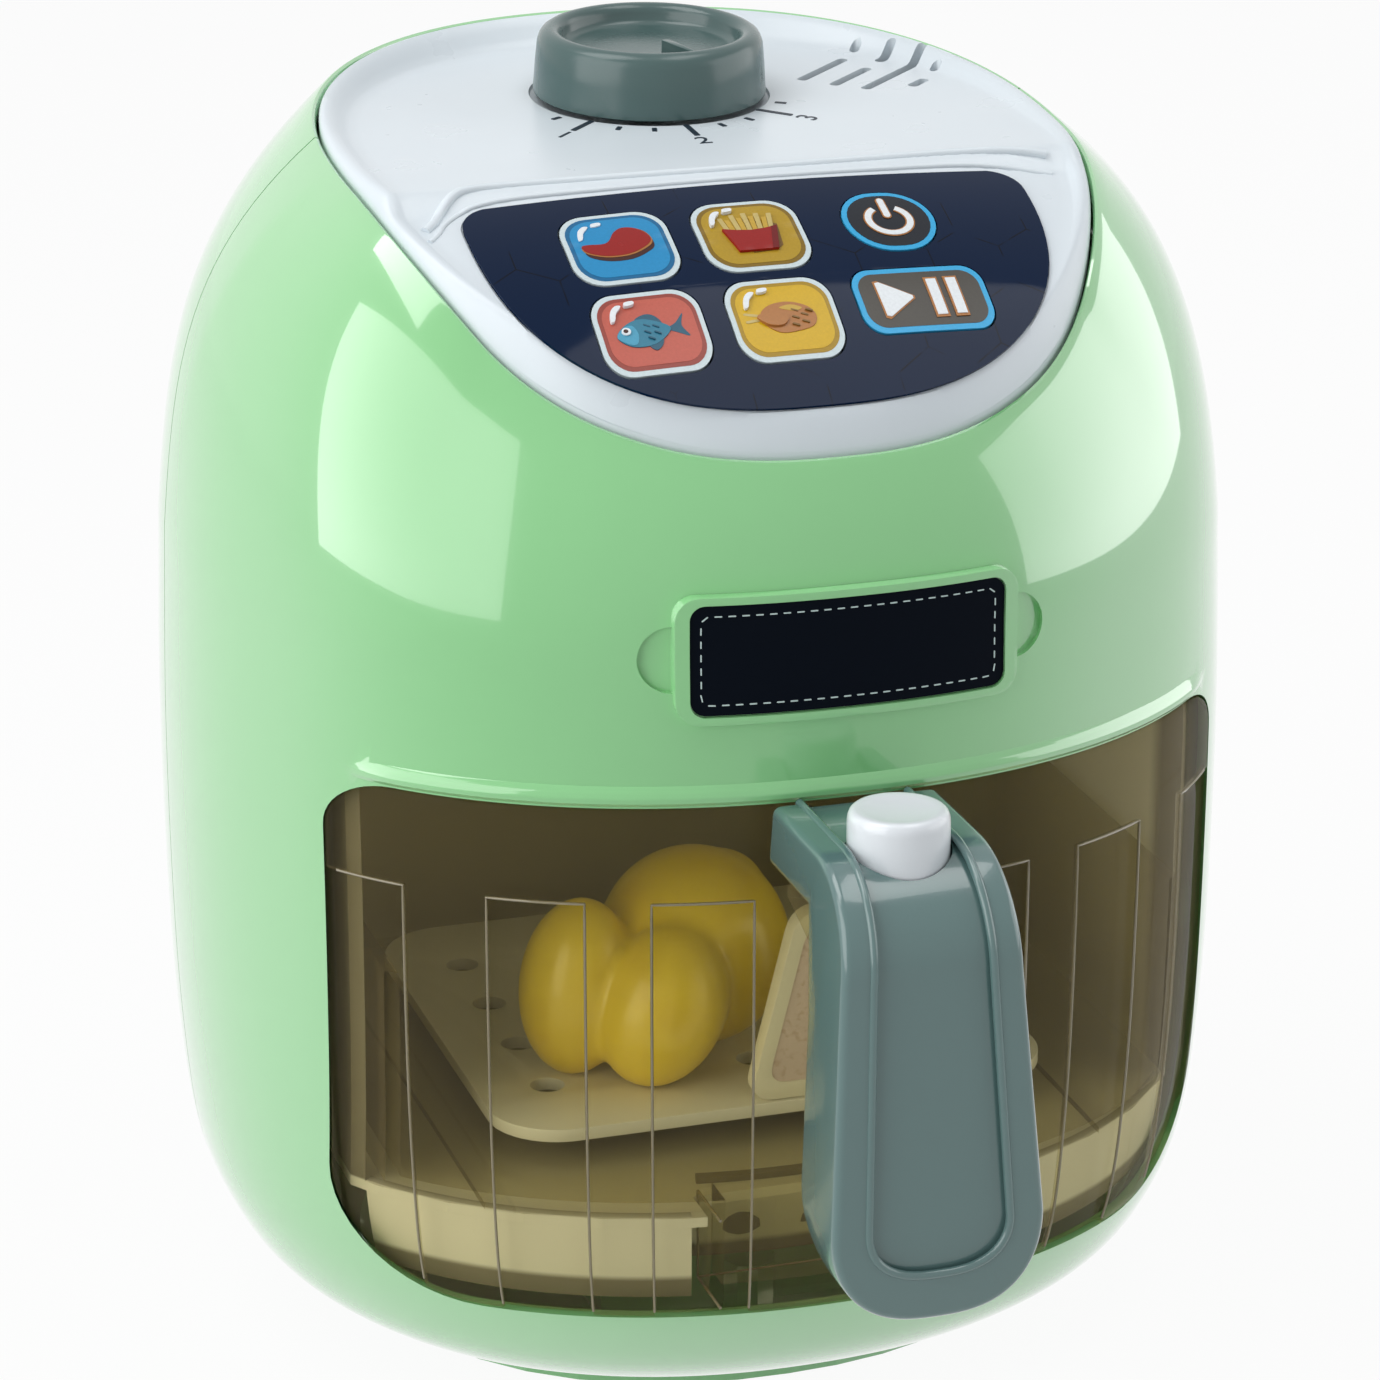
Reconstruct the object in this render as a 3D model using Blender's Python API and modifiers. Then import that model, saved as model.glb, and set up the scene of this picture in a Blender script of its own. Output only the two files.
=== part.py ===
"""Toy air fryer: a moulded housing, a pull-out see-through drawer, a dial timer and six sprung keys.

Metres, +Z up. The front faces -Y. The origin is the middle of the object's footprint on the floor.
"""

import math

import bmesh
import bpy
from mathutils import Matrix, Vector

# Housing
BODY_HALF_WIDTH = 0.082
BODY_HALF_DEPTH = 0.077
BODY_SQUARENESS = 2.16
SHOULDER_HEIGHT = 0.1286
BODY_EDGE_HEIGHT = 0.0033
WALL = 0.0022
SPLIT_PLACE = 0.006
body_profile_shares = (
    (0.665, 0.026), (0.765, 0.050), (0.862, 0.094), (0.922, 0.150), (0.962, 0.222), (0.985, 0.340),
    (0.997, 0.500), (0.999, 0.760), (0.987, 1.000))
SHOULDER_LEAN = 0.09

# Opening for the top panel
RIM_HALF_WIDTH = 0.0567
RIM_HALF_DEPTH = 0.0622
RIM_MIDDLE = -0.0068
RIM_SQUARENESS = 2.3
RIM_LEVEL = 0.1854
RIM_SLOPE_DEG = 7.2
RIM_BEND_START = -0.014
RIM_BEND_RADIUS = 0.060
RIM_STEEPEST_DEG = 44.0
RIM_CROWN = 0.0055
RIM_CROWN_REACH = 0.0450
SEAM = 0.0004

# Top panel
PANEL_THICKNESS = 0.0020
BEAD_HEIGHT = 0.0012
RIM_BACK_SHARE = 0.080
RIM_FRONT_SHARE = 0.023
RIDGE_PLACE = -0.023
PLATFORM_LEVEL = 0.1864
PLATFORM_SLOPE_DEG = 3.2
CONTROL_START = -0.027
CONTROL_LEVEL = 0.1824
CONTROL_RADIUS = 0.104
CONTROL_FIRST_DEG = 17.0
CONTROL_CROWN = 0.0012
CONTROL_CROWN_REACH = 0.042

# Control overlay and keys
OVERLAY_HALF_WIDTH = 0.0426
OVERLAY_MIDDLE = -0.0009
OVERLAY_BACK = -0.0268
OVERLAY_FRONT = -0.0664
OVERLAY_WAIST = -0.0320
OVERLAY_CORNER = 0.0050
OVERLAY_SQUARENESS = 2.6
OVERLAY_THICKNESS = 0.0005
KEY_LEFT_COLUMN = -0.0226
KEY_MIDDLE_COLUMN = -0.0030
KEY_RIGHT_COLUMN = 0.0183
KEY_BACK_ROW = -0.0390
KEY_FRONT_ROW = -0.0542
POWER_KEY_SHIFT = 0.0010
PLAY_KEY_SHIFT = 0.0015
KEY_FRONT_SHARE = 0.88
FOOD_KEY_HALF_WIDTH = 0.0079
FOOD_KEY_HALF_DEPTH = 0.0071
POWER_KEY_HALF_WIDTH = 0.0069
POWER_KEY_HALF_DEPTH = 0.0062
PLAY_KEY_HALF_WIDTH = 0.0099
PLAY_KEY_HALF_DEPTH = 0.0051
KEY_GAP = 0.0004
KEY_TRAVEL = 0.0008
KEY_FLANGE = 0.0006
KEY_FLANGE_THICKNESS = 0.0010
KEY_MAT_THICKNESS = 0.0010
BOARD_THICKNESS = 0.0014
BOARD_HALF_WIDTH = 0.0390
BOARD_HALF_DEPTH = 0.0120
BOARD_FRONT_SHARE = 0.75
BOARD_LIFT = -0.0076
BOARD_BOSS_RADIUS = 0.0024
BOARD_BOSS_PLACE = 0.0362

# Timer
DIAL_PLACE = 0.0194
KNOB_RADIUS = 0.0179
KNOB_TOP_RADIUS = 0.0173
KNOB_HEIGHT = 0.0098
KNOB_EDGE = 0.0020
KNOB_RIM = 0.0036
KNOB_DISH = 0.0031
KNOB_LIFT = 0.0005
POINTER_DEG = 15.0
POINTER_WIDTH = 0.0016
SHAFT_RADIUS = 0.0030
DETENT_RADIUS = 0.0105
DETENT_THICKNESS = 0.0030
DETENT_TEETH = 24
DETENT_DEPTH = 0.0008
DETENT_SPRING_WIDTH = 0.0028
DETENT_SPRING_THICKNESS = 0.0005
SPEAKER_PLACE_X = 0.0350
SPEAKER_PLACE_Y = 0.0210
SPEAKER_RADIUS = 0.0125
SPEAKER_DEPTH = 0.0070
SLOT_WIDTH = 0.0017
SLOT_TURN_DEG = 43.0
# each slot: its place across the slots' run, then its start and end along it, in speaker radii
slot_shares = (
    (-0.53, -0.54, 0.53), (-0.59, 0.98, 1.02), (-0.08, -0.53, 0.31), (-0.12, 0.77, 1.07),
    (0.33, -0.47, 1.06), (0.76, -0.04, 0.24), (0.68, 0.72, 0.76))

# Drawer window in the front
WINDOW_HALF_WIDTH = 0.0693
WINDOW_BOTTOM = 0.0237
WINDOW_TOP = 0.1056
WINDOW_TOP_CORNER = 0.0080
WINDOW_BOTTOM_CORNER = 0.0190
WINDOW_GAP = 0.0004
VISOR_HEIGHT = 0.0024
VISOR_PROUD = 0.0007
VISOR_HALF_DEG = 56.0
PANEL_DEG_SHARES = (
    (-1.0, -0.831), (-0.671, -0.493), (-0.373, -0.185), (0.185, 0.373), (0.493, 0.671), (0.831, 1.0))
PANEL_SPREAD_DEG = 57.4
PANEL_TOP = 0.0910
PANEL_RECESS = 0.0009

# Name plate, left bare
PLATE_RISE = 0.0217
PLATE_HEIGHT = WINDOW_TOP + PLATE_RISE
PLATE_HALF_WIDTH = 0.0255
PLATE_HALF_TALL = 0.0093
PLATE_CORNER = 0.0034
PLATE_PROUD = 0.0011
PLATE_LIP = 0.0023
PLATE_RECESS = 0.0008
LABEL_THICKNESS = 0.0004
LABEL_CORNER = 0.0020
SIDE_DISC_RADIUS = 0.0048
SIDE_DISC_DEPTH = 0.0009

# Drawer tub
TUB_HALF_WIDTH = 0.0622
TUB_BACK = 0.0420
TUB_CORNER = 0.0200
TUB_FLOOR = 0.0410
TUB_TOP = 0.0760
TUB_WALL = 0.0018
RUNNER_HEIGHT = 0.0011
RUNNER_WIDTH = 0.0040
RUNNER_SPREAD = 0.0480
POCKET_HALF_WIDTH = 0.0190
POCKET_DEPTH = 0.0110
POCKET_BOTTOM = 0.0265
GUSSET_HALF_WIDTH = 0.0095
GUSSET_GAP = 0.0004
GUSSET_BACK_TALL = 0.0053
GUSSET_FRONT_TALL = 0.0108

# Chamber liner
LINER_WALL = 0.0016
LINER_SIDE_GAP = 0.0020
LINER_FLOOR_GAP = 0.0003
LINER_CEILING = 0.1070
APRON_INSET = 0.0140
APRON_BOTTOM = 0.0215
APRON_SPREAD_DEG = 51.0
LAMP_RADIUS = 0.0080
LAMP_HEIGHT = 0.0050
LAMP_PLACE = -0.0100
LAMP_BOARD_HALF = 0.0110

# Handle
HANDLE_REACH = 0.0380
HANDLE_FRONT = BODY_HALF_DEPTH + HANDLE_REACH
HANDLE_TOP = 0.1059
HANDLE_BOTTOM = 0.0415
HANDLE_NECK_BOTTOM = 0.0972
HANDLE_BEND = 0.0150
HANDLE_TOP_HALF_WIDTH = 0.0122
HANDLE_LOW_HALF_WIDTH = 0.0156
HANDLE_LOW_PLACE = 0.0560
HANDLE_ARM_DEPTH = 0.0150
HANDLE_WALL = 0.0020
HANDLE_EDGE = 0.0009
GRIP_RECESS = 0.0010
GRIP_TOP_HALF_WIDTH = 0.0080
GRIP_LOW_HALF_WIDTH = 0.0104
GRIP_BOTTOM = 0.0485
HANDLE_LEAN = 0.0040
HANDLE_FOOT_SHARE = 0.14
BACK_COVER_THICKNESS = 0.0016
COVER_SCREW_LOW = 0.0620
COVER_SCREW_HIGH = 0.0760
NECK_SCREW_SPREAD = 0.0065
NECK_SCREW_HEIGHT = (HANDLE_NECK_BOTTOM + HANDLE_TOP) / 2

# Release button
BUTTON_RADIUS = 0.0072
BUTTON_TOP = 0.1107
BUTTON_SETBACK = 0.0192
BUTTON_PLACE = BUTTON_SETBACK - HANDLE_FRONT
BUTTON_TRAVEL = 0.0020
BUTTON_EDGE = 0.0012
BUTTON_TAB_REACH = 0.0088
BUTTON_TAB_FRONT = 0.0010
BUTTON_TAB_BACK = 0.0045
BUTTON_TAB_THICKNESS = 0.0008
STEM_RADIUS = 0.0012
STEM_SETBACK = 0.0152
STEM_PLACE = STEM_SETBACK - HANDLE_FRONT
STEM_CLEARANCE = 0.0022
SPRING_RADIUS = 0.0018
SPRING_WIRE = 0.00025
SPRING_TURNS = 5
SPRING_STEPS = 7
SPRING_SEAT = 0.0868
STEM_BOTTOM = SPRING_SEAT + BUTTON_TRAVEL + STEM_CLEARANCE

# Base
BASE_TOP = 0.0030
BASE_THICKNESS = 0.0018
BASE_REACH = BODY_HALF_WIDTH * body_profile_shares[0][0]
BASE_REACH_Y = BODY_HALF_DEPTH * body_profile_shares[0][0]
FOOT_RADIUS = 0.0055
FOOT_PLACE_X = 0.0330
FOOT_PLACE_Y = 0.0290
CELL_RADIUS = 0.0071
CELL_LENGTH = 0.0495
CELL_COUNT = 3
CELL_GAP = 0.0006
BOX_WALL = 0.0014
CELL_NUB_RADIUS = 0.0027
CELL_NUB_LENGTH = 0.0012
CONTACT_THICKNESS = 0.0004
CONTACT_ROOM = 0.0032
DOOR_GAP = 0.0004
DOOR_EAR_RADIUS = 0.0042
DOOR_TONGUE = 0.0040
BASE_SCREW_INSET = 0.0042
BASE_SCREW_PLACE = BASE_REACH_Y - BASE_SCREW_INSET
BASE_BOSS_HEIGHT = 0.0100
LINER_POST_RADIUS = 0.0030
LINER_POST_FRONT = -0.0060
LINER_POST_BACK = 0.0300

# Rack and toy food
RACK_HALF_WIDTH = 0.0440
RACK_FRONT = -0.0500
RACK_BACK = 0.0330
RACK_CORNER = 0.0110
RACK_THICKNESS = 0.0020
RACK_LEG_HEIGHT = 0.0016
RACK_LEG_RADIUS = 0.0025
RACK_HOLE_RADIUS = 0.0024
RACK_HOLE_PITCH = 0.0165
RACK_HOLE_MARGIN = 0.0090
CHICKEN_X = -0.0060
CHICKEN_Y = -0.0220
CHICKEN_HALF_WIDTH = 0.0150
CHICKEN_HALF_DEPTH = 0.0160
CHICKEN_HALF_TALL = 0.0155
# each lump of the bird: centre, then half-sizes, then lean to the right and to the rear, all but the leans in
# half-widths of the body and from its centre
chicken_lumps = (
    (-0.70, -0.05, -0.28, 0.95, 0.85, 0.72, 0.0, 0.0),
    (-1.38, -0.42, -0.12, 0.60, 0.60, 0.92, 8.0, -8.0),
    (-0.62, -0.92, -0.22, 0.66, 0.66, 0.86, 26.0, -14.0),
    (0.35, 0.20, 0.55, 0.45, 0.55, 0.35, 0.0, 0.0))
TOAST_X = 0.0120
TOAST_Y = -0.0495
TOAST_HALF_WIDTH = 0.0180
TOAST_TOP_HALF_WIDTH = 0.0105
TOAST_TALL = 0.0300
TOAST_THICKNESS = 0.0032

# Fasteners
SCREW_HEAD_RADIUS = 0.0026
SCREW_HEAD_HEIGHT = 0.0016
SCREW_RADIUS = 0.0012
BOSS_RADIUS = 0.0036
BOSS_FLOOR = 0.0020
BODY_SCREW_LENGTH = 0.0140
BODY_SCREW_LOW = 0.0270
BODY_SCREW_HIGH = 0.1270
BODY_SCREW_LOW_SPREAD = 0.0480
BODY_SCREW_HIGH_SPREAD = 0.0520
RIB_THICKNESS = 0.0018
SHORT_SCREW_LENGTH = 0.0060

# Clearances and facets
REST_GAP = 0.0003
OVERRUN = 0.0020
ROUND_SEGMENTS = 40
PANEL_SEGMENTS = 32
FINE_SEGMENTS = 16
SMALL_SEGMENTS = 8
SCREW_SEGMENTS = 6
KNOB_SEGMENTS = 24
FOOT_SEGMENTS = 12
SHOULDER_STEPS = 4
LIP_SHARE = 0.985
LIP_INNER_SHARE = 0.93
LIP_SIDE_DEG = 36.0
LIP_FRONT_DEG = 26.0
LIP_BACK_DEG = 10.0
FRONT_SPREAD_DEG = 65.0
DETENT_OFFSET_DEG = 3.75
HALF_TURN_DEG = 180.0
SAMPLE_STEP = 0.0005
SKIN_STEP = 0.0150
FINE_STEP = 0.0080

AXIS_OFFSET = (HANDLE_FRONT - BODY_HALF_DEPTH) / 2

parts = None
cutters = None
root = None


def clear_scene():
    """Empty the open scene without closing the file."""
    for old in list(bpy.data.objects):
        bpy.data.objects.remove(old, do_unlink=True)


def make_collection(name):
    """Return a new collection linked to the scene."""
    collection = bpy.data.collections.new(name)
    bpy.context.scene.collection.children.link(collection)
    return collection


def plastic(name, colour, roughness=0.35, metallic=0.0, alpha=1.0):
    """Return a Principled material of one finish."""
    material = bpy.data.materials.new(name)
    material.use_nodes = True
    shader = material.node_tree.nodes["Principled BSDF"]
    shader.inputs["Base Color"].default_value = (*colour, 1.0)
    shader.inputs["Roughness"].default_value = roughness
    shader.inputs["Metallic"].default_value = metallic
    shader.inputs["Alpha"].default_value = alpha
    material.diffuse_color = (*colour, alpha)
    return material


def finish_mesh(bm, name, smooth_deg=35.0):
    """Turn a bmesh into a mesh that is smooth except at its real edges, with its faces turned outwards."""
    bmesh.ops.recalc_face_normals(bm, faces=bm.faces)
    if bm.calc_volume(signed=True) < 0:
        bmesh.ops.reverse_faces(bm, faces=bm.faces)
    mesh = bpy.data.meshes.new(name)
    bm.to_mesh(mesh)
    bm.free()
    mesh.shade_smooth()
    mesh.set_sharp_from_angle(angle=math.radians(smooth_deg))
    return mesh


def place(mesh, name, material=None, parent=None):
    """Put a mesh in the scene: a part when it has a material, a cutter otherwise."""
    thing = bpy.data.objects.new(name, mesh)
    thing.parent = parent or root
    if material is None:
        cutters.objects.link(thing)
        thing.hide_render = True
        thing.display_type = "WIRE"
    else:
        parts.objects.link(thing)
        mesh.materials.append(material)
    return thing


def set_origin(thing, point):
    """Move an object's origin to a point of its joint's axis, leaving its surface where it is."""
    offset = Vector(point)
    thing.data.transform(Matrix.Translation(-offset))
    thing.location = thing.location + offset


def boolean(target, tool, operation):
    """Add an exact Boolean modifier that works with a hidden tool."""
    step = target.modifiers.new(operation.lower(), "BOOLEAN")
    step.operation = operation
    step.solver = "EXACT"
    step.object = tool
    return step


def cut(target, *tools):
    """Take each tool away from the target."""
    for tool in tools:
        boolean(target, tool, "DIFFERENCE")


def fuse(target, *tools):
    """Join each tool to the target."""
    for tool in tools:
        boolean(target, tool, "UNION")


def keep_inside(target, tool):
    """Keep only what lies inside the tool."""
    boolean(target, tool, "INTERSECT")


def block(name, low, high, material=None, parent=None, turn=None):
    """Return a box from its lowest to its highest corner."""
    bm = bmesh.new()
    bmesh.ops.create_cube(bm, size=1)
    low = Vector(low)
    high = Vector(high)
    size = high - low
    middle = (low + high) / 2
    bmesh.ops.scale(bm, vec=size, verts=bm.verts)
    if turn is not None:
        bmesh.ops.rotate(bm, matrix=turn.to_3x3(), verts=bm.verts)
    bmesh.ops.translate(bm, vec=middle, verts=bm.verts)
    return place(finish_mesh(bm, name), name, material, parent)


def axis_frame(start, direction):
    """Return the matrix that stands +Z along a direction at a point."""
    turn = Vector(direction).normalized().to_track_quat("Z", "Y").to_matrix().to_4x4()
    return Matrix.Translation(Vector(start)) @ turn


def round_bar(name, start, direction, radius, length, material=None, parent=None,
              segments=SMALL_SEGMENTS, end_radius=None):
    """Return a cylinder or cone that starts at a point and runs along a direction."""
    bm = bmesh.new()
    bmesh.ops.create_cone(bm, cap_ends=True, segments=segments, radius1=radius,
                          radius2=radius if end_radius is None else end_radius, depth=length)
    bmesh.ops.translate(bm, vec=(0, 0, length / 2), verts=bm.verts)
    bm.transform(axis_frame(start, direction))
    return place(finish_mesh(bm, name), name, material, parent)


def turned(name, profile, material=None, parent=None, segments=FINE_SEGMENTS):
    """Return a body of revolution about Z from a profile that runs down its outer side."""
    mesh = bpy.data.meshes.new(name)
    mesh.from_pydata([(radius, 0, height) for radius, height in profile],
                     [(k, k + 1) for k in range(len(profile) - 1)], [])
    thing = place(mesh, name, material, parent)
    screw = thing.modifiers.new("turn", "SCREW")
    screw.axis = "Z"
    screw.steps = segments
    screw.render_steps = segments
    screw.use_merge_vertices = True
    screw.merge_threshold = SAMPLE_STEP / 100
    screw.use_smooth_shade = True
    return thing


def flat_shape(name, outlines, low, high, toward="Z", material=None, parent=None):
    """Return a plate cut from flat outlines, the later ones being holes.

    toward names the axis of its thickness: Z takes outlines in X and Y, Y takes X and Z, X takes Y and Z.
    """
    curve = bpy.data.curves.new(name, "CURVE")
    curve.dimensions = "2D"
    curve.fill_mode = "BOTH"
    curve.extrude = (high - low) / 2
    for outline in outlines:
        spline = curve.splines.new("POLY")
        spline.points.add(len(outline) - 1)
        for point, (across, up) in zip(spline.points, outline):
            point.co = (across, up, 0, 1)
        spline.use_cyclic_u = True
    guide = bpy.data.objects.new(name + "_outline", curve)
    bpy.context.scene.collection.objects.link(guide)
    bpy.context.view_layer.update()
    graph = bpy.context.evaluated_depsgraph_get()
    mesh = bpy.data.meshes.new_from_object(guide.evaluated_get(graph))
    bpy.data.objects.remove(guide, do_unlink=True)
    bpy.data.curves.remove(curve)
    bm = bmesh.new()
    bm.from_mesh(mesh)
    bpy.data.meshes.remove(mesh)
    bmesh.ops.remove_doubles(bm, verts=bm.verts, dist=SAMPLE_STEP / 100)
    middle = (low + high) / 2
    for corner in bm.verts:
        across, up, through = corner.co
        through += middle
        corner.co = {"Z": (across, up, through), "Y": (across, through, up),
                     "X": (through, across, up)}[toward]
    return place(finish_mesh(bm, name), name, material, parent)


def rounded_outline(left, right, bottom, top, corners, steps=6):
    """Return a rectangle whose four corner radii start at the lower right and go anticlockwise."""
    centres = ((right, bottom, 1, -1, -90.0), (right, top, 1, 1, 0.0),
               (left, top, -1, 1, 90.0), (left, bottom, -1, -1, 180.0))
    points = []
    for radius, (across, up, side, rise, start) in zip(corners, centres):
        for k in range(steps + 1):
            angle = math.radians(start + 90.0 * k / steps)
            points.append((across - side * radius + radius * math.cos(angle),
                           up - rise * radius + radius * math.sin(angle)))
    return points


def circle_outline(across, up, radius, segments=SMALL_SEGMENTS):
    """Return a circle as a closed outline."""
    return [(across + radius * math.cos(math.tau * k / segments),
             up + radius * math.sin(math.tau * k / segments)) for k in range(segments)]


def grid_surface(bm, rows, around=False):
    """Add a surface through rows of points, closed round each row when asked."""
    grid = [[bm.verts.new(point) for point in row] for row in rows]
    for lower, upper in zip(grid, grid[1:]):
        count = len(lower)
        for k in range(count if around else count - 1):
            bm.faces.new((lower[k], lower[(k + 1) % count], upper[(k + 1) % count], upper[k]))
    return grid


def superellipse(angle, half_width, half_depth, squareness):
    """Return the point of a rounded plan outline at an angle from the front, turning towards +X."""
    across = math.sin(angle)
    along = -math.cos(angle)
    reach = (abs(across / half_width) ** squareness + abs(along / half_depth) ** squareness)
    reach = reach ** (-1 / squareness)
    return across * reach, along * reach


def profile_share(height):
    """Return the housing's half-width share at a height below the shoulder."""
    knots = [(up * SHOULDER_HEIGHT, share) for share, up in body_profile_shares]
    if height <= knots[0][0]:
        return knots[0][1]
    for k in range(len(knots) - 1):
        (z0, r0), (z1, r1) = knots[k], knots[k + 1]
        if height <= z1:
            before = knots[max(k - 1, 0)]
            after = knots[min(k + 2, len(knots) - 1)]
            slope0 = (r1 - before[1]) / (z1 - before[0])
            slope1 = (after[1] - r0) / (after[0] - z0)
            span = z1 - z0
            t = (height - z0) / span
            return ((2 * t ** 3 - 3 * t ** 2 + 1) * r0 + (t ** 3 - 2 * t ** 2 + t) * span * slope0
                    + (3 * t ** 2 - 2 * t ** 3) * r1 + (t ** 3 - t ** 2) * span * slope1)
    return knots[-1][1]


def skin_spot(angle, height):
    """Return a point of the housing's outer surface below the shoulder."""
    share = profile_share(height)
    across, along = superellipse(angle, BODY_HALF_WIDTH * share, BODY_HALF_DEPTH * share, BODY_SQUARENESS)
    return Vector((across, along, height))


def skin_point(angle, height, lift=0.0):
    """Return a point on the housing's surface, moved outwards by a lift."""
    spot = skin_spot(angle, height)
    if lift == 0:
        return spot
    turn = skin_spot(angle + SAMPLE_STEP, height) - skin_spot(angle - SAMPLE_STEP, height)
    rise = skin_spot(angle, height + SAMPLE_STEP) - skin_spot(angle, height - SAMPLE_STEP)
    return spot + turn.cross(rise).normalized() * lift


def rim_level(along):
    """Return the height of the panel opening's edge, without its crown, at a place from front to back."""
    slope = math.radians(RIM_SLOPE_DEG)
    steepest = math.radians(RIM_STEEPEST_DEG)
    if along >= RIM_BEND_START:
        return RIM_LEVEL + along * math.tan(slope)
    start = RIM_LEVEL + RIM_BEND_START * math.tan(slope)
    last = RIM_BEND_START - RIM_BEND_RADIUS * (math.sin(steepest) - math.sin(slope))
    stop = max(along, last)
    sine = math.sin(slope) + (RIM_BEND_START - stop) / RIM_BEND_RADIUS
    height = start - RIM_BEND_RADIUS * (math.cos(slope) - math.sqrt(1 - sine * sine))
    return height - (stop - along) * math.tan(steepest)


def rim_height(across, along):
    """Return the height of the panel opening's edge, crowned towards the middle of the front."""
    toward_front = min(max((RIM_BEND_START - along) / (RIM_HALF_DEPTH + RIM_BEND_START), 0), 1)
    crown = RIM_CROWN * toward_front * max(1 - (across / RIM_CROWN_REACH) ** 2, 0)
    return rim_level(along) + crown


def rim_point(angle, share=1.0, drop=0.0):
    """Return a point of the panel opening's edge, or of a smaller copy of it."""
    across, along = superellipse(angle, RIM_HALF_WIDTH * share, RIM_HALF_DEPTH * share, RIM_SQUARENESS)
    along += RIM_MIDDLE
    return Vector((across, along, rim_height(across, along) - drop))


def shoulder_point(angle, share):
    """Return a point between the housing's straight side and the panel opening's edge."""
    start = skin_spot(angle, SHOULDER_HEIGHT)
    end = rim_point(angle)
    reach = (end - start).length
    outward = Vector((start.x, start.y, 0)).normalized()
    frontness = max(math.cos(angle), 0)
    backness = max(-math.cos(angle), 0)
    last_deg = LIP_SIDE_DEG + LIP_FRONT_DEG * frontness + LIP_BACK_DEG * backness
    pull = reach * (0.40 - 0.06 * frontness)
    first = start + (Vector((0, 0, 1)) - outward * SHOULDER_LEAN) * pull
    tilt = math.radians(last_deg)
    second = end - (Vector((0, 0, math.sin(tilt))) - outward * math.cos(tilt)) * pull
    rest = 1 - share
    return (start * rest ** 3 + first * 3 * share * rest ** 2
            + second * 3 * share ** 2 * rest + end * share ** 3)


def platform_height(along):
    """Return the height of the flat behind the ridge, where the dial is."""
    return PLATFORM_LEVEL + (along - DIAL_PLACE) * math.tan(math.radians(PLATFORM_SLOPE_DEG))


def control_height(across, along):
    """Return the height of the crowned surface that carries the keys."""
    first = math.radians(CONTROL_FIRST_DEG)
    steepest = math.sin(first) + (CONTROL_START - OVERLAY_FRONT) / CONTROL_RADIUS
    sine = min(max(math.sin(first) + (CONTROL_START - along) / CONTROL_RADIUS, 0), steepest)
    height = CONTROL_LEVEL - CONTROL_RADIUS * (math.cos(first) - math.sqrt(1 - sine * sine))
    reach = (sine - math.sin(first)) * CONTROL_RADIUS
    spill = max(CONTROL_START - along - reach, 0)
    crown = CONTROL_CROWN * (across / CONTROL_CROWN_REACH) ** 2
    return height - spill * math.tan(math.asin(sine)) - crown


def panel_height(across, along):
    """Return the height of the panel inside its rim."""
    blend = (along - CONTROL_START) / (RIDGE_PLACE - CONTROL_START)
    if blend <= 0:
        return control_height(across, along)
    if blend >= 1:
        return platform_height(along)
    ease = blend * blend * (3 - 2 * blend)
    return control_height(across, along) * (1 - ease) + platform_height(along) * ease


def control_point(across, along, lift=0.0):
    """Return a point on the keys' surface, moved outwards by a lift."""
    spot = Vector((across, along, control_height(across, along)))
    slope_x = control_height(across + SAMPLE_STEP, along) - control_height(across - SAMPLE_STEP, along)
    slope_y = control_height(across, along + SAMPLE_STEP) - control_height(across, along - SAMPLE_STEP)
    normal = Vector((-slope_x, -slope_y, 2 * SAMPLE_STEP)).normalized()
    return spot + normal * lift


def control_patch(name, outline, low, high, material=None, parent=None, rings=(1.0, 0.5)):
    """Return a slab over an outline in plan that follows the keys' surface."""
    centre_x = sum(point[0] for point in outline) / len(outline)
    centre_y = sum(point[1] for point in outline) / len(outline)
    bm = bmesh.new()
    rows = [[control_point(centre_x + (x - centre_x) * ring, centre_y + (y - centre_y) * ring, high)
             for x, y in outline] for ring in reversed(rings)]
    rows += [[control_point(centre_x + (x - centre_x) * ring, centre_y + (y - centre_y) * ring, low)
              for x, y in outline] for ring in rings]
    grid = grid_surface(bm, rows, around=True)
    for row, lift in ((grid[0], high), (grid[-1], low)):
        middle = bm.verts.new(control_point(centre_x, centre_y, lift))
        for k in range(len(row)):
            bm.faces.new((row[k], row[(k + 1) % len(row)], middle))
    return place(finish_mesh(bm, name), name, material, parent)


def skin_levels(bottom, top, step):
    """Return evenly spaced heights from bottom to top."""
    count = max(int(round((top - bottom) / step)), 1)
    return [bottom + (top - bottom) * k / count for k in range(count + 1)]


def skin_block(name, half_deg, bottom, top, low, high, material=None, middle_deg=0.0, step=SKIN_STEP):
    """Return a slab that follows the housing's surface between two lifts."""
    step_deg = 360.0 / ROUND_SEGMENTS
    count = max(int(round(2 * half_deg / step_deg)), 1)
    angles = [math.radians(middle_deg - half_deg + 2 * half_deg * k / count) for k in range(count + 1)]
    levels = skin_levels(bottom, top, step)
    bm = bmesh.new()
    outer = grid_surface(bm, [[skin_point(angle, level, high) for angle in angles] for level in levels])
    inner = grid_surface(bm, [[skin_point(angle, level, low) for angle in angles] for level in levels])
    last = len(angles) - 1
    top_row = len(levels) - 1
    for k in range(last):
        bm.faces.new((outer[0][k], outer[0][k + 1], inner[0][k + 1], inner[0][k]))
        bm.faces.new((outer[top_row][k], outer[top_row][k + 1], inner[top_row][k + 1], inner[top_row][k]))
    for k in range(top_row):
        bm.faces.new((outer[k][0], outer[k + 1][0], inner[k + 1][0], inner[k][0]))
        bm.faces.new((outer[k][last], outer[k + 1][last], inner[k + 1][last], inner[k][last]))
    return place(finish_mesh(bm, name), name, material)


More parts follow.
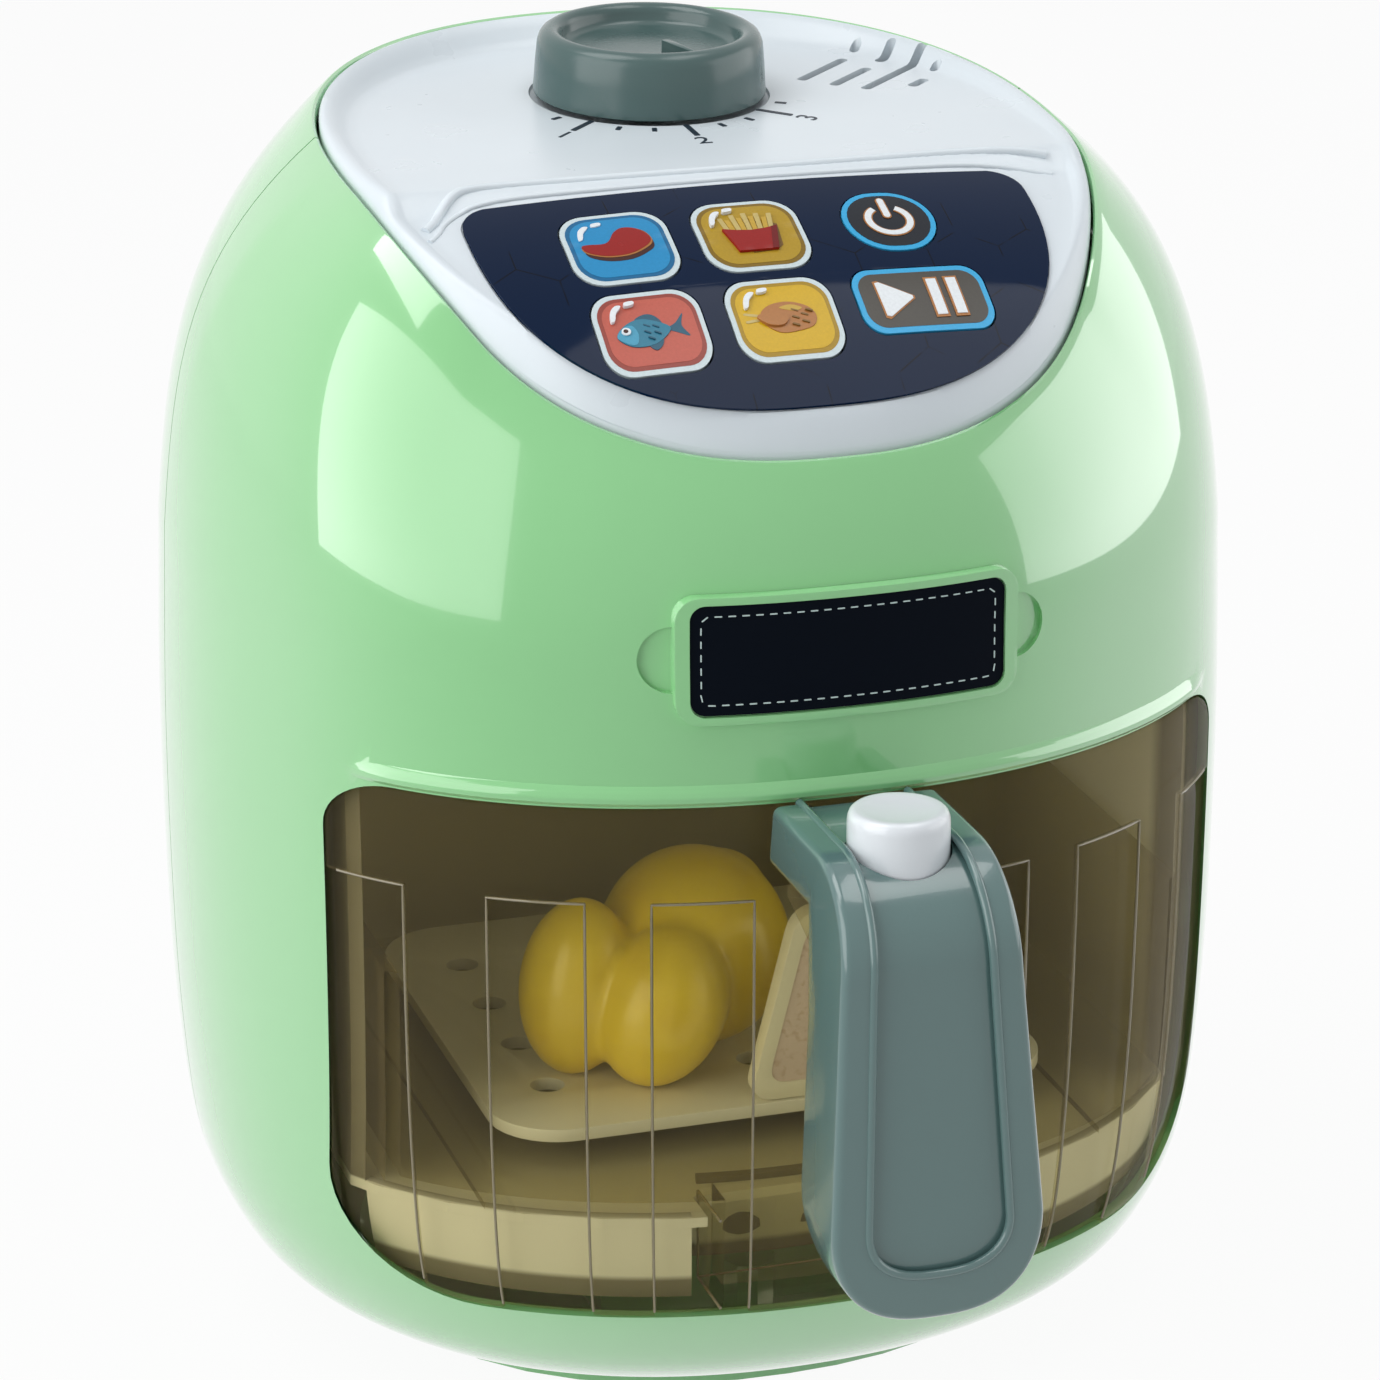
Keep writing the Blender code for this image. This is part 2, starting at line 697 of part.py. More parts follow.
def skin_plug(name, bottom, top, lift, step=SKIN_STEP):
    """Return a solid of the housing's outline between two heights, moved by a lift."""
    angles = [math.tau * k / ROUND_SEGMENTS for k in range(ROUND_SEGMENTS)]
    bm = bmesh.new()
    grid = grid_surface(bm, [[skin_point(angle, level, lift) for angle in angles]
                             for level in skin_levels(bottom, top, step)], around=True)
    bm.faces.new(grid[0])
    bm.faces.new(grid[-1])
    return place(finish_mesh(bm, name), name)


def window_outline(gap, bottom=WINDOW_BOTTOM, top=WINDOW_TOP):
    """Return the drawer window's outline, drawn in by a gap."""
    return rounded_outline(-WINDOW_HALF_WIDTH + gap, WINDOW_HALF_WIDTH - gap, bottom + gap, top - gap,
                           (WINDOW_BOTTOM_CORNER - gap, WINDOW_TOP_CORNER - gap,
                            WINDOW_TOP_CORNER - gap, WINDOW_BOTTOM_CORNER - gap), steps=5)


def screw(name, start, direction, length, material, parent=None, head=SCREW_HEAD_HEIGHT):
    """Return a pan-head screw: its head stands back from the start and its shank runs on."""
    along = Vector(direction).normalized()
    profile = [(0, length), (SCREW_RADIUS, length - SCREW_RADIUS), (SCREW_RADIUS, 0), (SCREW_HEAD_RADIUS, 0),
               (SCREW_HEAD_RADIUS * 0.8, -head), (0, -head)]
    thing = turned(name, profile, material, parent, segments=SCREW_SEGMENTS)
    thing.matrix_local = axis_frame(start, along)
    return thing


def make_housing(green, steel):
    """Make the front and rear shells, and the screws that join them."""
    angles = [math.tau * k / ROUND_SEGMENTS for k in range(ROUND_SEGMENTS)]
    low_levels = [up * SHOULDER_HEIGHT for share, up in body_profile_shares[:-1]]
    rows = [[skin_point(angle, level) for angle in angles] for level in low_levels]
    rows += [[shoulder_point(angle, k / SHOULDER_STEPS) for angle in angles]
             for k in range(SHOULDER_STEPS + 1)]
    rows.append([rim_point(angle, LIP_INNER_SHARE, -REST_GAP) for angle in angles])
    bore = flat_shape("panel_opening",
                      [[tuple(rim_point(angle, LIP_SHARE).xy) for angle in angles]],
                      SHOULDER_HEIGHT, SHOULDER_HEIGHT + BODY_HALF_WIDTH)
    window = flat_shape("window_opening", [window_outline(0)], -BODY_HALF_WIDTH * 1.5, 0, toward="Y")
    shells = []
    reach = BODY_HALF_WIDTH * 3
    for name, low, high in (("front_shell", -reach, SPLIT_PLACE - REST_GAP / 2),
                            ("rear_shell", SPLIT_PLACE + REST_GAP / 2, reach)):
        bm = bmesh.new()
        grid_surface(bm, rows, around=True)
        shell = place(finish_mesh(bm, name), name, green)
        skin = shell.modifiers.new("wall", "SOLIDIFY")
        skin.thickness = WALL
        skin.offset = -1
        skin.use_even_offset = True
        cut(shell, bore)
        half = block(name + "_half", (-reach, low, -reach), (reach, high, reach))
        shells.append((shell, half))
    front, front_half = shells[0]
    rear, rear_half = shells[1]
    places = [(side * spread, height) for side in (-1, 1)
              for spread, height in ((BODY_SCREW_LOW_SPREAD, BODY_SCREW_LOW),
                                     (BODY_SCREW_HIGH_SPREAD, BODY_SCREW_HIGH))]
    boss_reach = BODY_SCREW_LENGTH + BOSS_FLOOR * 2
    solid = skin_plug("inside_plug", BODY_EDGE_HEIGHT, SHOULDER_HEIGHT + WALL * 3, -WALL * 0.5)
    for shell, sign in ((front, -1), (rear, 1)):
        bosses = [round_bar(f"{shell.name}_boss_{k}", (x, SPLIT_PLACE, z), (0, sign, 0), BOSS_RADIUS,
                            boss_reach if sign < 0 else BODY_HALF_DEPTH)
                  for k, (x, z) in enumerate(places)]
        for k, (x, z) in enumerate(places):
            side = math.copysign(1, x)
            reach_y = SPLIT_PLACE + sign * boss_reach
            corners = sorted((x, side * BODY_HALF_WIDTH)), sorted((SPLIT_PLACE, reach_y))
            rib = block(f"{shell.name}_rib_{k}", (corners[0][0], corners[1][0], z - RIB_THICKNESS / 2),
                        (corners[0][1], corners[1][1], z + RIB_THICKNESS / 2))
            fuse(bosses[k], rib)
            keep_inside(bosses[k], solid)
        fuse(shell, *bosses)
        add_inner_posts(shell, sign, solid)
    keep_inside(front, front_half)
    keep_inside(rear, rear_half)
    head_seat = SPLIT_PLACE + REST_GAP + BOSS_FLOOR
    for k, (x, z) in enumerate(places):
        well = round_bar(f"well_{k}", (x, head_seat, z), (0, 1, 0), SCREW_HEAD_RADIUS + REST_GAP * 2, reach)
        shank = round_bar(f"shank_hole_{k}", (x, -boss_reach, z), (0, 1, 0), SCREW_RADIUS + REST_GAP,
                          boss_reach + SPLIT_PLACE + head_seat)
        cut(rear, well, shank)
        cut(front, shank)
        screw(f"body_screw_{k + 1}", (x, head_seat + REST_GAP, z), (0, -1, 0), BODY_SCREW_LENGTH, steel)
    cut(front, window)
    visor = skin_block("visor", VISOR_HALF_DEG, WINDOW_TOP + REST_GAP, WINDOW_TOP + VISOR_HEIGHT,
                       -WALL * 0.5, VISOR_PROUD)
    fuse(front, visor)
    make_plate_seat(front)


def add_inner_posts(shell, sign, solid):
    """Add the boss for the base screw and the two posts that carry the chamber liner to one shell."""
    far = BODY_HALF_DEPTH * profile_share(BODY_EDGE_HEIGHT + BASE_BOSS_HEIGHT)
    reach = sorted((sign * BASE_SCREW_PLACE, sign * far))
    top = BODY_EDGE_HEIGHT + BASE_BOSS_HEIGHT
    post = round_bar(shell.name + "_base_boss", (0, sign * BASE_SCREW_PLACE, BODY_EDGE_HEIGHT), (0, 0, 1),
                     BOSS_RADIUS, BASE_BOSS_HEIGHT)
    rib = block(shell.name + "_base_rib", (-RIB_THICKNESS, reach[0], BODY_EDGE_HEIGHT + REST_GAP),
                (RIB_THICKNESS, reach[1], top - REST_GAP))
    fuse(post, rib)
    keep_inside(post, solid)
    fuse(shell, post)
    cut(shell, round_bar(shell.name + "_base_hole", (0, sign * BASE_SCREW_PLACE, 0), (0, 0, 1),
                         SCREW_RADIUS + REST_GAP, BASE_BOSS_HEIGHT))
    liner_bottom = TUB_FLOOR - RUNNER_HEIGHT - LINER_FLOOR_GAP - LINER_WALL
    place_y = LINER_POST_FRONT if sign < 0 else LINER_POST_BACK
    for side in (-1, 1):
        fuse(shell, round_bar(f"{shell.name}_liner_post_{side + 1}",
                              (side * BODY_SCREW_LOW_SPREAD, place_y, BODY_SCREW_LOW), (0, 0, 1),
                              LINER_POST_RADIUS, liner_bottom - REST_GAP - BODY_SCREW_LOW))


def make_plate_seat(front):
    """Raise the name plate's frame on the front shell, sink its seat and the two side discs."""
    low = PLATE_HEIGHT - PLATE_HALF_TALL
    high = PLATE_HEIGHT + PLATE_HALF_TALL
    half_deg = math.degrees(math.asin((PLATE_HALF_WIDTH + SIDE_DISC_RADIUS * 2) / BODY_HALF_DEPTH))
    edge = WALL
    frame = skin_block("plate_frame", half_deg, low - edge, high + edge, -WALL * 0.5, PLATE_PROUD,
                       step=FINE_STEP)
    outline = rounded_outline(-PLATE_HALF_WIDTH, PLATE_HALF_WIDTH, low, high, (PLATE_CORNER,) * 4, steps=3)
    keep_inside(frame, flat_shape("plate_prism", [outline], -BODY_HALF_WIDTH * 1.5, 0, toward="Y"))
    discs = []
    for side in (-1, 1):
        disc = skin_block(f"side_disc_{side + 1}", half_deg, low - edge, high + edge, -SIDE_DISC_DEPTH,
                          WALL * 2, step=FINE_STEP)
        ring = [circle_outline(side * PLATE_HALF_WIDTH, PLATE_HEIGHT, SIDE_DISC_RADIUS, FINE_SEGMENTS)]
        keep_inside(disc, flat_shape(f"disc_prism_{side + 1}", ring, -BODY_HALF_WIDTH * 1.5, 0, toward="Y"))
        discs.append(disc)
    cut(front, *discs)
    fuse(front, frame)
    seat = skin_block("plate_seat", half_deg, low - edge, high + edge, PLATE_PROUD - PLATE_RECESS,
                      WALL * 2, step=FINE_STEP)
    keep_inside(seat, flat_shape("seat_prism", [label_outline(REST_GAP)], -BODY_HALF_WIDTH * 1.5, 0,
                                 toward="Y"))
    cut(front, seat)


def label_outline(grow):
    """Return the name plate's outline, grown by a gap."""
    half = PLATE_HALF_WIDTH - PLATE_LIP + grow
    tall = PLATE_HALF_TALL - PLATE_LIP * 0.55 + grow
    return rounded_outline(-half, half, PLATE_HEIGHT - tall, PLATE_HEIGHT + tall, (LABEL_CORNER,) * 4,
                           steps=3)


def make_name_plate(navy):
    """Make the bare label that lies in the raised frame."""
    half_deg = math.degrees(math.asin(PLATE_HALF_WIDTH / BODY_HALF_DEPTH))
    bottom = PLATE_PROUD - PLATE_RECESS + REST_GAP
    label = skin_block("name_plate", half_deg, PLATE_HEIGHT - PLATE_HALF_TALL, PLATE_HEIGHT + PLATE_HALF_TALL,
                       bottom, bottom + LABEL_THICKNESS, navy, step=FINE_STEP)
    keep_inside(label, flat_shape("label_prism", [label_outline(0)], -BODY_HALF_WIDTH * 1.5, 0, toward="Y"))
    return label


def overlay_outline(grow=0.0):
    """Return the control overlay's half-moon outline in plan, grown by a gap."""
    half = OVERLAY_HALF_WIDTH + grow
    back = OVERLAY_BACK + grow
    front = OVERLAY_FRONT - grow
    points = []
    count = FINE_SEGMENTS
    for k in range(count + 1):
        angle = math.pi * (k / count - 0.5)
        across, along = superellipse(angle, half, OVERLAY_WAIST - front, OVERLAY_SQUARENESS)
        points.append((OVERLAY_MIDDLE + across, OVERLAY_WAIST + along))
    for side in (1, -1):
        for k in range(1, 5):
            angle = math.radians(90.0 * (k if side > 0 else 5 - k) / 5)
            points.append((OVERLAY_MIDDLE + side * (half - OVERLAY_CORNER * (1 - math.cos(angle))),
                           back - OVERLAY_CORNER * (1 - math.sin(angle))))
    return points


def key_outline(x, y, half_width, half_depth, corner_share, grow=0.0):
    """Return a key's rounded outline in plan."""
    half_width += grow
    half_depth += grow
    corner = min(half_width, half_depth) * corner_share
    return rounded_outline(x - half_width, x + half_width, y - half_depth, y + half_depth, (corner,) * 4,
                           steps=2)


def key_table():
    """Return each key's name, place, half-sizes and corner share."""
    left, middle, right = KEY_LEFT_COLUMN, KEY_MIDDLE_COLUMN, KEY_RIGHT_COLUMN
    food = (FOOD_KEY_HALF_WIDTH, FOOD_KEY_HALF_DEPTH, 0.6)
    return (("steak_key", left, KEY_BACK_ROW, *food),
            ("chips_key", middle, KEY_BACK_ROW, *food),
            ("fish_key", left, KEY_FRONT_ROW, food[0], food[1] * KEY_FRONT_SHARE, food[2]),
            ("poultry_key", middle, KEY_FRONT_ROW, food[0], food[1] * KEY_FRONT_SHARE, food[2]),
            ("power_key", right, KEY_BACK_ROW + POWER_KEY_SHIFT, POWER_KEY_HALF_WIDTH,
             POWER_KEY_HALF_DEPTH, 1.0),
            ("play_key", right, KEY_FRONT_ROW + PLAY_KEY_SHIFT, PLAY_KEY_HALF_WIDTH,
             PLAY_KEY_HALF_DEPTH, 0.6))


def make_top_panel(white, navy, key_colours):
    """Make the white panel, the overlay, the keys and what lies under them."""
    angles = [math.tau * k / PANEL_SEGMENTS for k in range(PANEL_SEGMENTS)]
    # each ring: share of the rim's width, part of the way to the inner height, share of the bead's height
    rim_ring_shares = (
        (0.0, 0.0, -0.3), (0.12, 0.2, 0.7), (0.35, 0.55, 1.0), (0.7, 0.92, 0.6), (1.0, 1.0, 0.0))
    inner_ring_shares = (0.86, 0.68, 0.46, 0.22)
    bm = bmesh.new()
    rows = [[] for ring in rim_ring_shares + inner_ring_shares]
    draw_in = LIP_SHARE * (1 - SEAM / RIM_HALF_WIDTH)
    for angle in angles:
        edge = rim_point(angle, draw_in)
        frontness = max(math.cos(angle), 0)
        width = RIM_BACK_SHARE + (RIM_FRONT_SHARE - RIM_BACK_SHARE) * frontness
        for row, (out, inner, bead) in zip(rows, rim_ring_shares):
            spot = rim_point(angle, draw_in * (1 - width * out))
            spot.z = edge.z * (1 - inner) + panel_height(spot.x, spot.y) * inner + BEAD_HEIGHT * bead
            row.append(spot)
        for row, share in zip(rows[len(rim_ring_shares):], inner_ring_shares):
            spot = rim_point(angle, draw_in * share)
            spot.z = panel_height(spot.x, spot.y)
            row.append(spot)
    grid = grid_surface(bm, rows, around=True)
    middle = bm.verts.new((0, RIM_MIDDLE, panel_height(0, RIM_MIDDLE)))
    last = grid[-1]
    for k in range(len(last)):
        bm.faces.new((last[k], last[(k + 1) % len(last)], middle))
    panel = place(finish_mesh(bm, "top_panel"), "top_panel", white)
    skin = panel.modifiers.new("wall", "SOLIDIFY")
    skin.thickness = PANEL_THICKNESS
    skin.offset = -1
    skin.use_even_offset = True
    seat = control_patch("overlay_seat", overlay_outline(REST_GAP), -REST_GAP, BEAD_HEIGHT * 4)
    cut(panel, seat)
    overlay = control_patch("control_overlay", overlay_outline(), 0, OVERLAY_THICKNESS, navy)
    for k, (name, x, y, half_width, half_depth, corner) in enumerate(key_table()):
        hole = control_patch(name + "_hole", key_outline(x, y, half_width, half_depth, corner, KEY_GAP),
                             -PANEL_THICKNESS * 2, BEAD_HEIGHT * 4, rings=(1.0,))
        cut(panel, hole)
        cut(overlay, hole)
        under = -PANEL_THICKNESS - REST_GAP * 2
        key = control_patch(name, key_outline(x, y, half_width, half_depth, corner),
                            under - KEY_FLANGE_THICKNESS * 0.5, OVERLAY_THICKNESS, key_colours[k],
                            rings=(1.0,))
        flange = control_patch(name + "_flange",
                               key_outline(x, y, half_width + KEY_FLANGE + KEY_GAP, half_depth * 0.6, 0.3),
                               under - KEY_FLANGE_THICKNESS, under, rings=(1.0,))
        fuse(key, flange)
        set_origin(key, control_point(x, y))
    return panel


def dial_frame():
    """Return the dial's frame: its origin on the platform and +Z along the knob's shaft."""
    tilt = math.radians(PLATFORM_SLOPE_DEG)
    return Matrix.Translation((0, DIAL_PLACE, PLATFORM_LEVEL)) @ Matrix.Rotation(tilt, 4, "X")


def board_frame():
    """Return the control board's frame: under the middle of the keys, with +Z out through them."""
    along = (KEY_BACK_ROW + KEY_FRONT_ROW) / 2
    spot = control_point(0, along)
    normal = (control_point(0, along, BOARD_HALF_DEPTH) - spot).normalized()
    turn = Matrix((Vector((1, 0, 0)), normal.cross(Vector((1, 0, 0))), normal)).transposed().to_4x4()
    return Matrix.Translation(spot) @ turn


def make_control_board(panel, rubber, board_green, steel):
    """Make the rubber key mat and the board that it lies on, with the two screws that hold the board."""
    frame = bpy.data.objects.new("board_axis", None)
    parts.objects.link(frame)
    frame.parent = root
    frame.matrix_local = board_frame()
    flange_low = -PANEL_THICKNESS - REST_GAP * 2 - KEY_FLANGE_THICKNESS
    mat_top = flange_low - KEY_TRAVEL - REST_GAP
    half_span = (KEY_RIGHT_COLUMN - KEY_LEFT_COLUMN) / 2
    outline = key_outline(KEY_LEFT_COLUMN + half_span, (KEY_BACK_ROW + KEY_FRONT_ROW) / 2,
                          half_span + PLAY_KEY_HALF_WIDTH * 0.8, BOARD_HALF_DEPTH * 0.8, 0.4)
    mat = control_patch("key_mat", outline, BOARD_LIFT * 1.5, mat_top, rubber)
    wide = BOARD_HALF_WIDTH
    deep = BOARD_HALF_DEPTH
    keep_inside(mat, block("mat_room", (-wide, -deep * 2, BOARD_LIFT + REST_GAP), (wide, deep * 2, WALL),
                           parent=frame))
    narrow = wide * BOARD_FRONT_SHARE
    outline = [(wide, deep), (-wide, deep), (-wide, 0), (-narrow, -deep), (narrow, -deep), (wide, 0)]
    board = flat_shape("control_board", [outline], BOARD_LIFT - BOARD_THICKNESS, BOARD_LIFT,
                       material=board_green, parent=frame)
    low = BOARD_LIFT - BOARD_THICKNESS
    for k, side in enumerate((-1, 1)):
        x = side * BOARD_BOSS_PLACE
        y = deep * 0.5
        fuse(panel, round_bar(f"board_boss_{k + 1}", (x, y, BOARD_LIFT + REST_GAP), (0, 0, 1),
                              BOARD_BOSS_RADIUS, -BOARD_LIFT - PANEL_THICKNESS, parent=frame,
                              segments=SMALL_SEGMENTS))
        hole = round_bar(f"board_screw_hole_{k + 1}", (x, y, low - OVERRUN), (0, 0, 1),
                         SCREW_RADIUS + REST_GAP, -low + OVERRUN - PANEL_THICKNESS * 1.4, parent=frame,
                         segments=SMALL_SEGMENTS)
        cut(board, hole)
        cut(panel, hole)
        screw(f"board_screw_{k + 1}", (x, y, low - REST_GAP), (0, 0, 1), -BOARD_LIFT - PANEL_THICKNESS * 1.5,
              steel, frame)


def make_speaker(panel, axis, dark):
    """Make the speaker under the platform and the slots above it."""
    run = math.radians(SLOT_TURN_DEG)
    along = Vector((math.cos(run), math.sin(run)))
    across = Vector((math.sin(run), -math.cos(run)))
    centre = Vector((SPEAKER_PLACE_X, SPEAKER_PLACE_Y - DIAL_PLACE))
    half = SLOT_WIDTH / 2
    for k, (place_share, start, stop) in enumerate(slot_shares):
        outline = []
        for first_deg, end in ((-90.0, stop), (90.0, start)):
            tip = centre + (across * place_share + along * end) * SPEAKER_RADIUS
            for step in range(3):
                angle = run + math.radians(first_deg + 90.0 * step)
                outline.append((tip.x + half * math.cos(angle), tip.y + half * math.sin(angle)))
        cut(panel, flat_shape(f"speaker_slot_{k + 1}", [outline], -PANEL_THICKNESS * 2, PANEL_THICKNESS,
                              parent=axis))
    top = -PANEL_THICKNESS - REST_GAP
    cone = SPEAKER_RADIUS * 0.84
    dip = SPEAKER_DEPTH * 0.3
    profile = [(0, top - dip), (cone * 0.35, top - dip), (cone, top - WALL * 0.3), (cone, top),
               (SPEAKER_RADIUS, top), (SPEAKER_RADIUS, top - WALL), (cone * 0.8, top - SPEAKER_DEPTH * 0.5),
               (cone * 0.7, top - SPEAKER_DEPTH), (0, top - SPEAKER_DEPTH)]
    speaker = turned("speaker", profile, dark, axis, segments=FINE_SEGMENTS)
    speaker.location = (centre.x, centre.y, 0)


def make_timer(panel, grey, steel, cream):
    """Make the dial knob, its shaft with the detent wheel, and the click spring."""
    axis = bpy.data.objects.new("timer_axis", None)
    parts.objects.link(axis)
    axis.parent = root
    axis.matrix_local = dial_frame()
    top = KNOB_LIFT + KNOB_HEIGHT
    inner = KNOB_TOP_RADIUS - KNOB_RIM
    floor = top - KNOB_DISH
    roof = floor - WALL
    profile = [(0, floor), (inner - KNOB_EDGE * 0.4, floor), (inner, floor + KNOB_EDGE * 0.3),
               (inner + KNOB_EDGE * 0.15, top - KNOB_EDGE * 0.3), (inner + KNOB_EDGE * 0.6, top),
               (KNOB_TOP_RADIUS - KNOB_EDGE * 0.7, top - KNOB_EDGE * 0.05),
               (KNOB_TOP_RADIUS - KNOB_EDGE * 0.2, top - KNOB_EDGE * 0.45),
               (KNOB_TOP_RADIUS, top - KNOB_EDGE), (KNOB_RADIUS, KNOB_LIFT + KNOB_EDGE * 0.2),
               (KNOB_RADIUS - KNOB_EDGE * 0.2, KNOB_LIFT), (KNOB_RADIUS - WALL, KNOB_LIFT),
               (KNOB_RADIUS - WALL, roof), (SHAFT_RADIUS * 2, roof), (SHAFT_RADIUS * 2, KNOB_LIFT),
               (SHAFT_RADIUS + REST_GAP, KNOB_LIFT), (SHAFT_RADIUS + REST_GAP, roof), (0, roof)]
    knob = turned("timer_knob", profile, grey, axis, segments=KNOB_SEGMENTS)
    half = POINTER_WIDTH / 2
    wedge = [(inner * 0.32, half), (inner * 0.32, -half), (inner * 0.96, -half * 0.25),
             (inner * 0.96, half * 0.25)]
    pointer = flat_shape("pointer", [wedge], floor - WALL * 0.5, top - KNOB_EDGE * 0.4, parent=axis)
    pointer.rotation_euler = (0, 0, math.radians(POINTER_DEG - 90.0))
    fuse(knob, pointer)
    hole = round_bar("shaft_hole", (0, 0, -PANEL_THICKNESS * 3), (0, 0, 1), SHAFT_RADIUS + REST_GAP,
                     PANEL_THICKNESS * 5, parent=axis)
    cut(panel, hole)
    wheel_top = -PANEL_THICKNESS - REST_GAP * 2
    wheel_low = wheel_top - DETENT_THICKNESS
    shaft = round_bar("timer_shaft", (0, 0, wheel_low), (0, 0, 1), SHAFT_RADIUS, roof - REST_GAP - wheel_low,
                      steel, axis)
    teeth = []
    for k in range(DETENT_TEETH * 2):
        angle = math.tau * k / (DETENT_TEETH * 2)
        reach = DETENT_RADIUS - (DETENT_DEPTH if k % 2 else 0)
        teeth.append((reach * math.cos(angle), reach * math.sin(angle)))
    wheel = flat_shape("detent_wheel", [teeth], wheel_low, wheel_top, parent=axis)
    fuse(shaft, wheel)
    make_click_spring(axis, wheel_top, cream)
    return axis


def make_click_spring(axis, wheel_top, spring_steel):
    """Make the leaf whose nose rests in a notch of the detent wheel, held on a post of the panel."""
    nose = DETENT_RADIUS + REST_GAP
    height = wheel_top - DETENT_THICKNESS * 0.5
    half = DETENT_SPRING_WIDTH / 2
    back = nose + DETENT_DEPTH
    thick = DETENT_SPRING_THICKNESS
    span = DETENT_RADIUS
    outline = [(nose, 0), (back, -thick * 1.6), (back, -span), (back + thick, -span),
               (back + thick, -thick * 2), (nose + thick * 2.6, 0), (back + thick, thick * 2),
               (back + thick, span), (back, span), (back, thick * 1.6)]
    spring = flat_shape("click_spring", [outline], height - half, height + half, material=spring_steel,
                        parent=axis)
    spring.rotation_euler = (0, 0, math.radians(HALF_TURN_DEG + DETENT_OFFSET_DEG))


def make_drawer(smoke, steel):
    """Make the see-through drawer: curved front, tub, runners, pocket and the handle's gusset."""
    pan = skin_block("drawer_pan", FRONT_SPREAD_DEG, WINDOW_BOTTOM - OVERRUN, WINDOW_TOP + OVERRUN, -WALL, 0,
                     smoke)
    for k, (start, stop) in enumerate(PANEL_DEG_SHARES):
        middle = (start + stop) / 2 * PANEL_SPREAD_DEG
        half = (stop - start) / 2 * PANEL_SPREAD_DEG
        dent = skin_block(f"panel_recess_{k + 1}", half, WINDOW_BOTTOM - OVERRUN, PANEL_TOP, -PANEL_RECESS,
                          WALL, middle_deg=middle)
        cut(pan, dent)
    keep_inside(pan, flat_shape("window_fill", [window_outline(WINDOW_GAP)], -BODY_HALF_WIDTH * 1.5, 0,
                                toward="Y"))
    front_reach = -BODY_HALF_DEPTH - OVERRUN
    outer = rounded_outline(-TUB_HALF_WIDTH, TUB_HALF_WIDTH, front_reach, TUB_BACK,
                            (SAMPLE_STEP, TUB_CORNER, TUB_CORNER, SAMPLE_STEP))
    inner = rounded_outline(-TUB_HALF_WIDTH + TUB_WALL, TUB_HALF_WIDTH - TUB_WALL, front_reach - OVERRUN,
                            TUB_BACK - TUB_WALL, (SAMPLE_STEP, TUB_CORNER - TUB_WALL, TUB_CORNER - TUB_WALL,
                                                  SAMPLE_STEP))
    tub = flat_shape("tub", [outer], TUB_FLOOR, TUB_TOP)
    cut(tub, flat_shape("tub_space", [inner], TUB_FLOOR + TUB_WALL, TUB_TOP + OVERRUN))
    for side in (-1, 1):
        left = side * RUNNER_SPREAD - RUNNER_WIDTH / 2
        fuse(tub, block(f"runner_{side + 1}", (left, front_reach, TUB_FLOOR - RUNNER_HEIGHT),
                        (left + RUNNER_WIDTH, TUB_BACK - TUB_CORNER, TUB_FLOOR + TUB_WALL * 0.5)))
    pocket_back = -BODY_HALF_DEPTH + WALL + POCKET_DEPTH
    pocket_half = POCKET_HALF_WIDTH - TUB_WALL
    pocket_space = block("pocket_space", (-pocket_half, front_reach - OVERRUN, POCKET_BOTTOM + TUB_WALL),
                         (pocket_half, pocket_back - TUB_WALL, TUB_FLOOR + TUB_WALL + OVERRUN))
    pocket = block("pocket", (-POCKET_HALF_WIDTH, front_reach, POCKET_BOTTOM),
                   (POCKET_HALF_WIDTH, pocket_back, TUB_FLOOR + TUB_WALL))
    fuse(tub, pocket)
    cut(tub, pocket_space)
    keep_inside(tub, skin_plug("drawer_plug", WINDOW_BOTTOM - OVERRUN, WINDOW_TOP + OVERRUN, -WALL * 0.75))
    fuse(pan, tub)
    gusset_front = -BODY_HALF_DEPTH - (HANDLE_FRONT - BODY_HALF_DEPTH - HANDLE_ARM_DEPTH) * 0.62
    gusset_top = HANDLE_NECK_BOTTOM - GUSSET_GAP
    side = [(-BODY_HALF_DEPTH + WALL * 0.6, gusset_top), (gusset_front, gusset_top),
            (gusset_front, gusset_top - GUSSET_FRONT_TALL),
            (-BODY_HALF_DEPTH + WALL * 0.6, gusset_top - GUSSET_BACK_TALL)]
    fuse(pan, flat_shape("gusset", [side], -GUSSET_HALF_WIDTH, GUSSET_HALF_WIDTH, toward="X"))
    for k, side in enumerate((-1, 1)):
        angle = math.asin(side * NECK_SCREW_SPREAD / BODY_HALF_DEPTH)
        seat = skin_point(angle, NECK_SCREW_HEIGHT, -WALL).y
        spot = (side * NECK_SCREW_SPREAD, seat + OVERRUN, NECK_SCREW_HEIGHT)
        cut(pan, round_bar(f"neck_screw_way_{k + 1}", spot, (0, -1, 0), SCREW_RADIUS + REST_GAP, OVERRUN * 3,
                           segments=SMALL_SEGMENTS))
        screw(f"neck_screw_{k + 1}", (spot[0], seat + REST_GAP * 2, spot[2]), (0, -1, 0), SHORT_SCREW_LENGTH,
              steel)
    return pan


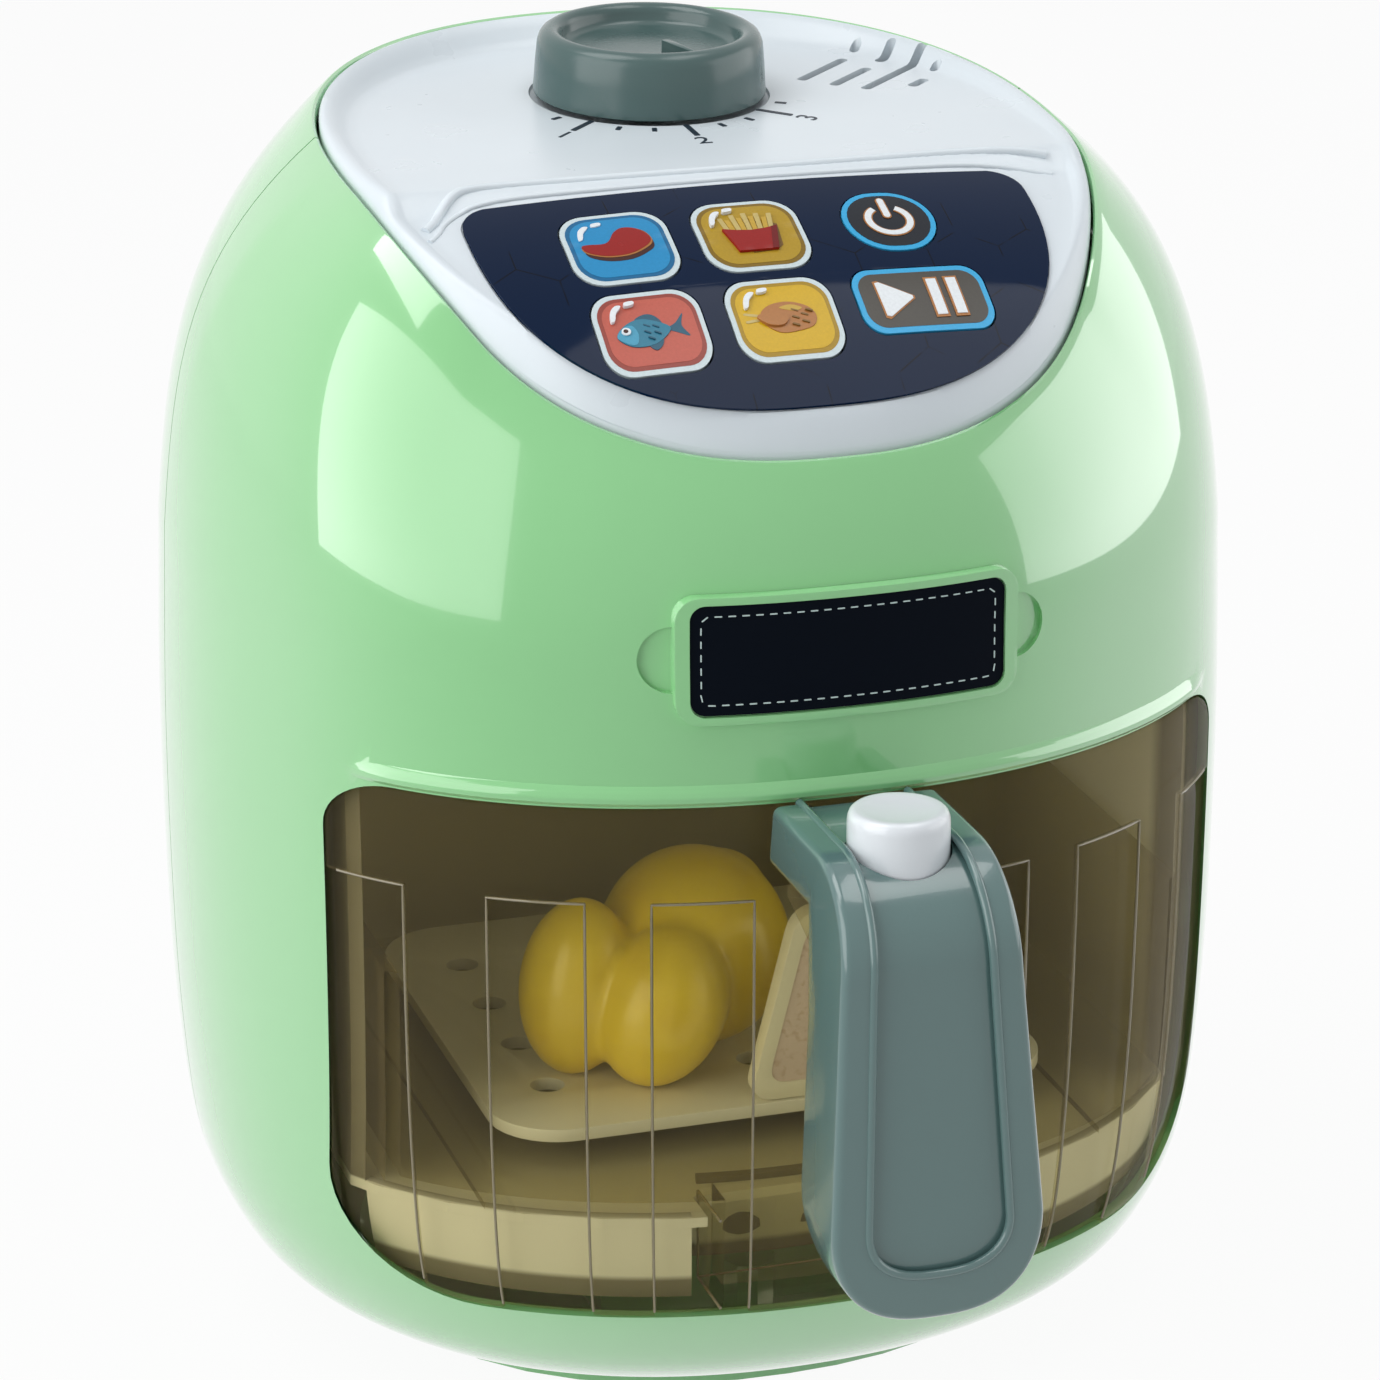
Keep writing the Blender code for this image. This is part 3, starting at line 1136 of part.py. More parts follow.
def make_rack(cream):
    """Make the perforated rack that stands on the tub's floor, and return the height of its top."""
    floor = TUB_FLOOR + TUB_WALL + REST_GAP
    low = floor + RACK_LEG_HEIGHT
    outlines = [rounded_outline(-RACK_HALF_WIDTH, RACK_HALF_WIDTH, RACK_FRONT, RACK_BACK, (RACK_CORNER,) * 4,
                                steps=4)]
    columns = int((RACK_HALF_WIDTH - RACK_HOLE_MARGIN) / RACK_HOLE_PITCH)
    rows = int((RACK_BACK - RACK_FRONT - RACK_HOLE_MARGIN * 2) / RACK_HOLE_PITCH)
    first = (RACK_FRONT + RACK_BACK - rows * RACK_HOLE_PITCH) / 2
    for column in range(-columns, columns + 1):
        for row in range(rows + 1):
            outlines.append(circle_outline(column * RACK_HOLE_PITCH, first + row * RACK_HOLE_PITCH,
                                           RACK_HOLE_RADIUS, segments=8))
    rack = flat_shape("rack", outlines, low, low + RACK_THICKNESS, material=cream)
    inward = RACK_CORNER * 0.7
    for k, (side, end) in enumerate(((-1, 0), (1, 0), (-1, 1), (1, 1))):
        y = RACK_BACK - inward if end else RACK_FRONT + inward
        fuse(rack, round_bar(f"rack_leg_{k + 1}", (side * (RACK_HALF_WIDTH - inward), y, floor), (0, 0, 1),
                             RACK_LEG_RADIUS, RACK_LEG_HEIGHT + RACK_THICKNESS * 0.5,
                             segments=SMALL_SEGMENTS))
    return low + RACK_THICKNESS


def lump(name, centre, half_sizes, material=None, lean_deg=(0, 0), segments=10, rings=7):
    """Return a rounded lump with the given half-sizes, leaning to the right and to the rear."""
    bm = bmesh.new()
    bmesh.ops.create_uvsphere(bm, u_segments=segments, v_segments=rings, radius=1)
    bmesh.ops.scale(bm, vec=half_sizes, verts=bm.verts)
    right, rear = (math.radians(degrees) for degrees in lean_deg)
    turn = Matrix.Rotation(rear, 3, "X") @ Matrix.Rotation(right, 3, "Y")
    bmesh.ops.rotate(bm, matrix=turn, verts=bm.verts)
    bmesh.ops.translate(bm, vec=centre, verts=bm.verts)
    return place(finish_mesh(bm, name), name, material)


def make_food(level, yellow, toast_colour):
    """Make the toy roast chicken and the slice of toast that stand on the rack."""
    floor = level + REST_GAP
    centre = Vector((CHICKEN_X, CHICKEN_Y, floor + CHICKEN_HALF_TALL * 0.97))
    unit = CHICKEN_HALF_WIDTH
    chicken = lump("toy_chicken", centre, (unit, CHICKEN_HALF_DEPTH, CHICKEN_HALF_TALL), yellow, segments=14,
                   rings=8)
    for k, (x, y, z, wide, deep, tall, right_deg, rear_deg) in enumerate(chicken_lumps):
        fuse(chicken, lump(f"chicken_lump_{k + 1}", centre + Vector((x, y, z)) * unit,
                           (wide * unit, deep * unit, tall * unit), lean_deg=(right_deg, rear_deg)))
    reach = unit * 3
    keep_inside(chicken, block("chicken_room", (CHICKEN_X - reach, CHICKEN_Y - reach, floor),
                               (CHICKEN_X + reach, CHICKEN_Y + reach, floor + reach)))
    outline = [(TOAST_X + TOAST_HALF_WIDTH, floor), (TOAST_X + TOAST_TOP_HALF_WIDTH, floor + TOAST_TALL),
               (TOAST_X - TOAST_TOP_HALF_WIDTH, floor + TOAST_TALL), (TOAST_X - TOAST_HALF_WIDTH, floor)]
    flat_shape("toy_toast", [outline], TOAST_Y, TOAST_Y + TOAST_THICKNESS, toward="Y", material=toast_colour)


def make_base(green, steel, cell_colour, contact_colour):
    """Make the base with its feet and battery box, the battery door, the cells and their contacts."""
    angles = [math.tau * k / ROUND_SEGMENTS for k in range(ROUND_SEGMENTS)]
    bottom = BASE_TOP - BASE_THICKNESS
    outline = [superellipse(angle, BASE_REACH, BASE_REACH_Y, BODY_SQUARENESS) for angle in angles]
    base = flat_shape("base_plate", [outline], bottom, BASE_TOP, material=green)
    half_x = (CELL_RADIUS * 2 + CELL_GAP) * CELL_COUNT / 2
    half_y = CELL_LENGTH / 2 + CONTACT_ROOM
    roof = BASE_TOP + CELL_RADIUS * 2 + CELL_GAP * 2
    ear_y = -half_y - BOX_WALL - DOOR_EAR_RADIUS * 0.6
    fuse(base, block("battery_box", (-half_x - BOX_WALL, -half_y - BOX_WALL, bottom + BASE_THICKNESS * 0.5),
                     (half_x + BOX_WALL, half_y + BOX_WALL, roof + BOX_WALL)),
         round_bar("door_boss", (0, ear_y, BASE_TOP - BASE_THICKNESS * 0.4), (0, 0, 1), DOOR_EAR_RADIUS,
                   BASE_BOSS_HEIGHT))
    for side in (-1, 1):
        for end in (-1, 1):
            spot = (side * FOOT_PLACE_X, end * FOOT_PLACE_Y, 0)
            fuse(base, round_bar(f"foot_{side + 1}_{end + 1}", spot, (0, 0, 1), FOOT_RADIUS,
                                 BASE_TOP - BASE_THICKNESS * 0.4, segments=FOOT_SEGMENTS))
    ear_ring = circle_outline(0, ear_y, DOOR_EAR_RADIUS + DOOR_GAP, FOOT_SEGMENTS)
    bridge = DOOR_EAR_RADIUS * 0.7
    cut(base, block("battery_space", (-half_x, -half_y, 0), (half_x, half_y, roof)),
        flat_shape("ear_seat", [ear_ring], 0, BASE_TOP + REST_GAP),
        block("ear_way", (-bridge - DOOR_GAP, ear_y, 0), (bridge + DOOR_GAP, -half_y + REST_GAP,
                                                         BASE_TOP + REST_GAP)),
        block("tongue_slot", (-DOOR_TONGUE - DOOR_GAP, half_y - OVERRUN, BASE_TOP),
              (DOOR_TONGUE + DOOR_GAP, half_y + BOX_WALL + OVERRUN, BASE_TOP + BASE_THICKNESS)),
        round_bar("door_screw_hole", (0, ear_y, 0), (0, 0, 1), SCREW_RADIUS + REST_GAP, BASE_BOSS_HEIGHT))
    tongue_top = BASE_TOP + BASE_THICKNESS - DOOR_GAP
    door = block("battery_door", (-half_x + DOOR_GAP, -half_y + DOOR_GAP, bottom),
                 (half_x - DOOR_GAP, half_y - DOOR_GAP, BASE_TOP), green)
    fuse(door, round_bar("door_ear", (0, ear_y, bottom), (0, 0, 1), DOOR_EAR_RADIUS, BASE_THICKNESS,
                         segments=FOOT_SEGMENTS),
         block("ear_bridge", (-bridge, ear_y, bottom), (bridge, -half_y + DOOR_GAP * 2, BASE_TOP)),
         block("door_tongue", (-DOOR_TONGUE, half_y - DOOR_GAP * 4, bottom + BASE_THICKNESS * 0.5),
               (DOOR_TONGUE, half_y - DOOR_GAP, tongue_top)),
         block("door_hook", (-DOOR_TONGUE, half_y - DOOR_GAP * 2, BASE_TOP + REST_GAP),
               (DOOR_TONGUE, half_y + BOX_WALL, tongue_top)))
    sink = BASE_THICKNESS * 0.55
    places = [("door_screw", ear_y, door)]
    places += [(f"base_screw_{k + 1}", sign * BASE_SCREW_PLACE, base) for k, sign in enumerate((-1, 1))]
    for name, y, holder in places:
        cut(holder, round_bar(name + "_sink", (0, y, 0), (0, 0, 1), SCREW_HEAD_RADIUS + REST_GAP,
                              bottom + sink),
            round_bar(name + "_way", (0, y, 0), (0, 0, 1), SCREW_RADIUS + REST_GAP, BASE_TOP * 2))
        screw(name, (0, y, bottom + sink - REST_GAP), (0, 0, 1), SHORT_SCREW_LENGTH, steel, head=sink * 0.6)
    make_cells(half_x, half_y, roof, cell_colour, contact_colour)


def make_cells(half_x, half_y, roof, cell_colour, contact_colour):
    """Make the three cells, laid to and fro, and the contact strips at their ends."""
    height = BASE_TOP + REST_GAP + CELL_RADIUS
    columns = [(k - (CELL_COUNT - 1) / 2) * (CELL_RADIUS * 2 + CELL_GAP) for k in range(CELL_COUNT)]
    for k, x in enumerate(columns):
        sign = -1 if k % 2 else 1
        cell = round_bar(f"battery_cell_{k + 1}", (x, -sign * CELL_LENGTH / 2, height), (0, sign, 0),
                         CELL_RADIUS, CELL_LENGTH - CELL_NUB_LENGTH, cell_colour, segments=FOOT_SEGMENTS)
        fuse(cell, round_bar(f"cell_nub_{k + 1}", (x, sign * (CELL_LENGTH / 2 - CELL_NUB_LENGTH * 2), height),
                             (0, sign, 0), CELL_NUB_RADIUS, CELL_NUB_LENGTH * 2, segments=SMALL_SEGMENTS))
    for name, sign in (("front_contact", -1), ("rear_contact", 1)):
        wall = sign * (half_y - REST_GAP)
        leaf = sorted((wall, wall - sign * CONTACT_THICKNESS))
        strip = block(name, (-half_x + BOX_WALL, leaf[0], BASE_TOP + BASE_THICKNESS + REST_GAP),
                      (half_x - BOX_WALL, leaf[1], roof - BOX_WALL), contact_colour)
        for k, x in enumerate(columns):
            fuse(strip, round_bar(f"{name}_cone_{k + 1}", (x, wall - sign * CONTACT_THICKNESS * 0.5, height),
                                  (0, -sign, 0), CELL_RADIUS * 0.6,
                                  CONTACT_ROOM - REST_GAP * 2 - CONTACT_THICKNESS * 0.5,
                                  end_radius=CELL_NUB_RADIUS * 0.6, segments=SMALL_SEGMENTS))


def make_liner(green, lens, board):
    """Make the chamber liner with its front apron, and the lamp in its ceiling."""
    half = TUB_HALF_WIDTH + LINER_SIDE_GAP + LINER_WALL
    back = TUB_BACK + LINER_SIDE_GAP + LINER_WALL
    corner = TUB_CORNER + LINER_SIDE_GAP + LINER_WALL
    floor_top = TUB_FLOOR - RUNNER_HEIGHT - LINER_FLOOR_GAP
    reach = -BODY_HALF_DEPTH - OVERRUN
    outer = rounded_outline(-half, half, reach, back, (SAMPLE_STEP, corner, corner, SAMPLE_STEP))
    inner = rounded_outline(-half + LINER_WALL, half - LINER_WALL, reach - OVERRUN, back - LINER_WALL,
                            (SAMPLE_STEP, corner - LINER_WALL, corner - LINER_WALL, SAMPLE_STEP))
    liner = flat_shape("chamber_liner", [outer], floor_top - LINER_WALL, LINER_CEILING + LINER_WALL,
                       material=green)
    cut(liner, flat_shape("chamber_space", [inner], floor_top, LINER_CEILING))
    keep_inside(liner, skin_plug("liner_plug", APRON_BOTTOM, LINER_CEILING + OVERRUN * 2, -WALL - SEAM * 2))
    notch_back = -BODY_HALF_DEPTH + WALL + POCKET_DEPTH + SEAM
    cut(liner, block("liner_pocket_way", (-POCKET_HALF_WIDTH - SEAM, reach, APRON_BOTTOM),
                     (POCKET_HALF_WIDTH + SEAM, notch_back, floor_top + OVERRUN)))
    apron = skin_block("apron", APRON_SPREAD_DEG, APRON_BOTTOM, floor_top - LINER_WALL * 0.5,
                       -APRON_INSET - LINER_WALL, -APRON_INSET)
    keep_inside(apron, block("apron_room", (-half, reach, APRON_BOTTOM), (half, 0, floor_top - REST_GAP)))
    fuse(liner, apron)
    lamp_spot = (0, LAMP_PLACE, LINER_CEILING - OVERRUN)
    cut(liner, round_bar("lamp_hole", lamp_spot, (0, 0, 1), LAMP_RADIUS + REST_GAP, OVERRUN * 3,
                         segments=FINE_SEGMENTS))
    low = LINER_CEILING - LAMP_HEIGHT * 0.5
    high = LINER_CEILING + LINER_WALL + REST_GAP
    profile = [(0, high + LINER_WALL), (LAMP_RADIUS * 1.25, high + LINER_WALL), (LAMP_RADIUS * 1.25, high),
               (LAMP_RADIUS, high), (LAMP_RADIUS, LINER_CEILING),
               (LAMP_RADIUS * 0.8, low + LAMP_HEIGHT * 0.15), (LAMP_RADIUS * 0.4, low), (0, low)]
    lamp = turned("lamp_lens", profile, lens, segments=FINE_SEGMENTS)
    lamp.location = (0, LAMP_PLACE, 0)
    board_low = high + LINER_WALL + REST_GAP
    block("lamp_board", (-LAMP_BOARD_HALF, LAMP_PLACE - LAMP_BOARD_HALF, board_low),
          (LAMP_BOARD_HALF, LAMP_PLACE + LAMP_BOARD_HALF, board_low + BOARD_THICKNESS), board)
    return liner


def rear_of_arm(height):
    """Return the place of the handle arm's rear face at a height."""
    foot = (HANDLE_FRONT - BODY_HALF_DEPTH) * HANDLE_FOOT_SHARE
    knots = ((HANDLE_BOTTOM, foot), (HANDLE_LOW_PLACE, HANDLE_ARM_DEPTH),
             (HANDLE_NECK_BOTTOM - HANDLE_BEND, HANDLE_ARM_DEPTH + HANDLE_LEAN * 0.6),
             (HANDLE_NECK_BOTTOM, HANDLE_ARM_DEPTH + HANDLE_LEAN * 1.4))
    for (low, first), (high, second) in zip(knots, knots[1:]):
        if height <= high:
            return -HANDLE_FRONT + first + (second - first) * (height - low) / (high - low)
    return -HANDLE_FRONT + knots[-1][1]


def front_of_arm(height):
    """Return the place of the handle arm's front face at a height."""
    rise = (height - HANDLE_LOW_PLACE) / (HANDLE_TOP - HANDLE_BEND - HANDLE_LOW_PLACE)
    return -HANDLE_FRONT + HANDLE_LEAN * min(max(rise, 0), 1)


def handle_side_outline(inset=0.0):
    """Return the handle's outline seen from the side, as pairs of Y and Z, drawn in by an inset."""
    front = -HANDLE_FRONT + inset
    top = HANDLE_TOP - inset
    lean = HANDLE_LEAN
    bend = HANDLE_BEND - inset
    points = [(-BODY_HALF_DEPTH - SEAM, top)]
    centre = (front + lean + bend, top - bend)
    for k in range(7):
        angle = math.radians(90.0 + 90.0 * k / 6)
        points.append((centre[0] + bend * math.cos(angle), centre[1] + bend * math.sin(angle)))
    points.append((front, HANDLE_LOW_PLACE))
    points.append((front, HANDLE_BOTTOM + inset))
    for height in (HANDLE_BOTTOM, HANDLE_LOW_PLACE, HANDLE_NECK_BOTTOM - HANDLE_BEND, HANDLE_NECK_BOTTOM):
        rise = inset if height in (HANDLE_BOTTOM, HANDLE_NECK_BOTTOM) else 0
        points.append((rear_of_arm(height) - inset, height + rise))
    points.append((-BODY_HALF_DEPTH - SEAM, HANDLE_NECK_BOTTOM + inset))
    return points


def handle_front_outline(inset=0.0):
    """Return the handle's outline seen from the front, as pairs of X and Z."""
    top_half = HANDLE_TOP_HALF_WIDTH - inset
    low_half = HANDLE_LOW_HALF_WIDTH - inset
    bottom = HANDLE_BOTTOM + inset
    points = [(top_half, HANDLE_TOP + OVERRUN), (low_half, HANDLE_LOW_PLACE)]
    right = []
    count = 7
    for k in range(count + 1):
        angle = math.radians(90.0 * k / count)
        right.append((low_half * math.cos(angle) ** 0.75,
                      HANDLE_LOW_PLACE - (HANDLE_LOW_PLACE - bottom) * math.sin(angle) ** 0.9))
    points += right[1:]
    points += [(-x, z) for x, z in reversed(right[:-1])]
    points.append((-top_half, HANDLE_TOP + OVERRUN))
    return points


def grip_outline():
    """Return the outline of the recess in the handle's face, as pairs of X and Z."""
    top = HANDLE_TOP + OVERRUN
    points = [(GRIP_TOP_HALF_WIDTH, top)]
    count = 6
    right = []
    for k in range(count + 1):
        angle = math.radians(90.0 * k / count)
        right.append((GRIP_LOW_HALF_WIDTH * math.cos(angle) ** 0.75,
                      HANDLE_LOW_PLACE - (HANDLE_LOW_PLACE - GRIP_BOTTOM) * math.sin(angle) ** 0.9))
    points += right
    points += [(-x, z) for x, z in reversed(right[:-1])]
    points.append((-GRIP_TOP_HALF_WIDTH, top))
    return points


def make_handle(grey, white, steel, spring_steel):
    """Make the hollow handle, its back cover, the sprung button and the screws."""
    width = HANDLE_LOW_HALF_WIDTH + OVERRUN
    reach = HANDLE_FRONT + OVERRUN
    handle = flat_shape("handle_shell", [handle_side_outline()], -width, width, toward="X", material=grey)
    keep_inside(handle, flat_shape("handle_face", [handle_front_outline()], -reach, 0, toward="Y"))
    soften = handle.modifiers.new("edges", "BEVEL")
    soften.width = HANDLE_EDGE
    soften.segments = 1
    soften.limit_method = "ANGLE"
    soften.angle_limit = math.radians(40.0)
    face_cut = flat_shape("grip_recess", [grip_outline()], -reach, -BODY_HALF_DEPTH, toward="Y")
    kept = flat_shape("grip_floor", [handle_side_outline(GRIP_RECESS)], -width, width, toward="X")
    cut(face_cut, kept)
    cut(handle, face_cut)
    space = flat_shape("handle_space", [handle_space_outline()], -width, width, toward="X")
    keep_inside(space, flat_shape("handle_space_face", [handle_front_outline(HANDLE_WALL + GRIP_RECESS)],
                                  -reach, 0, toward="Y"))
    cut(handle, space)
    button_spot = (0, BUTTON_PLACE, HANDLE_NECK_BOTTOM + HANDLE_WALL)
    cut(handle, round_bar("button_bore", button_spot, (0, 0, 1), BUTTON_RADIUS + REST_GAP, BUTTON_RADIUS * 2,
                          segments=FINE_SEGMENTS))
    for k, height in enumerate((COVER_SCREW_LOW, COVER_SCREW_HIGH)):
        front = front_of_arm(height) + GRIP_RECESS + HANDLE_WALL * 0.5
        seat = rear_of_arm(height) - BACK_COVER_THICKNESS - REST_GAP
        fuse(handle, round_bar(f"cover_boss_{k + 1}", (0, front, height), (0, 1, 0), BOARD_BOSS_RADIUS,
                               seat - front, segments=SMALL_SEGMENTS))
        cut(handle, round_bar(f"cover_screw_hole_{k + 1}", (0, front + WALL, height), (0, 1, 0),
                              SCREW_RADIUS + REST_GAP, HANDLE_ARM_DEPTH, segments=SMALL_SEGMENTS))
    for k, side in enumerate((-1, 1)):
        spot = (side * NECK_SCREW_SPREAD, -BODY_HALF_DEPTH, NECK_SCREW_HEIGHT)
        cut(handle, round_bar(f"neck_hole_{k + 1}", spot, (0, -1, 0), SCREW_RADIUS + REST_GAP,
                              SHORT_SCREW_LENGTH, segments=SMALL_SEGMENTS))
    make_back_cover(grey, steel)
    make_button(white, spring_steel)
    return handle


def make_back_cover(grey, steel):
    """Make the plate that closes the arm from behind and carries the button's spring, and its screws."""
    thick = BACK_COVER_THICKNESS
    low = HANDLE_BOTTOM + (HANDLE_WALL + GRIP_RECESS) * 2 + REST_GAP
    high = HANDLE_NECK_BOTTOM - HANDLE_WALL - SEAM
    heights = (low, HANDLE_LOW_PLACE, HANDLE_NECK_BOTTOM - HANDLE_BEND, high)
    side = [(rear_of_arm(height), height) for height in heights]
    side += [(rear_of_arm(height) - thick, height) for height in reversed(heights)]
    half = HANDLE_LOW_HALF_WIDTH
    cover = flat_shape("handle_cover", [side], -half, half, toward="X", material=grey)
    inside = handle_front_outline(HANDLE_WALL + GRIP_RECESS + REST_GAP)
    keep_inside(cover, flat_shape("cover_face", [inside], -HANDLE_FRONT, 0, toward="Y"))
    fuse(cover, block("spring_shelf", (-SPRING_RADIUS * 2, STEM_PLACE - SPRING_RADIUS * 1.5,
                                       SPRING_SEAT - HANDLE_WALL),
                      (SPRING_RADIUS * 2, rear_of_arm(SPRING_SEAT) - thick * 0.5, SPRING_SEAT)))
    for k, height in enumerate((COVER_SCREW_LOW, COVER_SCREW_HIGH)):
        rear = rear_of_arm(height)
        sink = thick * 0.6
        cut(cover, round_bar(f"cover_hole_{k + 1}", (0, rear + OVERRUN, height), (0, -1, 0),
                             SCREW_RADIUS + REST_GAP, OVERRUN * 3, segments=SMALL_SEGMENTS),
            round_bar(f"cover_sink_{k + 1}", (0, rear - sink, height), (0, 1, 0),
                      SCREW_HEAD_RADIUS + REST_GAP, OVERRUN * 2, segments=SMALL_SEGMENTS))
        screw(f"handle_screw_{k + 1}", (0, rear - sink + REST_GAP, height), (0, -1, 0), SHORT_SCREW_LENGTH,
              steel, head=thick * 0.35)


def make_button(white, spring_steel):
    """Make the white push button with its stem and tabs, and the coil spring under it."""
    ceiling = HANDLE_TOP - HANDLE_WALL - GRIP_RECESS - REST_GAP * 2
    low = ceiling - BUTTON_TAB_THICKNESS
    profile = [(0, BUTTON_TOP), (BUTTON_RADIUS * 0.5, BUTTON_TOP - BUTTON_EDGE * 0.15),
               (BUTTON_RADIUS - BUTTON_EDGE, BUTTON_TOP - BUTTON_EDGE * 0.4),
               (BUTTON_RADIUS - BUTTON_EDGE * 0.3, BUTTON_TOP - BUTTON_EDGE * 0.75),
               (BUTTON_RADIUS, BUTTON_TOP - BUTTON_EDGE * 1.4), (BUTTON_RADIUS, low), (0, low)]
    button = turned("release_button", profile, white, segments=FINE_SEGMENTS)
    button.location = (0, BUTTON_PLACE, 0)
    fuse(button, block("button_tabs", (-BUTTON_TAB_REACH, BUTTON_PLACE - BUTTON_TAB_FRONT, low),
                       (BUTTON_TAB_REACH, BUTTON_PLACE + BUTTON_TAB_BACK, ceiling)),
         round_bar("button_stem", (0, STEM_PLACE, STEM_BOTTOM), (0, 0, 1), STEM_RADIUS,
                   low + BUTTON_EDGE - STEM_BOTTOM, segments=SMALL_SEGMENTS))
    curve = bpy.data.curves.new("button_spring", "CURVE")
    curve.dimensions = "3D"
    curve.bevel_depth = SPRING_WIRE
    curve.bevel_resolution = 0
    curve.use_fill_caps = True
    bottom = SPRING_SEAT + REST_GAP + SPRING_WIRE
    top = low - REST_GAP - SPRING_WIRE
    count = SPRING_TURNS * SPRING_STEPS
    spline = curve.splines.new("POLY")
    spline.points.add(count)
    for k, point in enumerate(spline.points):
        angle = math.tau * k / SPRING_STEPS
        point.co = (SPRING_RADIUS * math.cos(angle), STEM_PLACE + SPRING_RADIUS * math.sin(angle),
                    bottom + (top - bottom) * k / count, 1)
    spring = bpy.data.objects.new("button_spring", curve)
    spring.parent = root
    parts.objects.link(spring)
    curve.materials.append(spring_steel)


def handle_space_outline():
    """Return the side outline of the hollow inside the handle's arm."""
    inset = HANDLE_WALL + GRIP_RECESS
    front = -HANDLE_FRONT + inset
    back = -HANDLE_FRONT + HANDLE_ARM_DEPTH + OVERRUN * 3
    top = HANDLE_TOP - inset
    bend = HANDLE_BEND - inset
    lean = HANDLE_LEAN
    centre = (front + lean + bend, top - bend)
    points = [(button_back(), top)]
    for k in range(5):
        angle = math.radians(90.0 + 90.0 * k / 4)
        points.append((centre[0] + bend * math.cos(angle), centre[1] + bend * math.sin(angle)))
    way = STEM_PLACE + SPRING_RADIUS + SPRING_WIRE * 2
    points += [(front, HANDLE_LOW_PLACE), (front, HANDLE_BOTTOM + inset * 2),
               (back, HANDLE_BOTTOM + inset * 2), (back, HANDLE_NECK_BOTTOM - HANDLE_WALL),
               (way, HANDLE_NECK_BOTTOM - HANDLE_WALL), (way, HANDLE_NECK_BOTTOM + HANDLE_WALL),
               (button_back(), HANDLE_NECK_BOTTOM + HANDLE_WALL)]
    return points


def button_back():
    """Return the place of the button bore's rear side."""
    return BUTTON_PLACE + BUTTON_RADIUS + REST_GAP


def main():
    """Build every piece in its place."""
    global parts, cutters, root
    clear_scene()
    parts = make_collection("toy_air_fryer")
    cutters = make_collection("cutters")
    root = bpy.data.objects.new("toy_air_fryer_axis", None)
    parts.objects.link(root)
    root.location = (0, AXIS_OFFSET, 0)
    green = plastic("housing_green", (0.38, 0.78, 0.40))
    white = plastic("panel_white", (0.74, 0.80, 0.84))
    navy = plastic("overlay_navy", (0.003, 0.012, 0.050), 0.25)
    grey = plastic("handle_grey_green", (0.11, 0.22, 0.20))
    smoke = plastic("smoke_brown", (0.115, 0.09, 0.045), 0.08, alpha=0.55)
    steel = plastic("steel", (0.60, 0.60, 0.62), 0.3, 1.0)
    cream = plastic("cream", (0.85, 0.78, 0.60))
    board = plastic("board_green", (0.03, 0.16, 0.08), 0.5)
    lens = plastic("lamp_amber", (0.85, 0.35, 0.08), 0.15)
    blue = plastic("key_blue", (0.01, 0.26, 0.52))
    yellow = plastic("key_yellow", (0.70, 0.42, 0.03))
    coral = plastic("key_coral", (0.62, 0.10, 0.07))
    dark = plastic("speaker_black", (0.02, 0.02, 0.022), 0.6)
    rubber = plastic("rubber_grey", (0.12, 0.12, 0.13), 0.7)
    bird_yellow = plastic("chicken_yellow", (0.85, 0.50, 0.02))
    toast_colour = plastic("toast_cream", (0.80, 0.66, 0.48), 0.5)
    cell_colour = plastic("cell_black", (0.03, 0.03, 0.035), 0.4, 0.5)
    make_housing(green, steel)
    make_name_plate(navy)
    panel = make_top_panel(white, navy, (blue, yellow, coral, yellow, navy, navy))
    make_control_board(panel, rubber, board, steel)
    axis = make_timer(panel, grey, steel, cream)
    make_speaker(panel, axis, dark)
    make_drawer(smoke, steel)
    level = make_rack(cream)
    make_food(level, bird_yellow, toast_colour)
    make_liner(green, lens, board)
    make_handle(grey, white, steel, steel)
    make_base(green, steel, cell_colour, steel)


main()
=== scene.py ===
"""Play air fryer: the dressed model of a toy with a see-through drawer, a dial timer and picture keys.

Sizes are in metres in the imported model's frame: the front faces -Y, +Z is up and the floor is Z = 0.
Shapes are worked out about the housing's own upright axis and then moved to their place in the frame.
"""

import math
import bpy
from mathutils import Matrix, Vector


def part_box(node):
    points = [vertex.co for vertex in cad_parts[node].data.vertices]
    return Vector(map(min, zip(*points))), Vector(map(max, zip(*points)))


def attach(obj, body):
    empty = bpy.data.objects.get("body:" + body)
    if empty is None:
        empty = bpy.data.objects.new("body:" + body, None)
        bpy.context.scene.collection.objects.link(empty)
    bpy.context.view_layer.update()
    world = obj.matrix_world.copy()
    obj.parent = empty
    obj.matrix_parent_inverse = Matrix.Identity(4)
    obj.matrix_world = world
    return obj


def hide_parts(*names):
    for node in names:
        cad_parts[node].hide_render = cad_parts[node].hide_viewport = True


bl_info = {
    "name": "Play Air Fryer",
    "version": (1, 0, 0),
    "blender": (4, 5, 0),
    "location": "3D View > Sidebar > Toy",
    "description": "Dresses the packed solids of a play air fryer with its shells, drawer, keys and food",
    "category": "Add Mesh",
}

import bmesh
import bpy
from mathutils import Matrix, Vector

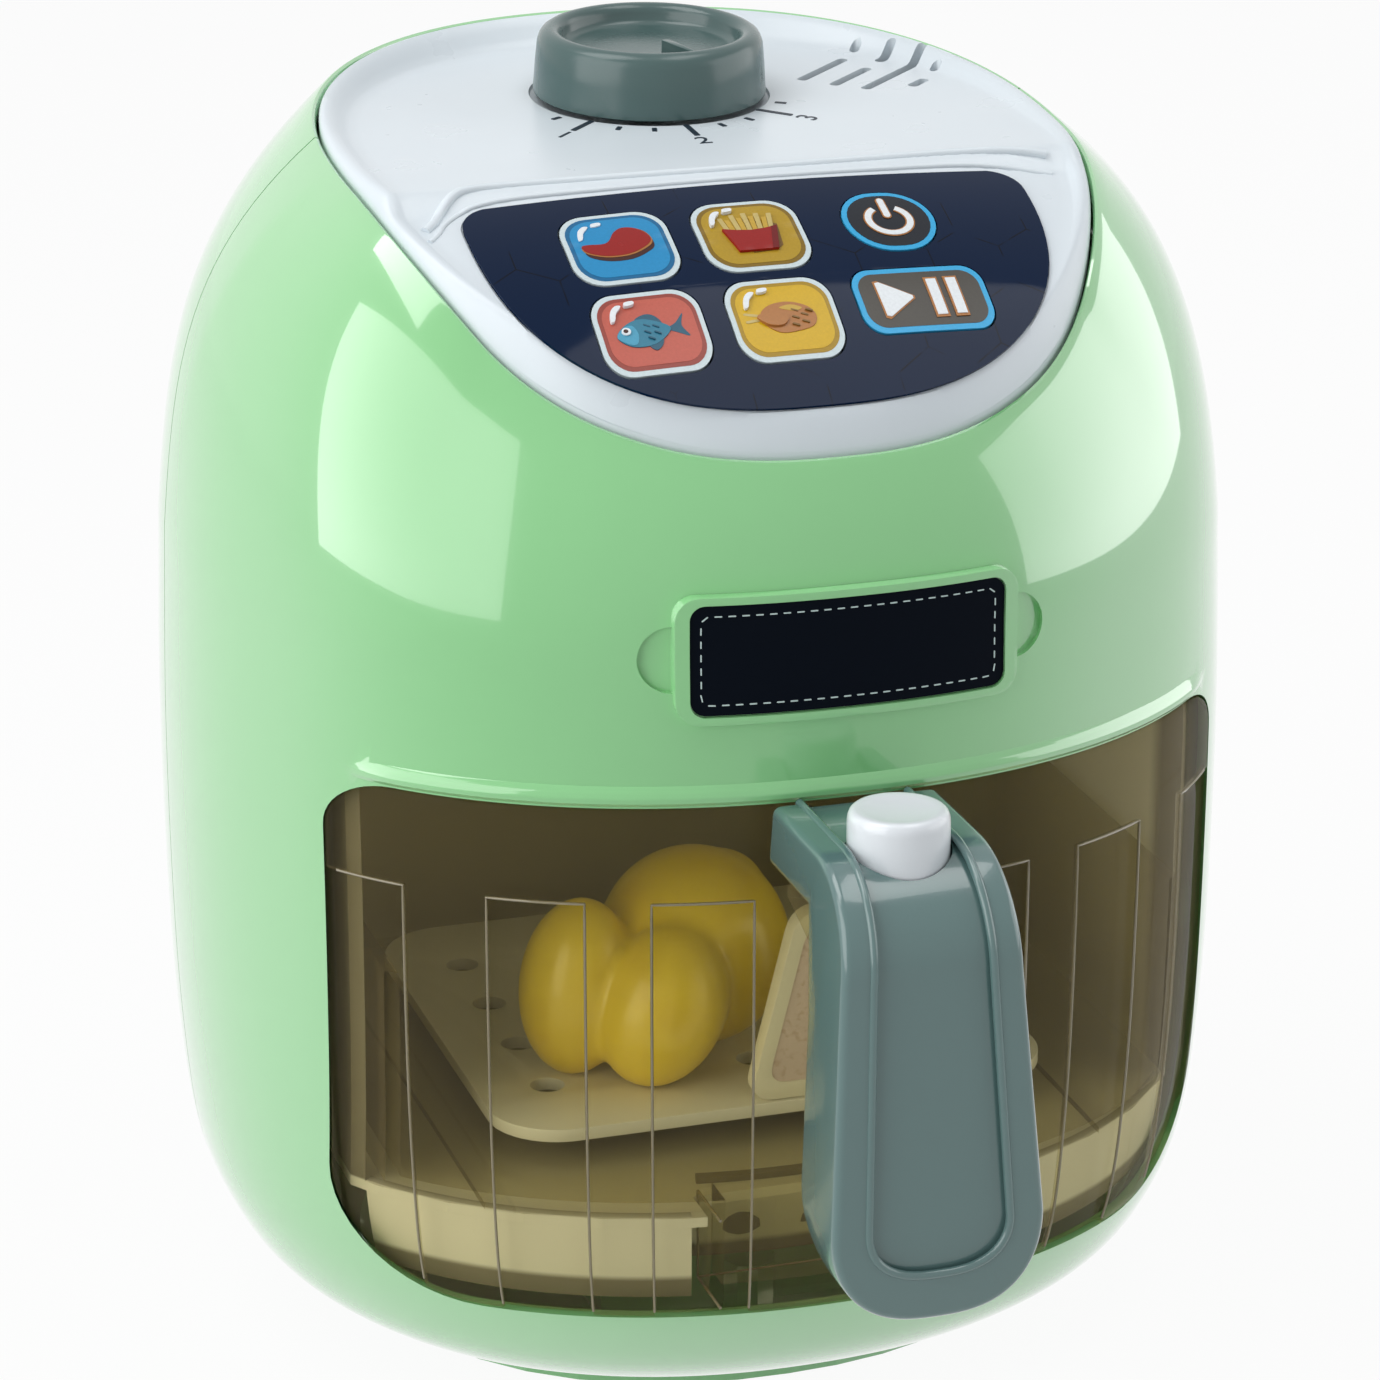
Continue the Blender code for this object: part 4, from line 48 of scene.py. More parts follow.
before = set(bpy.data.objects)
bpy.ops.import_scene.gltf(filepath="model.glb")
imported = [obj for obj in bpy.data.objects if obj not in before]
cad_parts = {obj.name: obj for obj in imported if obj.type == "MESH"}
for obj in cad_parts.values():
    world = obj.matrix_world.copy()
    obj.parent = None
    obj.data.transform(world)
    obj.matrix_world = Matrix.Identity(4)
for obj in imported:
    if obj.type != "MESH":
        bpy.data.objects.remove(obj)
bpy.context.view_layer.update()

AXIS = Vector((0.0, 0.019, 0.0))
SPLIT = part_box("front_shell")[1].y - AXIS.y
SPLIT_SEAM = 0.0003
SEGMENTS = 240
TINY = 0.0005
GRAIN = 0.000012

HALF_WIDTH = 0.082
HALF_DEPTH = 0.077
SQUARENESS = 2.16
SHOULDER = 0.1286
EDGE_HEIGHT = 0.0033
PROFILE = ((0.665, 0.026), (0.765, 0.050), (0.862, 0.094), (0.922, 0.150), (0.962, 0.222), (0.985, 0.340),
           (0.997, 0.500), (0.999, 0.760), (0.987, 1.000))
WALL = 0.0022

RIM_HALF_WIDTH = 0.0567
RIM_HALF_DEPTH = 0.0622
RIM_MIDDLE = -0.0068
RIM_SQUARENESS = 2.3
RIM_LEVEL = 0.1854
RIM_SLOPE = math.radians(7.2)
RIM_BEND_START = -0.014
RIM_BEND_RADIUS = 0.060
RIM_STEEPEST = math.radians(44.0)
RIM_CROWN = 0.0055
RIM_CROWN_REACH = 0.045
LIP_SHARE = 0.985
BEAD_SIDE = 0.080
BEAD_FRONT = 0.023

RIDGE_PLACE = -0.023
DIAL_PLACE = 0.0194
PLATFORM_LEVEL = 0.1864
PLATFORM_SLOPE = math.radians(3.2)
CONTROL_START = -0.027
CONTROL_LEVEL = 0.1824
CONTROL_RADIUS = 0.104
CONTROL_FIRST = math.radians(17.0)
CONTROL_CROWN = 0.0012
CONTROL_CROWN_REACH = 0.042
PANEL_THICKNESS = 0.0020

OVERLAY_HALF_WIDTH = 0.0426
OVERLAY_MIDDLE = -0.0009
OVERLAY_BACK = -0.0268
OVERLAY_FRONT = -0.0664
OVERLAY_WAIST = -0.0320
OVERLAY_CORNER = 0.0050
OVERLAY_SQUARENESS = 2.6
OVERLAY_THICKNESS = 0.0005
PICTURE_BASE = OVERLAY_THICKNESS + 0.00018
SLOT_WIDTH = 0.0017
NUMBER_REACH = 0.0272
NUMBER_SIZE = 0.0048
POINTER_DEG = 195.0
DIAL_TURN = Matrix.Translation((0, DIAL_PLACE, PLATFORM_LEVEL)) @ Matrix.Rotation(PLATFORM_SLOPE, 4, "X")

WINDOW_HALF_WIDTH = 0.0693
WINDOW_BOTTOM = 0.0237
WINDOW_TOP = 0.1056
WINDOW_SPREAD = math.radians(57.4)
WINDOW_CORNERS = (0.0190, 0.0080, 0.0080, 0.0190)
FAR_FRONT = -HALF_WIDTH * 1.5
FLUTE_TOP = 0.0910
FLUTE_SHARES = ((-1.0, -0.831), (-0.671, -0.493), (-0.373, -0.185), (0.185, 0.373), (0.493, 0.671),
                (0.831, 1.0))
FLUTE_DEPTH = 0.0009
SILL_LOW = 0.0246
SILL_HIGH = 0.0394

PLATE_HEIGHT = 0.1273
PLATE_HALF_WIDTH = 0.0255
PLATE_HALF_TALL = 0.0093
DISC_RADIUS = 0.0048
WELL_PLACES = ((0.048, 0.027), (0.052, 0.127))
WELL_RADIUS = 0.0032
WELL_FLOOR = 0.0023

HANDLE_FRONT = 0.1150
HANDLE_TOP = 0.1059
HANDLE_BOTTOM = 0.0415
HANDLE_NECK = 0.0972
HANDLE_LOW = 0.0560
HANDLE_ARM = 0.0150
HANDLE_LEAN = 0.0040
GRIP_TOP_HALF = 0.0080
GRIP_LOW_HALF = 0.0104
GRIP_BOTTOM = 0.0485
BUTTON_PLACE = -0.0958
BUTTON_TOP = 0.1107
BUTTON_FOOT = 0.1018
BUTTON_RADIUS = 0.0072
BUTTON_HOLLOW = 0.0060

RACK_THICKNESS = 0.0020
RACK_PITCH = 0.0165
RACK_HOLE_RADIUS = 0.0026

KEYS = {
    "steak_key": (-0.0226, -0.0390, 0.0079, 0.0071, 0.6),
    "chips_key": (-0.0030, -0.0390, 0.0079, 0.0071, 0.6),
    "fish_key": (-0.0226, -0.0542, 0.0079, 0.00625, 0.6),
    "poultry_key": (-0.0030, -0.0542, 0.0079, 0.00625, 0.6),
    "power_key": (0.0183, -0.0380, 0.0069, 0.0062, 1.0),
    "play_key": (0.0183, -0.0527, 0.0099, 0.0051, 0.6),
}


# the housing's surfaces


def oval(angle, half_width, half_depth, squareness):
    """Return a point of a squared oval at an angle from the front, turning towards +X."""
    across, along = math.sin(angle), -math.cos(angle)
    spread = abs(across / half_width) ** squareness + abs(along / half_depth) ** squareness
    reach = spread ** (-1 / squareness)
    return across * reach, along * reach


def profile_share(height):
    """Return the housing's width share at a height below its shoulder."""
    knots = [(up * SHOULDER, share) for share, up in PROFILE]
    if height <= knots[0][0]:
        return knots[0][1]
    for k in range(len(knots) - 1):
        (z0, r0), (z1, r1) = knots[k], knots[k + 1]
        if height <= z1:
            before, after = knots[max(k - 1, 0)], knots[min(k + 2, len(knots) - 1)]
            slope0 = (r1 - before[1]) / (z1 - before[0])
            slope1 = (after[1] - r0) / (after[0] - z0)
            span = z1 - z0
            t = (height - z0) / span
            return ((2 * t ** 3 - 3 * t ** 2 + 1) * r0 + (t ** 3 - 2 * t ** 2 + t) * span * slope0
                    + (3 * t ** 2 - 2 * t ** 3) * r1 + (t ** 3 - t ** 2) * span * slope1)
    return knots[-1][1]


def skin_spot(angle, height):
    """Return a point of the housing's side."""
    share = profile_share(height)
    return Vector((*oval(angle, HALF_WIDTH * share, HALF_DEPTH * share, SQUARENESS), height))


def skin_point(angle, height, lift=0.0):
    """Return a point of the housing's side, moved outwards by a lift."""
    spot = skin_spot(angle, height)
    if lift == 0:
        return spot
    turn = skin_spot(angle + TINY, height) - skin_spot(angle - TINY, height)
    rise = skin_spot(angle, height + TINY) - skin_spot(angle, height - TINY)
    return spot + turn.cross(rise).normalized() * lift


def rim_level(along):
    """Return the uncrowned height of the lid opening's edge."""
    if along >= RIM_BEND_START:
        return RIM_LEVEL + along * math.tan(RIM_SLOPE)
    start = RIM_LEVEL + RIM_BEND_START * math.tan(RIM_SLOPE)
    last = RIM_BEND_START - RIM_BEND_RADIUS * (math.sin(RIM_STEEPEST) - math.sin(RIM_SLOPE))
    stop = max(along, last)
    sine = math.sin(RIM_SLOPE) + (RIM_BEND_START - stop) / RIM_BEND_RADIUS
    height = start - RIM_BEND_RADIUS * (math.cos(RIM_SLOPE) - math.sqrt(1 - sine * sine))
    return height - (stop - along) * math.tan(RIM_STEEPEST)


def rim_point(angle, share=1.0, drop=0.0):
    """Return a point of the lid opening's edge, or of a smaller copy of it."""
    across, along = oval(angle, RIM_HALF_WIDTH * share, RIM_HALF_DEPTH * share, RIM_SQUARENESS)
    along += RIM_MIDDLE
    toward_front = min(max((RIM_BEND_START - along) / (RIM_HALF_DEPTH + RIM_BEND_START), 0), 1)
    crown = RIM_CROWN * toward_front * max(1 - (across / RIM_CROWN_REACH) ** 2, 0)
    return Vector((across, along, rim_level(along) + crown - drop))


def shoulder_point(angle, share):
    """Return a point of the curve from the housing's side to the lid opening's edge."""
    start, end = skin_spot(angle, SHOULDER), rim_point(angle)
    reach = (end - start).length
    outward = Vector((start.x, start.y, 0)).normalized()
    frontness, backness = max(math.cos(angle), 0), max(-math.cos(angle), 0)
    tilt = math.radians(36.0 + 26.0 * frontness + 10.0 * backness)
    pull = reach * (0.40 - 0.06 * frontness)
    first = start + (Vector((0, 0, 1)) - outward * 0.09) * pull
    second = end - (Vector((0, 0, math.sin(tilt))) - outward * math.cos(tilt)) * pull
    rest = 1 - share
    return (start * rest ** 3 + first * 3 * share * rest ** 2 + second * 3 * share ** 2 * rest
            + end * share ** 3)


def platform_height(along):
    """Return the height of the flat that carries the dial."""
    return PLATFORM_LEVEL + (along - DIAL_PLACE) * math.tan(PLATFORM_SLOPE)


def control_height(across, along):
    """Return the height of the crowned face that carries the keys."""
    first = math.sin(CONTROL_FIRST)
    steepest = first + (CONTROL_START - OVERLAY_FRONT) / CONTROL_RADIUS
    sine = min(max(first + (CONTROL_START - along) / CONTROL_RADIUS, 0), steepest)
    height = CONTROL_LEVEL - CONTROL_RADIUS * (math.cos(CONTROL_FIRST) - math.sqrt(1 - sine * sine))
    spill = max(CONTROL_START - along - (sine - first) * CONTROL_RADIUS, 0)
    return height - spill * math.tan(math.asin(sine)) - CONTROL_CROWN * (across / CONTROL_CROWN_REACH) ** 2


def lid_height(across, along):
    """Return the height of the lid inside its rim."""
    blend = (along - CONTROL_START) / (RIDGE_PLACE - CONTROL_START)
    if blend <= 0:
        return control_height(across, along)
    if blend >= 1:
        return platform_height(along)
    ease = blend * blend * (3 - 2 * blend)
    return control_height(across, along) * (1 - ease) + platform_height(along) * ease


def face_point(height_at, across, along, lift=0.0):
    """Return a point of a surface given by its height, moved outwards by a lift."""
    spot = Vector((across, along, height_at(across, along)))
    slope_x = height_at(across + TINY, along) - height_at(across - TINY, along)
    slope_y = height_at(across, along + TINY) - height_at(across, along - TINY)
    return spot + Vector((-slope_x, -slope_y, 2 * TINY)).normalized() * lift


def control_point(across, along, lift=0.0):
    """Return a point of the keys' face, moved outwards by a lift."""
    return face_point(control_height, across, along, lift)


def platform_point(across, along, lift=0.0):
    """Return a point of the dial's flat, moved outwards by a lift."""
    return face_point(lambda x, y: platform_height(y), across, along, lift)


def front_point(across, up, lift=0.0):
    """Return the point of the housing's front at a place across and up, moved outwards by a lift."""
    share = profile_share(up)
    rest = max(1 - abs(across / (HALF_WIDTH * share)) ** SQUARENESS, 0) ** (1 / SQUARENESS)
    return skin_point(math.atan2(across, HALF_DEPTH * share * rest), up, lift)


# meshes


def linked(name, mesh):
    """Return a new object in the scene that holds a mesh."""
    thing = bpy.data.objects.new(name, mesh)
    bpy.context.scene.collection.objects.link(thing)
    return thing


def smoothed(mesh, degrees):
    """Return a mesh shaded smooth, its edges over an angle sharp."""
    mesh.shade_smooth()
    mesh.set_sharp_from_angle(angle=math.radians(degrees))
    return mesh


def opened(mesh):
    """Return a bmesh of a mesh, which is used up."""
    bm = bmesh.new()
    bm.from_mesh(mesh)
    bpy.data.meshes.remove(mesh)
    return bm


def closed(bm, name, degrees):
    """Return an object of a bmesh, which is used up."""
    mesh = bpy.data.meshes.new(name)
    bm.to_mesh(mesh)
    bm.free()
    return linked(name, smoothed(mesh, degrees))


def meshed(bm, name, smooth=30.0):
    """Return an object from a bmesh, its faces outwards and its real edges sharp."""
    bmesh.ops.recalc_face_normals(bm, faces=bm.faces)
    if bm.calc_volume(signed=True) < 0:
        bmesh.ops.reverse_faces(bm, faces=bm.faces)
    return closed(bm, name, smooth)


def evaluated(thing):
    """Return a new mesh of what an object's curve or modifiers make."""
    bpy.context.view_layer.update()
    graph = bpy.context.evaluated_depsgraph_get()
    return bpy.data.meshes.new_from_object(thing.evaluated_get(graph), depsgraph=graph)


def filled(curve):
    """Return a bmesh of a flat curve or text, which is used up."""
    holder = linked(curve.name + "_outline", curve)
    bm = opened(evaluated(holder))
    bpy.data.objects.remove(holder, do_unlink=True)
    bpy.data.curves.remove(curve)
    bmesh.ops.remove_doubles(bm, verts=bm.verts, dist=TINY / 100)
    return bm


def bake(thing, smooth=30.0):
    """Swap an object's mesh for what its modifiers make of it."""
    mesh, old = evaluated(thing), thing.data
    thing.modifiers.clear()
    thing.data = smoothed(mesh, smooth)
    bpy.data.meshes.remove(old)
    return thing


def combine(thing, tools, operation, smooth=30.0):
    """Join, cut or trim an object with others, which are used up."""
    for tool in tools:
        step = thing.modifiers.new(operation.lower(), "BOOLEAN")
        step.operation = operation
        step.solver = "EXACT"
        step.object = tool
    bake(thing, smooth)
    for tool in tools:
        bpy.data.objects.remove(tool, do_unlink=True)
    return thing


def soften(thing, width, segments=2, angle=40.0, smooth=30.0):
    """Round an object's real edges."""
    step = thing.modifiers.new("soften", "BEVEL")
    step.width = width
    step.segments = segments
    step.limit_method = "ANGLE"
    step.angle_limit = math.radians(angle)
    step.use_clamp_overlap = True
    step.harden_normals = False
    return bake(thing, smooth)


def settle(thing, finish, body, stands_for=()):
    """Give a finished object its material and its body, and move its mesh from the axis to the frame."""
    mesh = thing.data
    mesh.transform(Matrix.Translation(AXIS) @ thing.matrix_world)
    thing.parent = None
    thing.matrix_world = Matrix.Identity(4)
    mesh.materials.clear()
    mesh.materials.append(finish)
    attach(thing, body)
    if stands_for:
        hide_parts(*stands_for)
    return thing


def add_rows(bm, rows, around=False):
    """Add a surface through rows of points, closed round each row when asked."""
    grid = [[bm.verts.new(point) for point in row] for row in rows]
    for lower, upper in zip(grid, grid[1:]):
        count = len(lower)
        for k in range(count if around else count - 1):
            bm.faces.new((lower[k], lower[(k + 1) % count], upper[(k + 1) % count], upper[k]))
    return grid


def add_rows_between(bm, first, last):
    """Close the ring between two rows of vertices."""
    for k in range(len(first)):
        following = (k + 1) % len(first)
        bm.faces.new((first[k], first[following], last[following], last[k]))


def add_cap(bm, row, middle):
    """Close a row of vertices with a fan to a middle point."""
    centre = bm.verts.new(middle)
    for k in range(len(row)):
        bm.faces.new((row[k], row[(k + 1) % len(row)], centre))


def slab(name, point_at, half_deg, bottom, top, low, high, middle_deg=0.0, step_deg=1.5, step=0.002):
    """Return a block that follows the housing's side between two lifts."""
    count = max(math.ceil(2 * half_deg / step_deg), 1)
    levels = max(math.ceil((top - bottom) / step), 1)
    angles = [math.radians(middle_deg - half_deg + 2 * half_deg * k / count) for k in range(count + 1)]
    heights = [bottom + (top - bottom) * k / levels for k in range(levels + 1)]
    bm = bmesh.new()
    outer = add_rows(bm, [[point_at(angle, height, high) for angle in angles] for height in heights])
    inner = add_rows(bm, [[point_at(angle, height, low) for angle in angles] for height in heights])
    for k in range(count):
        for row in (0, levels):
            bm.faces.new((outer[row][k], outer[row][k + 1], inner[row][k + 1], inner[row][k]))
    for k in range(levels):
        for side in (0, count):
            bm.faces.new((outer[k][side], outer[k + 1][side], inner[k + 1][side], inner[k][side]))
    return meshed(bm, name)


def plate(name, outlines, low, high, toward="Z"):
    """Return a flat plate from closed outlines, the later ones being holes."""
    curve = bpy.data.curves.new(name, "CURVE")
    curve.dimensions = "2D"
    curve.fill_mode = "BOTH"
    curve.extrude = (high - low) / 2
    for outline in outlines:
        spline = curve.splines.new("POLY")
        spline.points.add(len(outline) - 1)
        for point, (across, up) in zip(spline.points, outline):
            point.co = (across, up, 0, 1)
        spline.use_cyclic_u = True
    bm = filled(curve)
    middle = (low + high) / 2
    for corner in bm.verts:
        across, up, through = corner.co
        through += middle
        ways = {"Z": (across, up, through), "Y": (across, through, up), "X": (through, across, up)}
        corner.co = ways[toward]
    return meshed(bm, name)


def inlay(name, outlines, point_at, low, high, step=0.0012):
    """Return a thin picture piece over closed outlines that follows a curved face between two lifts."""
    flat = plate(name, outlines, -TINY, TINY)
    mesh = flat.data
    bpy.data.objects.remove(flat, do_unlink=True)
    bm = opened(mesh)
    bmesh.ops.triangulate(bm, faces=bm.faces)
    for _ in range(5):
        long_edges = [edge for edge in bm.edges if edge.calc_length() > step * 1.5]
        if not long_edges:
            break
        bmesh.ops.subdivide_edges(bm, edges=long_edges, cuts=1)
        bmesh.ops.triangulate(bm, faces=bm.faces)
    for corner in bm.verts:
        across, along, side = corner.co
        corner.co = point_at(across, along, high if side > 0 else low)
    return meshed(bm, name)


def lathe(name, profile, segments=96, smooth=30.0):
    """Return a body of revolution about Z through pairs of radius and height."""
    bm = bmesh.new()
    rows = [[(across, along, height) for across, along in ring(0, 0, radius, segments)]
            for radius, height in profile if radius > 0]
    grid = add_rows(bm, rows, around=True)
    if profile[0][0] == 0:
        add_cap(bm, grid[0], (0, 0, profile[0][1]))
    if profile[-1][0] == 0:
        add_cap(bm, grid[-1], (0, 0, profile[-1][1]))
    return meshed(bm, name, smooth)


def rounded(left, right, bottom, top, corners, steps=8):
    """Return a rectangle's outline, its corner radii from the lower right one on, anticlockwise."""
    places = ((right, bottom, 1, -1, -90.0), (right, top, 1, 1, 0.0), (left, top, -1, 1, 90.0),
              (left, bottom, -1, -1, 180.0))
    points = []
    for radius, (across, up, side, rise, start) in zip(corners, places):
        for k in range(steps + 1):
            angle = math.radians(start + 90.0 * k / steps)
            points.append((across - side * radius + radius * math.cos(angle),
                           up - rise * radius + radius * math.sin(angle)))
    return points


def square(left, right, bottom, top):
    """Return a plain rectangle's outline."""
    return [(left, bottom), (right, bottom), (right, top), (left, top)]


def ring(across, up, radius, segments=32):
    """Return a circle's outline."""
    turns = [math.tau * k / segments for k in range(segments)]
    return [(across + radius * math.cos(turn), up + radius * math.sin(turn)) for turn in turns]


def bar(start, end, width, steps=6):
    """Return the outline of a straight bar with round ends."""
    first, last = Vector(start), Vector(end)
    turn = math.atan2(last.y - first.y, last.x - first.x)
    points = []
    for tip, begin in ((last, -90.0), (first, 90.0)):
        for k in range(steps + 1):
            angle = turn + math.radians(begin + 180.0 * k / steps)
            points.append((tip.x + width / 2 * math.cos(angle), tip.y + width / 2 * math.sin(angle)))
    return points


def curved(places, share):
    """Return a place on the smooth curve through four, a share of the way between the middle two."""
    p0, p1, p2, p3 = places
    return tuple(0.5 * ((2 * p1) + (p2 - p0) * share + (2 * p0 - 5 * p1 + 4 * p2 - p3) * share * share
                        + (3 * p1 - p0 - 3 * p2 + p3) * share ** 3))


def loop(points, steps=8):
    """Return a smooth closed outline through a few points."""
    out = []
    for k in range(len(points)):
        places = [Vector(points[(k + shift) % len(points)]) for shift in (-1, 0, 1, 2)]
        out += [curved(places, step / steps) for step in range(steps)]
    return out


def open_curve(points, steps):
    """Return a smooth open line through a few points."""
    padded = [Vector(point) for point in (points[0], *points, points[-1])]
    out = []
    for k in range(len(points) - 1):
        out += [curved(padded[k:k + 4], step / steps) for step in range(steps)]
    return out + [tuple(points[-1])]


def cornered(points, reach, steps=6):
    """Return a closed outline through straight sides, its corners rounded from a reach away."""
    out = []
    for k, corner in enumerate(points):
        spot, before, after = Vector(corner), Vector(points[k - 1]), Vector(points[(k + 1) % len(points)])
        first = spot + (before - spot).normalized() * reach
        last = spot + (after - spot).normalized() * reach
        for step in range(steps + 1):
            t = step / steps
            out.append(tuple(first * (1 - t) ** 2 + spot * 2 * t * (1 - t) + last * t ** 2))
    return out


def between(start, stop, step):
    """Return even points from one place up to, but without, another."""
    first, last = Vector(start), Vector(stop)
    count = max(math.ceil((last - first).length / step), 1)
    return [tuple(first.lerp(last, k / count)) for k in range(count)]


def guide(name, points, outward=None, closed=False, linked_up=True):
    """Return a wire through points that carries an outward way at each, for a rule to build on."""
    mesh = bpy.data.meshes.new(name)
    count = len(points)
    edges = [(k, (k + 1) % count) for k in range(count if closed else count - 1)] if linked_up else []
    mesh.from_pydata([tuple(point) for point in points], edges, [])
    wire = linked(name, mesh)
    if outward:
        mark_ways(wire, "outward", outward)
    return wire


def mark_ways(wire, name, ways):
    """Give each point of a wire a way under a name."""
    layer = wire.data.attributes.new(name, "FLOAT_VECTOR", "POINT")
    for k, way in enumerate(ways):
        layer.data[k].vector = way


def joined(name, things):
    """Return one object that holds several, none of which is kept."""
    bm = bmesh.new()
    for thing in things:
        copy = thing.data.copy()
        copy.transform(thing.matrix_world)
        bm.from_mesh(copy)
        bpy.data.meshes.remove(copy)
        bpy.data.objects.remove(thing, do_unlink=True)
    return closed(bm, name, 35.0)


# finishes


class Wire:
    """A number in a shader; sums on it add Math nodes."""

    def __init__(self, tree, socket):
        self.tree = tree
        self.socket = socket

    def math(self, operation, *values):
        """Return the result of one Math node."""
        node = self.tree.nodes.new("ShaderNodeMath")
        node.operation = operation
        for socket, value in zip(node.inputs, values):
            if isinstance(value, Wire):
                self.tree.links.new(value.socket, socket)
            else:
                socket.default_value = value
        return Wire(self.tree, node.outputs[0])

    def __add__(self, other):
        return self.math("ADD", self, other)

    def __radd__(self, other):
        return self.math("ADD", other, self)

    def __sub__(self, other):
        return self.math("SUBTRACT", self, other)

    def __rsub__(self, other):
        return self.math("SUBTRACT", other, self)

    def __mul__(self, other):
        return self.math("MULTIPLY", self, other)

    def __rmul__(self, other):
        return self.math("MULTIPLY", other, self)

    def __truediv__(self, other):
        return self.math("DIVIDE", self, other)

    def __abs__(self):
        return self.math("ABSOLUTE", self)

    def low(self, other):
        """Return the smaller of two numbers."""
        return self.math("MINIMUM", self, other)

    def high(self, other):
        """Return the larger of two numbers."""
        return self.math("MAXIMUM", self, other)

    def under(self, other):
        """Return 1 where the number is below another."""
        return self.math("LESS_THAN", self, other)

    def repeat(self, period):
        """Return the number's place in a repeating span."""
        return self.math("FLOORED_MODULO", self, period)

    def ramp(self, start, stop):
        """Return a smooth step from 0 at start to 1 at stop."""
        node = self.tree.nodes.new("ShaderNodeMapRange")
        node.interpolation_type = "SMOOTHSTEP"
        for name, value in (("From Min", start), ("From Max", stop), ("To Min", 0.0), ("To Max", 1.0)):
            node.inputs[name].default_value = value
        self.tree.links.new(self.socket, node.inputs["Value"])
        return Wire(self.tree, node.outputs["Result"])


class Graph:
    """A node tree with short ways to add and link its nodes."""

    tree = None

    def feed(self, socket, value):
        """Set or link one input socket."""
        if isinstance(value, Wire):
            self.tree.links.new(value.socket, socket)
        elif isinstance(value, bpy.types.NodeSocket):
            self.tree.links.new(value, socket)
        else:
            socket.default_value = value

    def node(self, kind, settings=None, **inputs):
        """Return a node with its settings made first and its sockets then set or linked."""
        node = self.tree.nodes.new(kind)
        for key, value in (settings or {}).items():
            setattr(node, key, value)
        for key, value in inputs.items():
            self.feed(node.inputs[key.replace("_", " ")], value)
        return node

    def end_in_blend(self, output, *parts):
        """End the tree in a blend of two shaders, from its factor and the two."""
        blend = self.node("ShaderNodeMixShader")
        for socket, part in zip(blend.inputs, parts):
            self.feed(socket, part)
        self.feed(self.tree.nodes[output].inputs["Surface"], blend.outputs[0])


class Rule(Graph):
    """A Geometry Nodes tree with named inputs, run once on a guide and turned into a plain mesh."""

    def __init__(self, name, **inputs):
        self.tree = bpy.data.node_groups.new(name, "GeometryNodeTree")
        self.values = {}
        sockets = self.tree.interface
        sockets.new_socket("Guide", in_out="INPUT", socket_type="NodeSocketGeometry")
        for key, value in inputs.items():
            kind = {int: "NodeSocketInt", float: "NodeSocketFloat"}.get(type(value), "NodeSocketObject")
            socket = sockets.new_socket(key.replace("_", " "), in_out="INPUT", socket_type=kind)
            self.values[socket.identifier] = value
        sockets.new_socket("Result", in_out="OUTPUT", socket_type="NodeSocketGeometry")
        self.start = self.tree.nodes.new("NodeGroupInput")
        self.end = self.tree.nodes.new("NodeGroupOutput")

    def given(self, name):
        """Return one of the tree's inputs."""
        return self.start.outputs[name]

    def run(self, wire, result, finish, smooth=30.0):
        """End the tree in real geometry with its finish, run it on a guide and return the guide as a mesh."""
        solid = self.node("GeometryNodeRealizeInstances", Geometry=result)
        painted = self.node("GeometryNodeSetMaterial", Geometry=solid.outputs[0], Material=finish)
        self.tree.links.new(painted.outputs[0], self.end.inputs[0])
        step = wire.modifiers.new(self.tree.name, "NODES")
        step.node_group = self.tree
        for identifier, value in self.values.items():
            step[identifier] = value
        return bake(wire, smooth)


def sweep(name, wire, radius, finish, sides=10):
    """Return a round bead along a guide."""
    rule = Rule(name, Bead_Radius=radius, Bead_Sides=sides)
    path = rule.node("GeometryNodeMeshToCurve", Mesh=rule.given("Guide"))
    section = rule.node("GeometryNodeCurvePrimitiveCircle", Resolution=rule.given("Bead Sides"),
                        Radius=rule.given("Bead Radius"))
    bead = rule.node("GeometryNodeCurveToMesh", Curve=path.outputs[0], Profile_Curve=section.outputs[0],
                     Fill_Caps=True)
    return rule.run(wire, bead.outputs[0], finish, 60.0)


def row_of(name, wire, piece, pitch, finish):
    """Return copies of a piece at an even pitch along a guide, each standing outwards."""
    rule = Rule(name, Pitch=pitch, Piece=piece)
    path = rule.node("GeometryNodeMeshToCurve", Mesh=rule.given("Guide"))
    spots = rule.node("GeometryNodeCurveToPoints", {"mode": "LENGTH"}, Curve=path.outputs[0],
                      Length=rule.given("Pitch"))
    return copies(rule, wire, spots.outputs["Points"], spots.outputs["Tangent"], finish)


def field_of(name, wire, piece, finish):
    """Return a copy of a piece at each point of a guide, each standing outwards."""
    rule = Rule(name, Piece=piece)
    spots = rule.node("GeometryNodeMeshToPoints", Mesh=rule.given("Guide"))
    ahead = rule.node("GeometryNodeInputNamedAttribute", {"data_type": "FLOAT_VECTOR"}, Name="ahead")
    return copies(rule, wire, spots.outputs[0], ahead.outputs[0], finish)


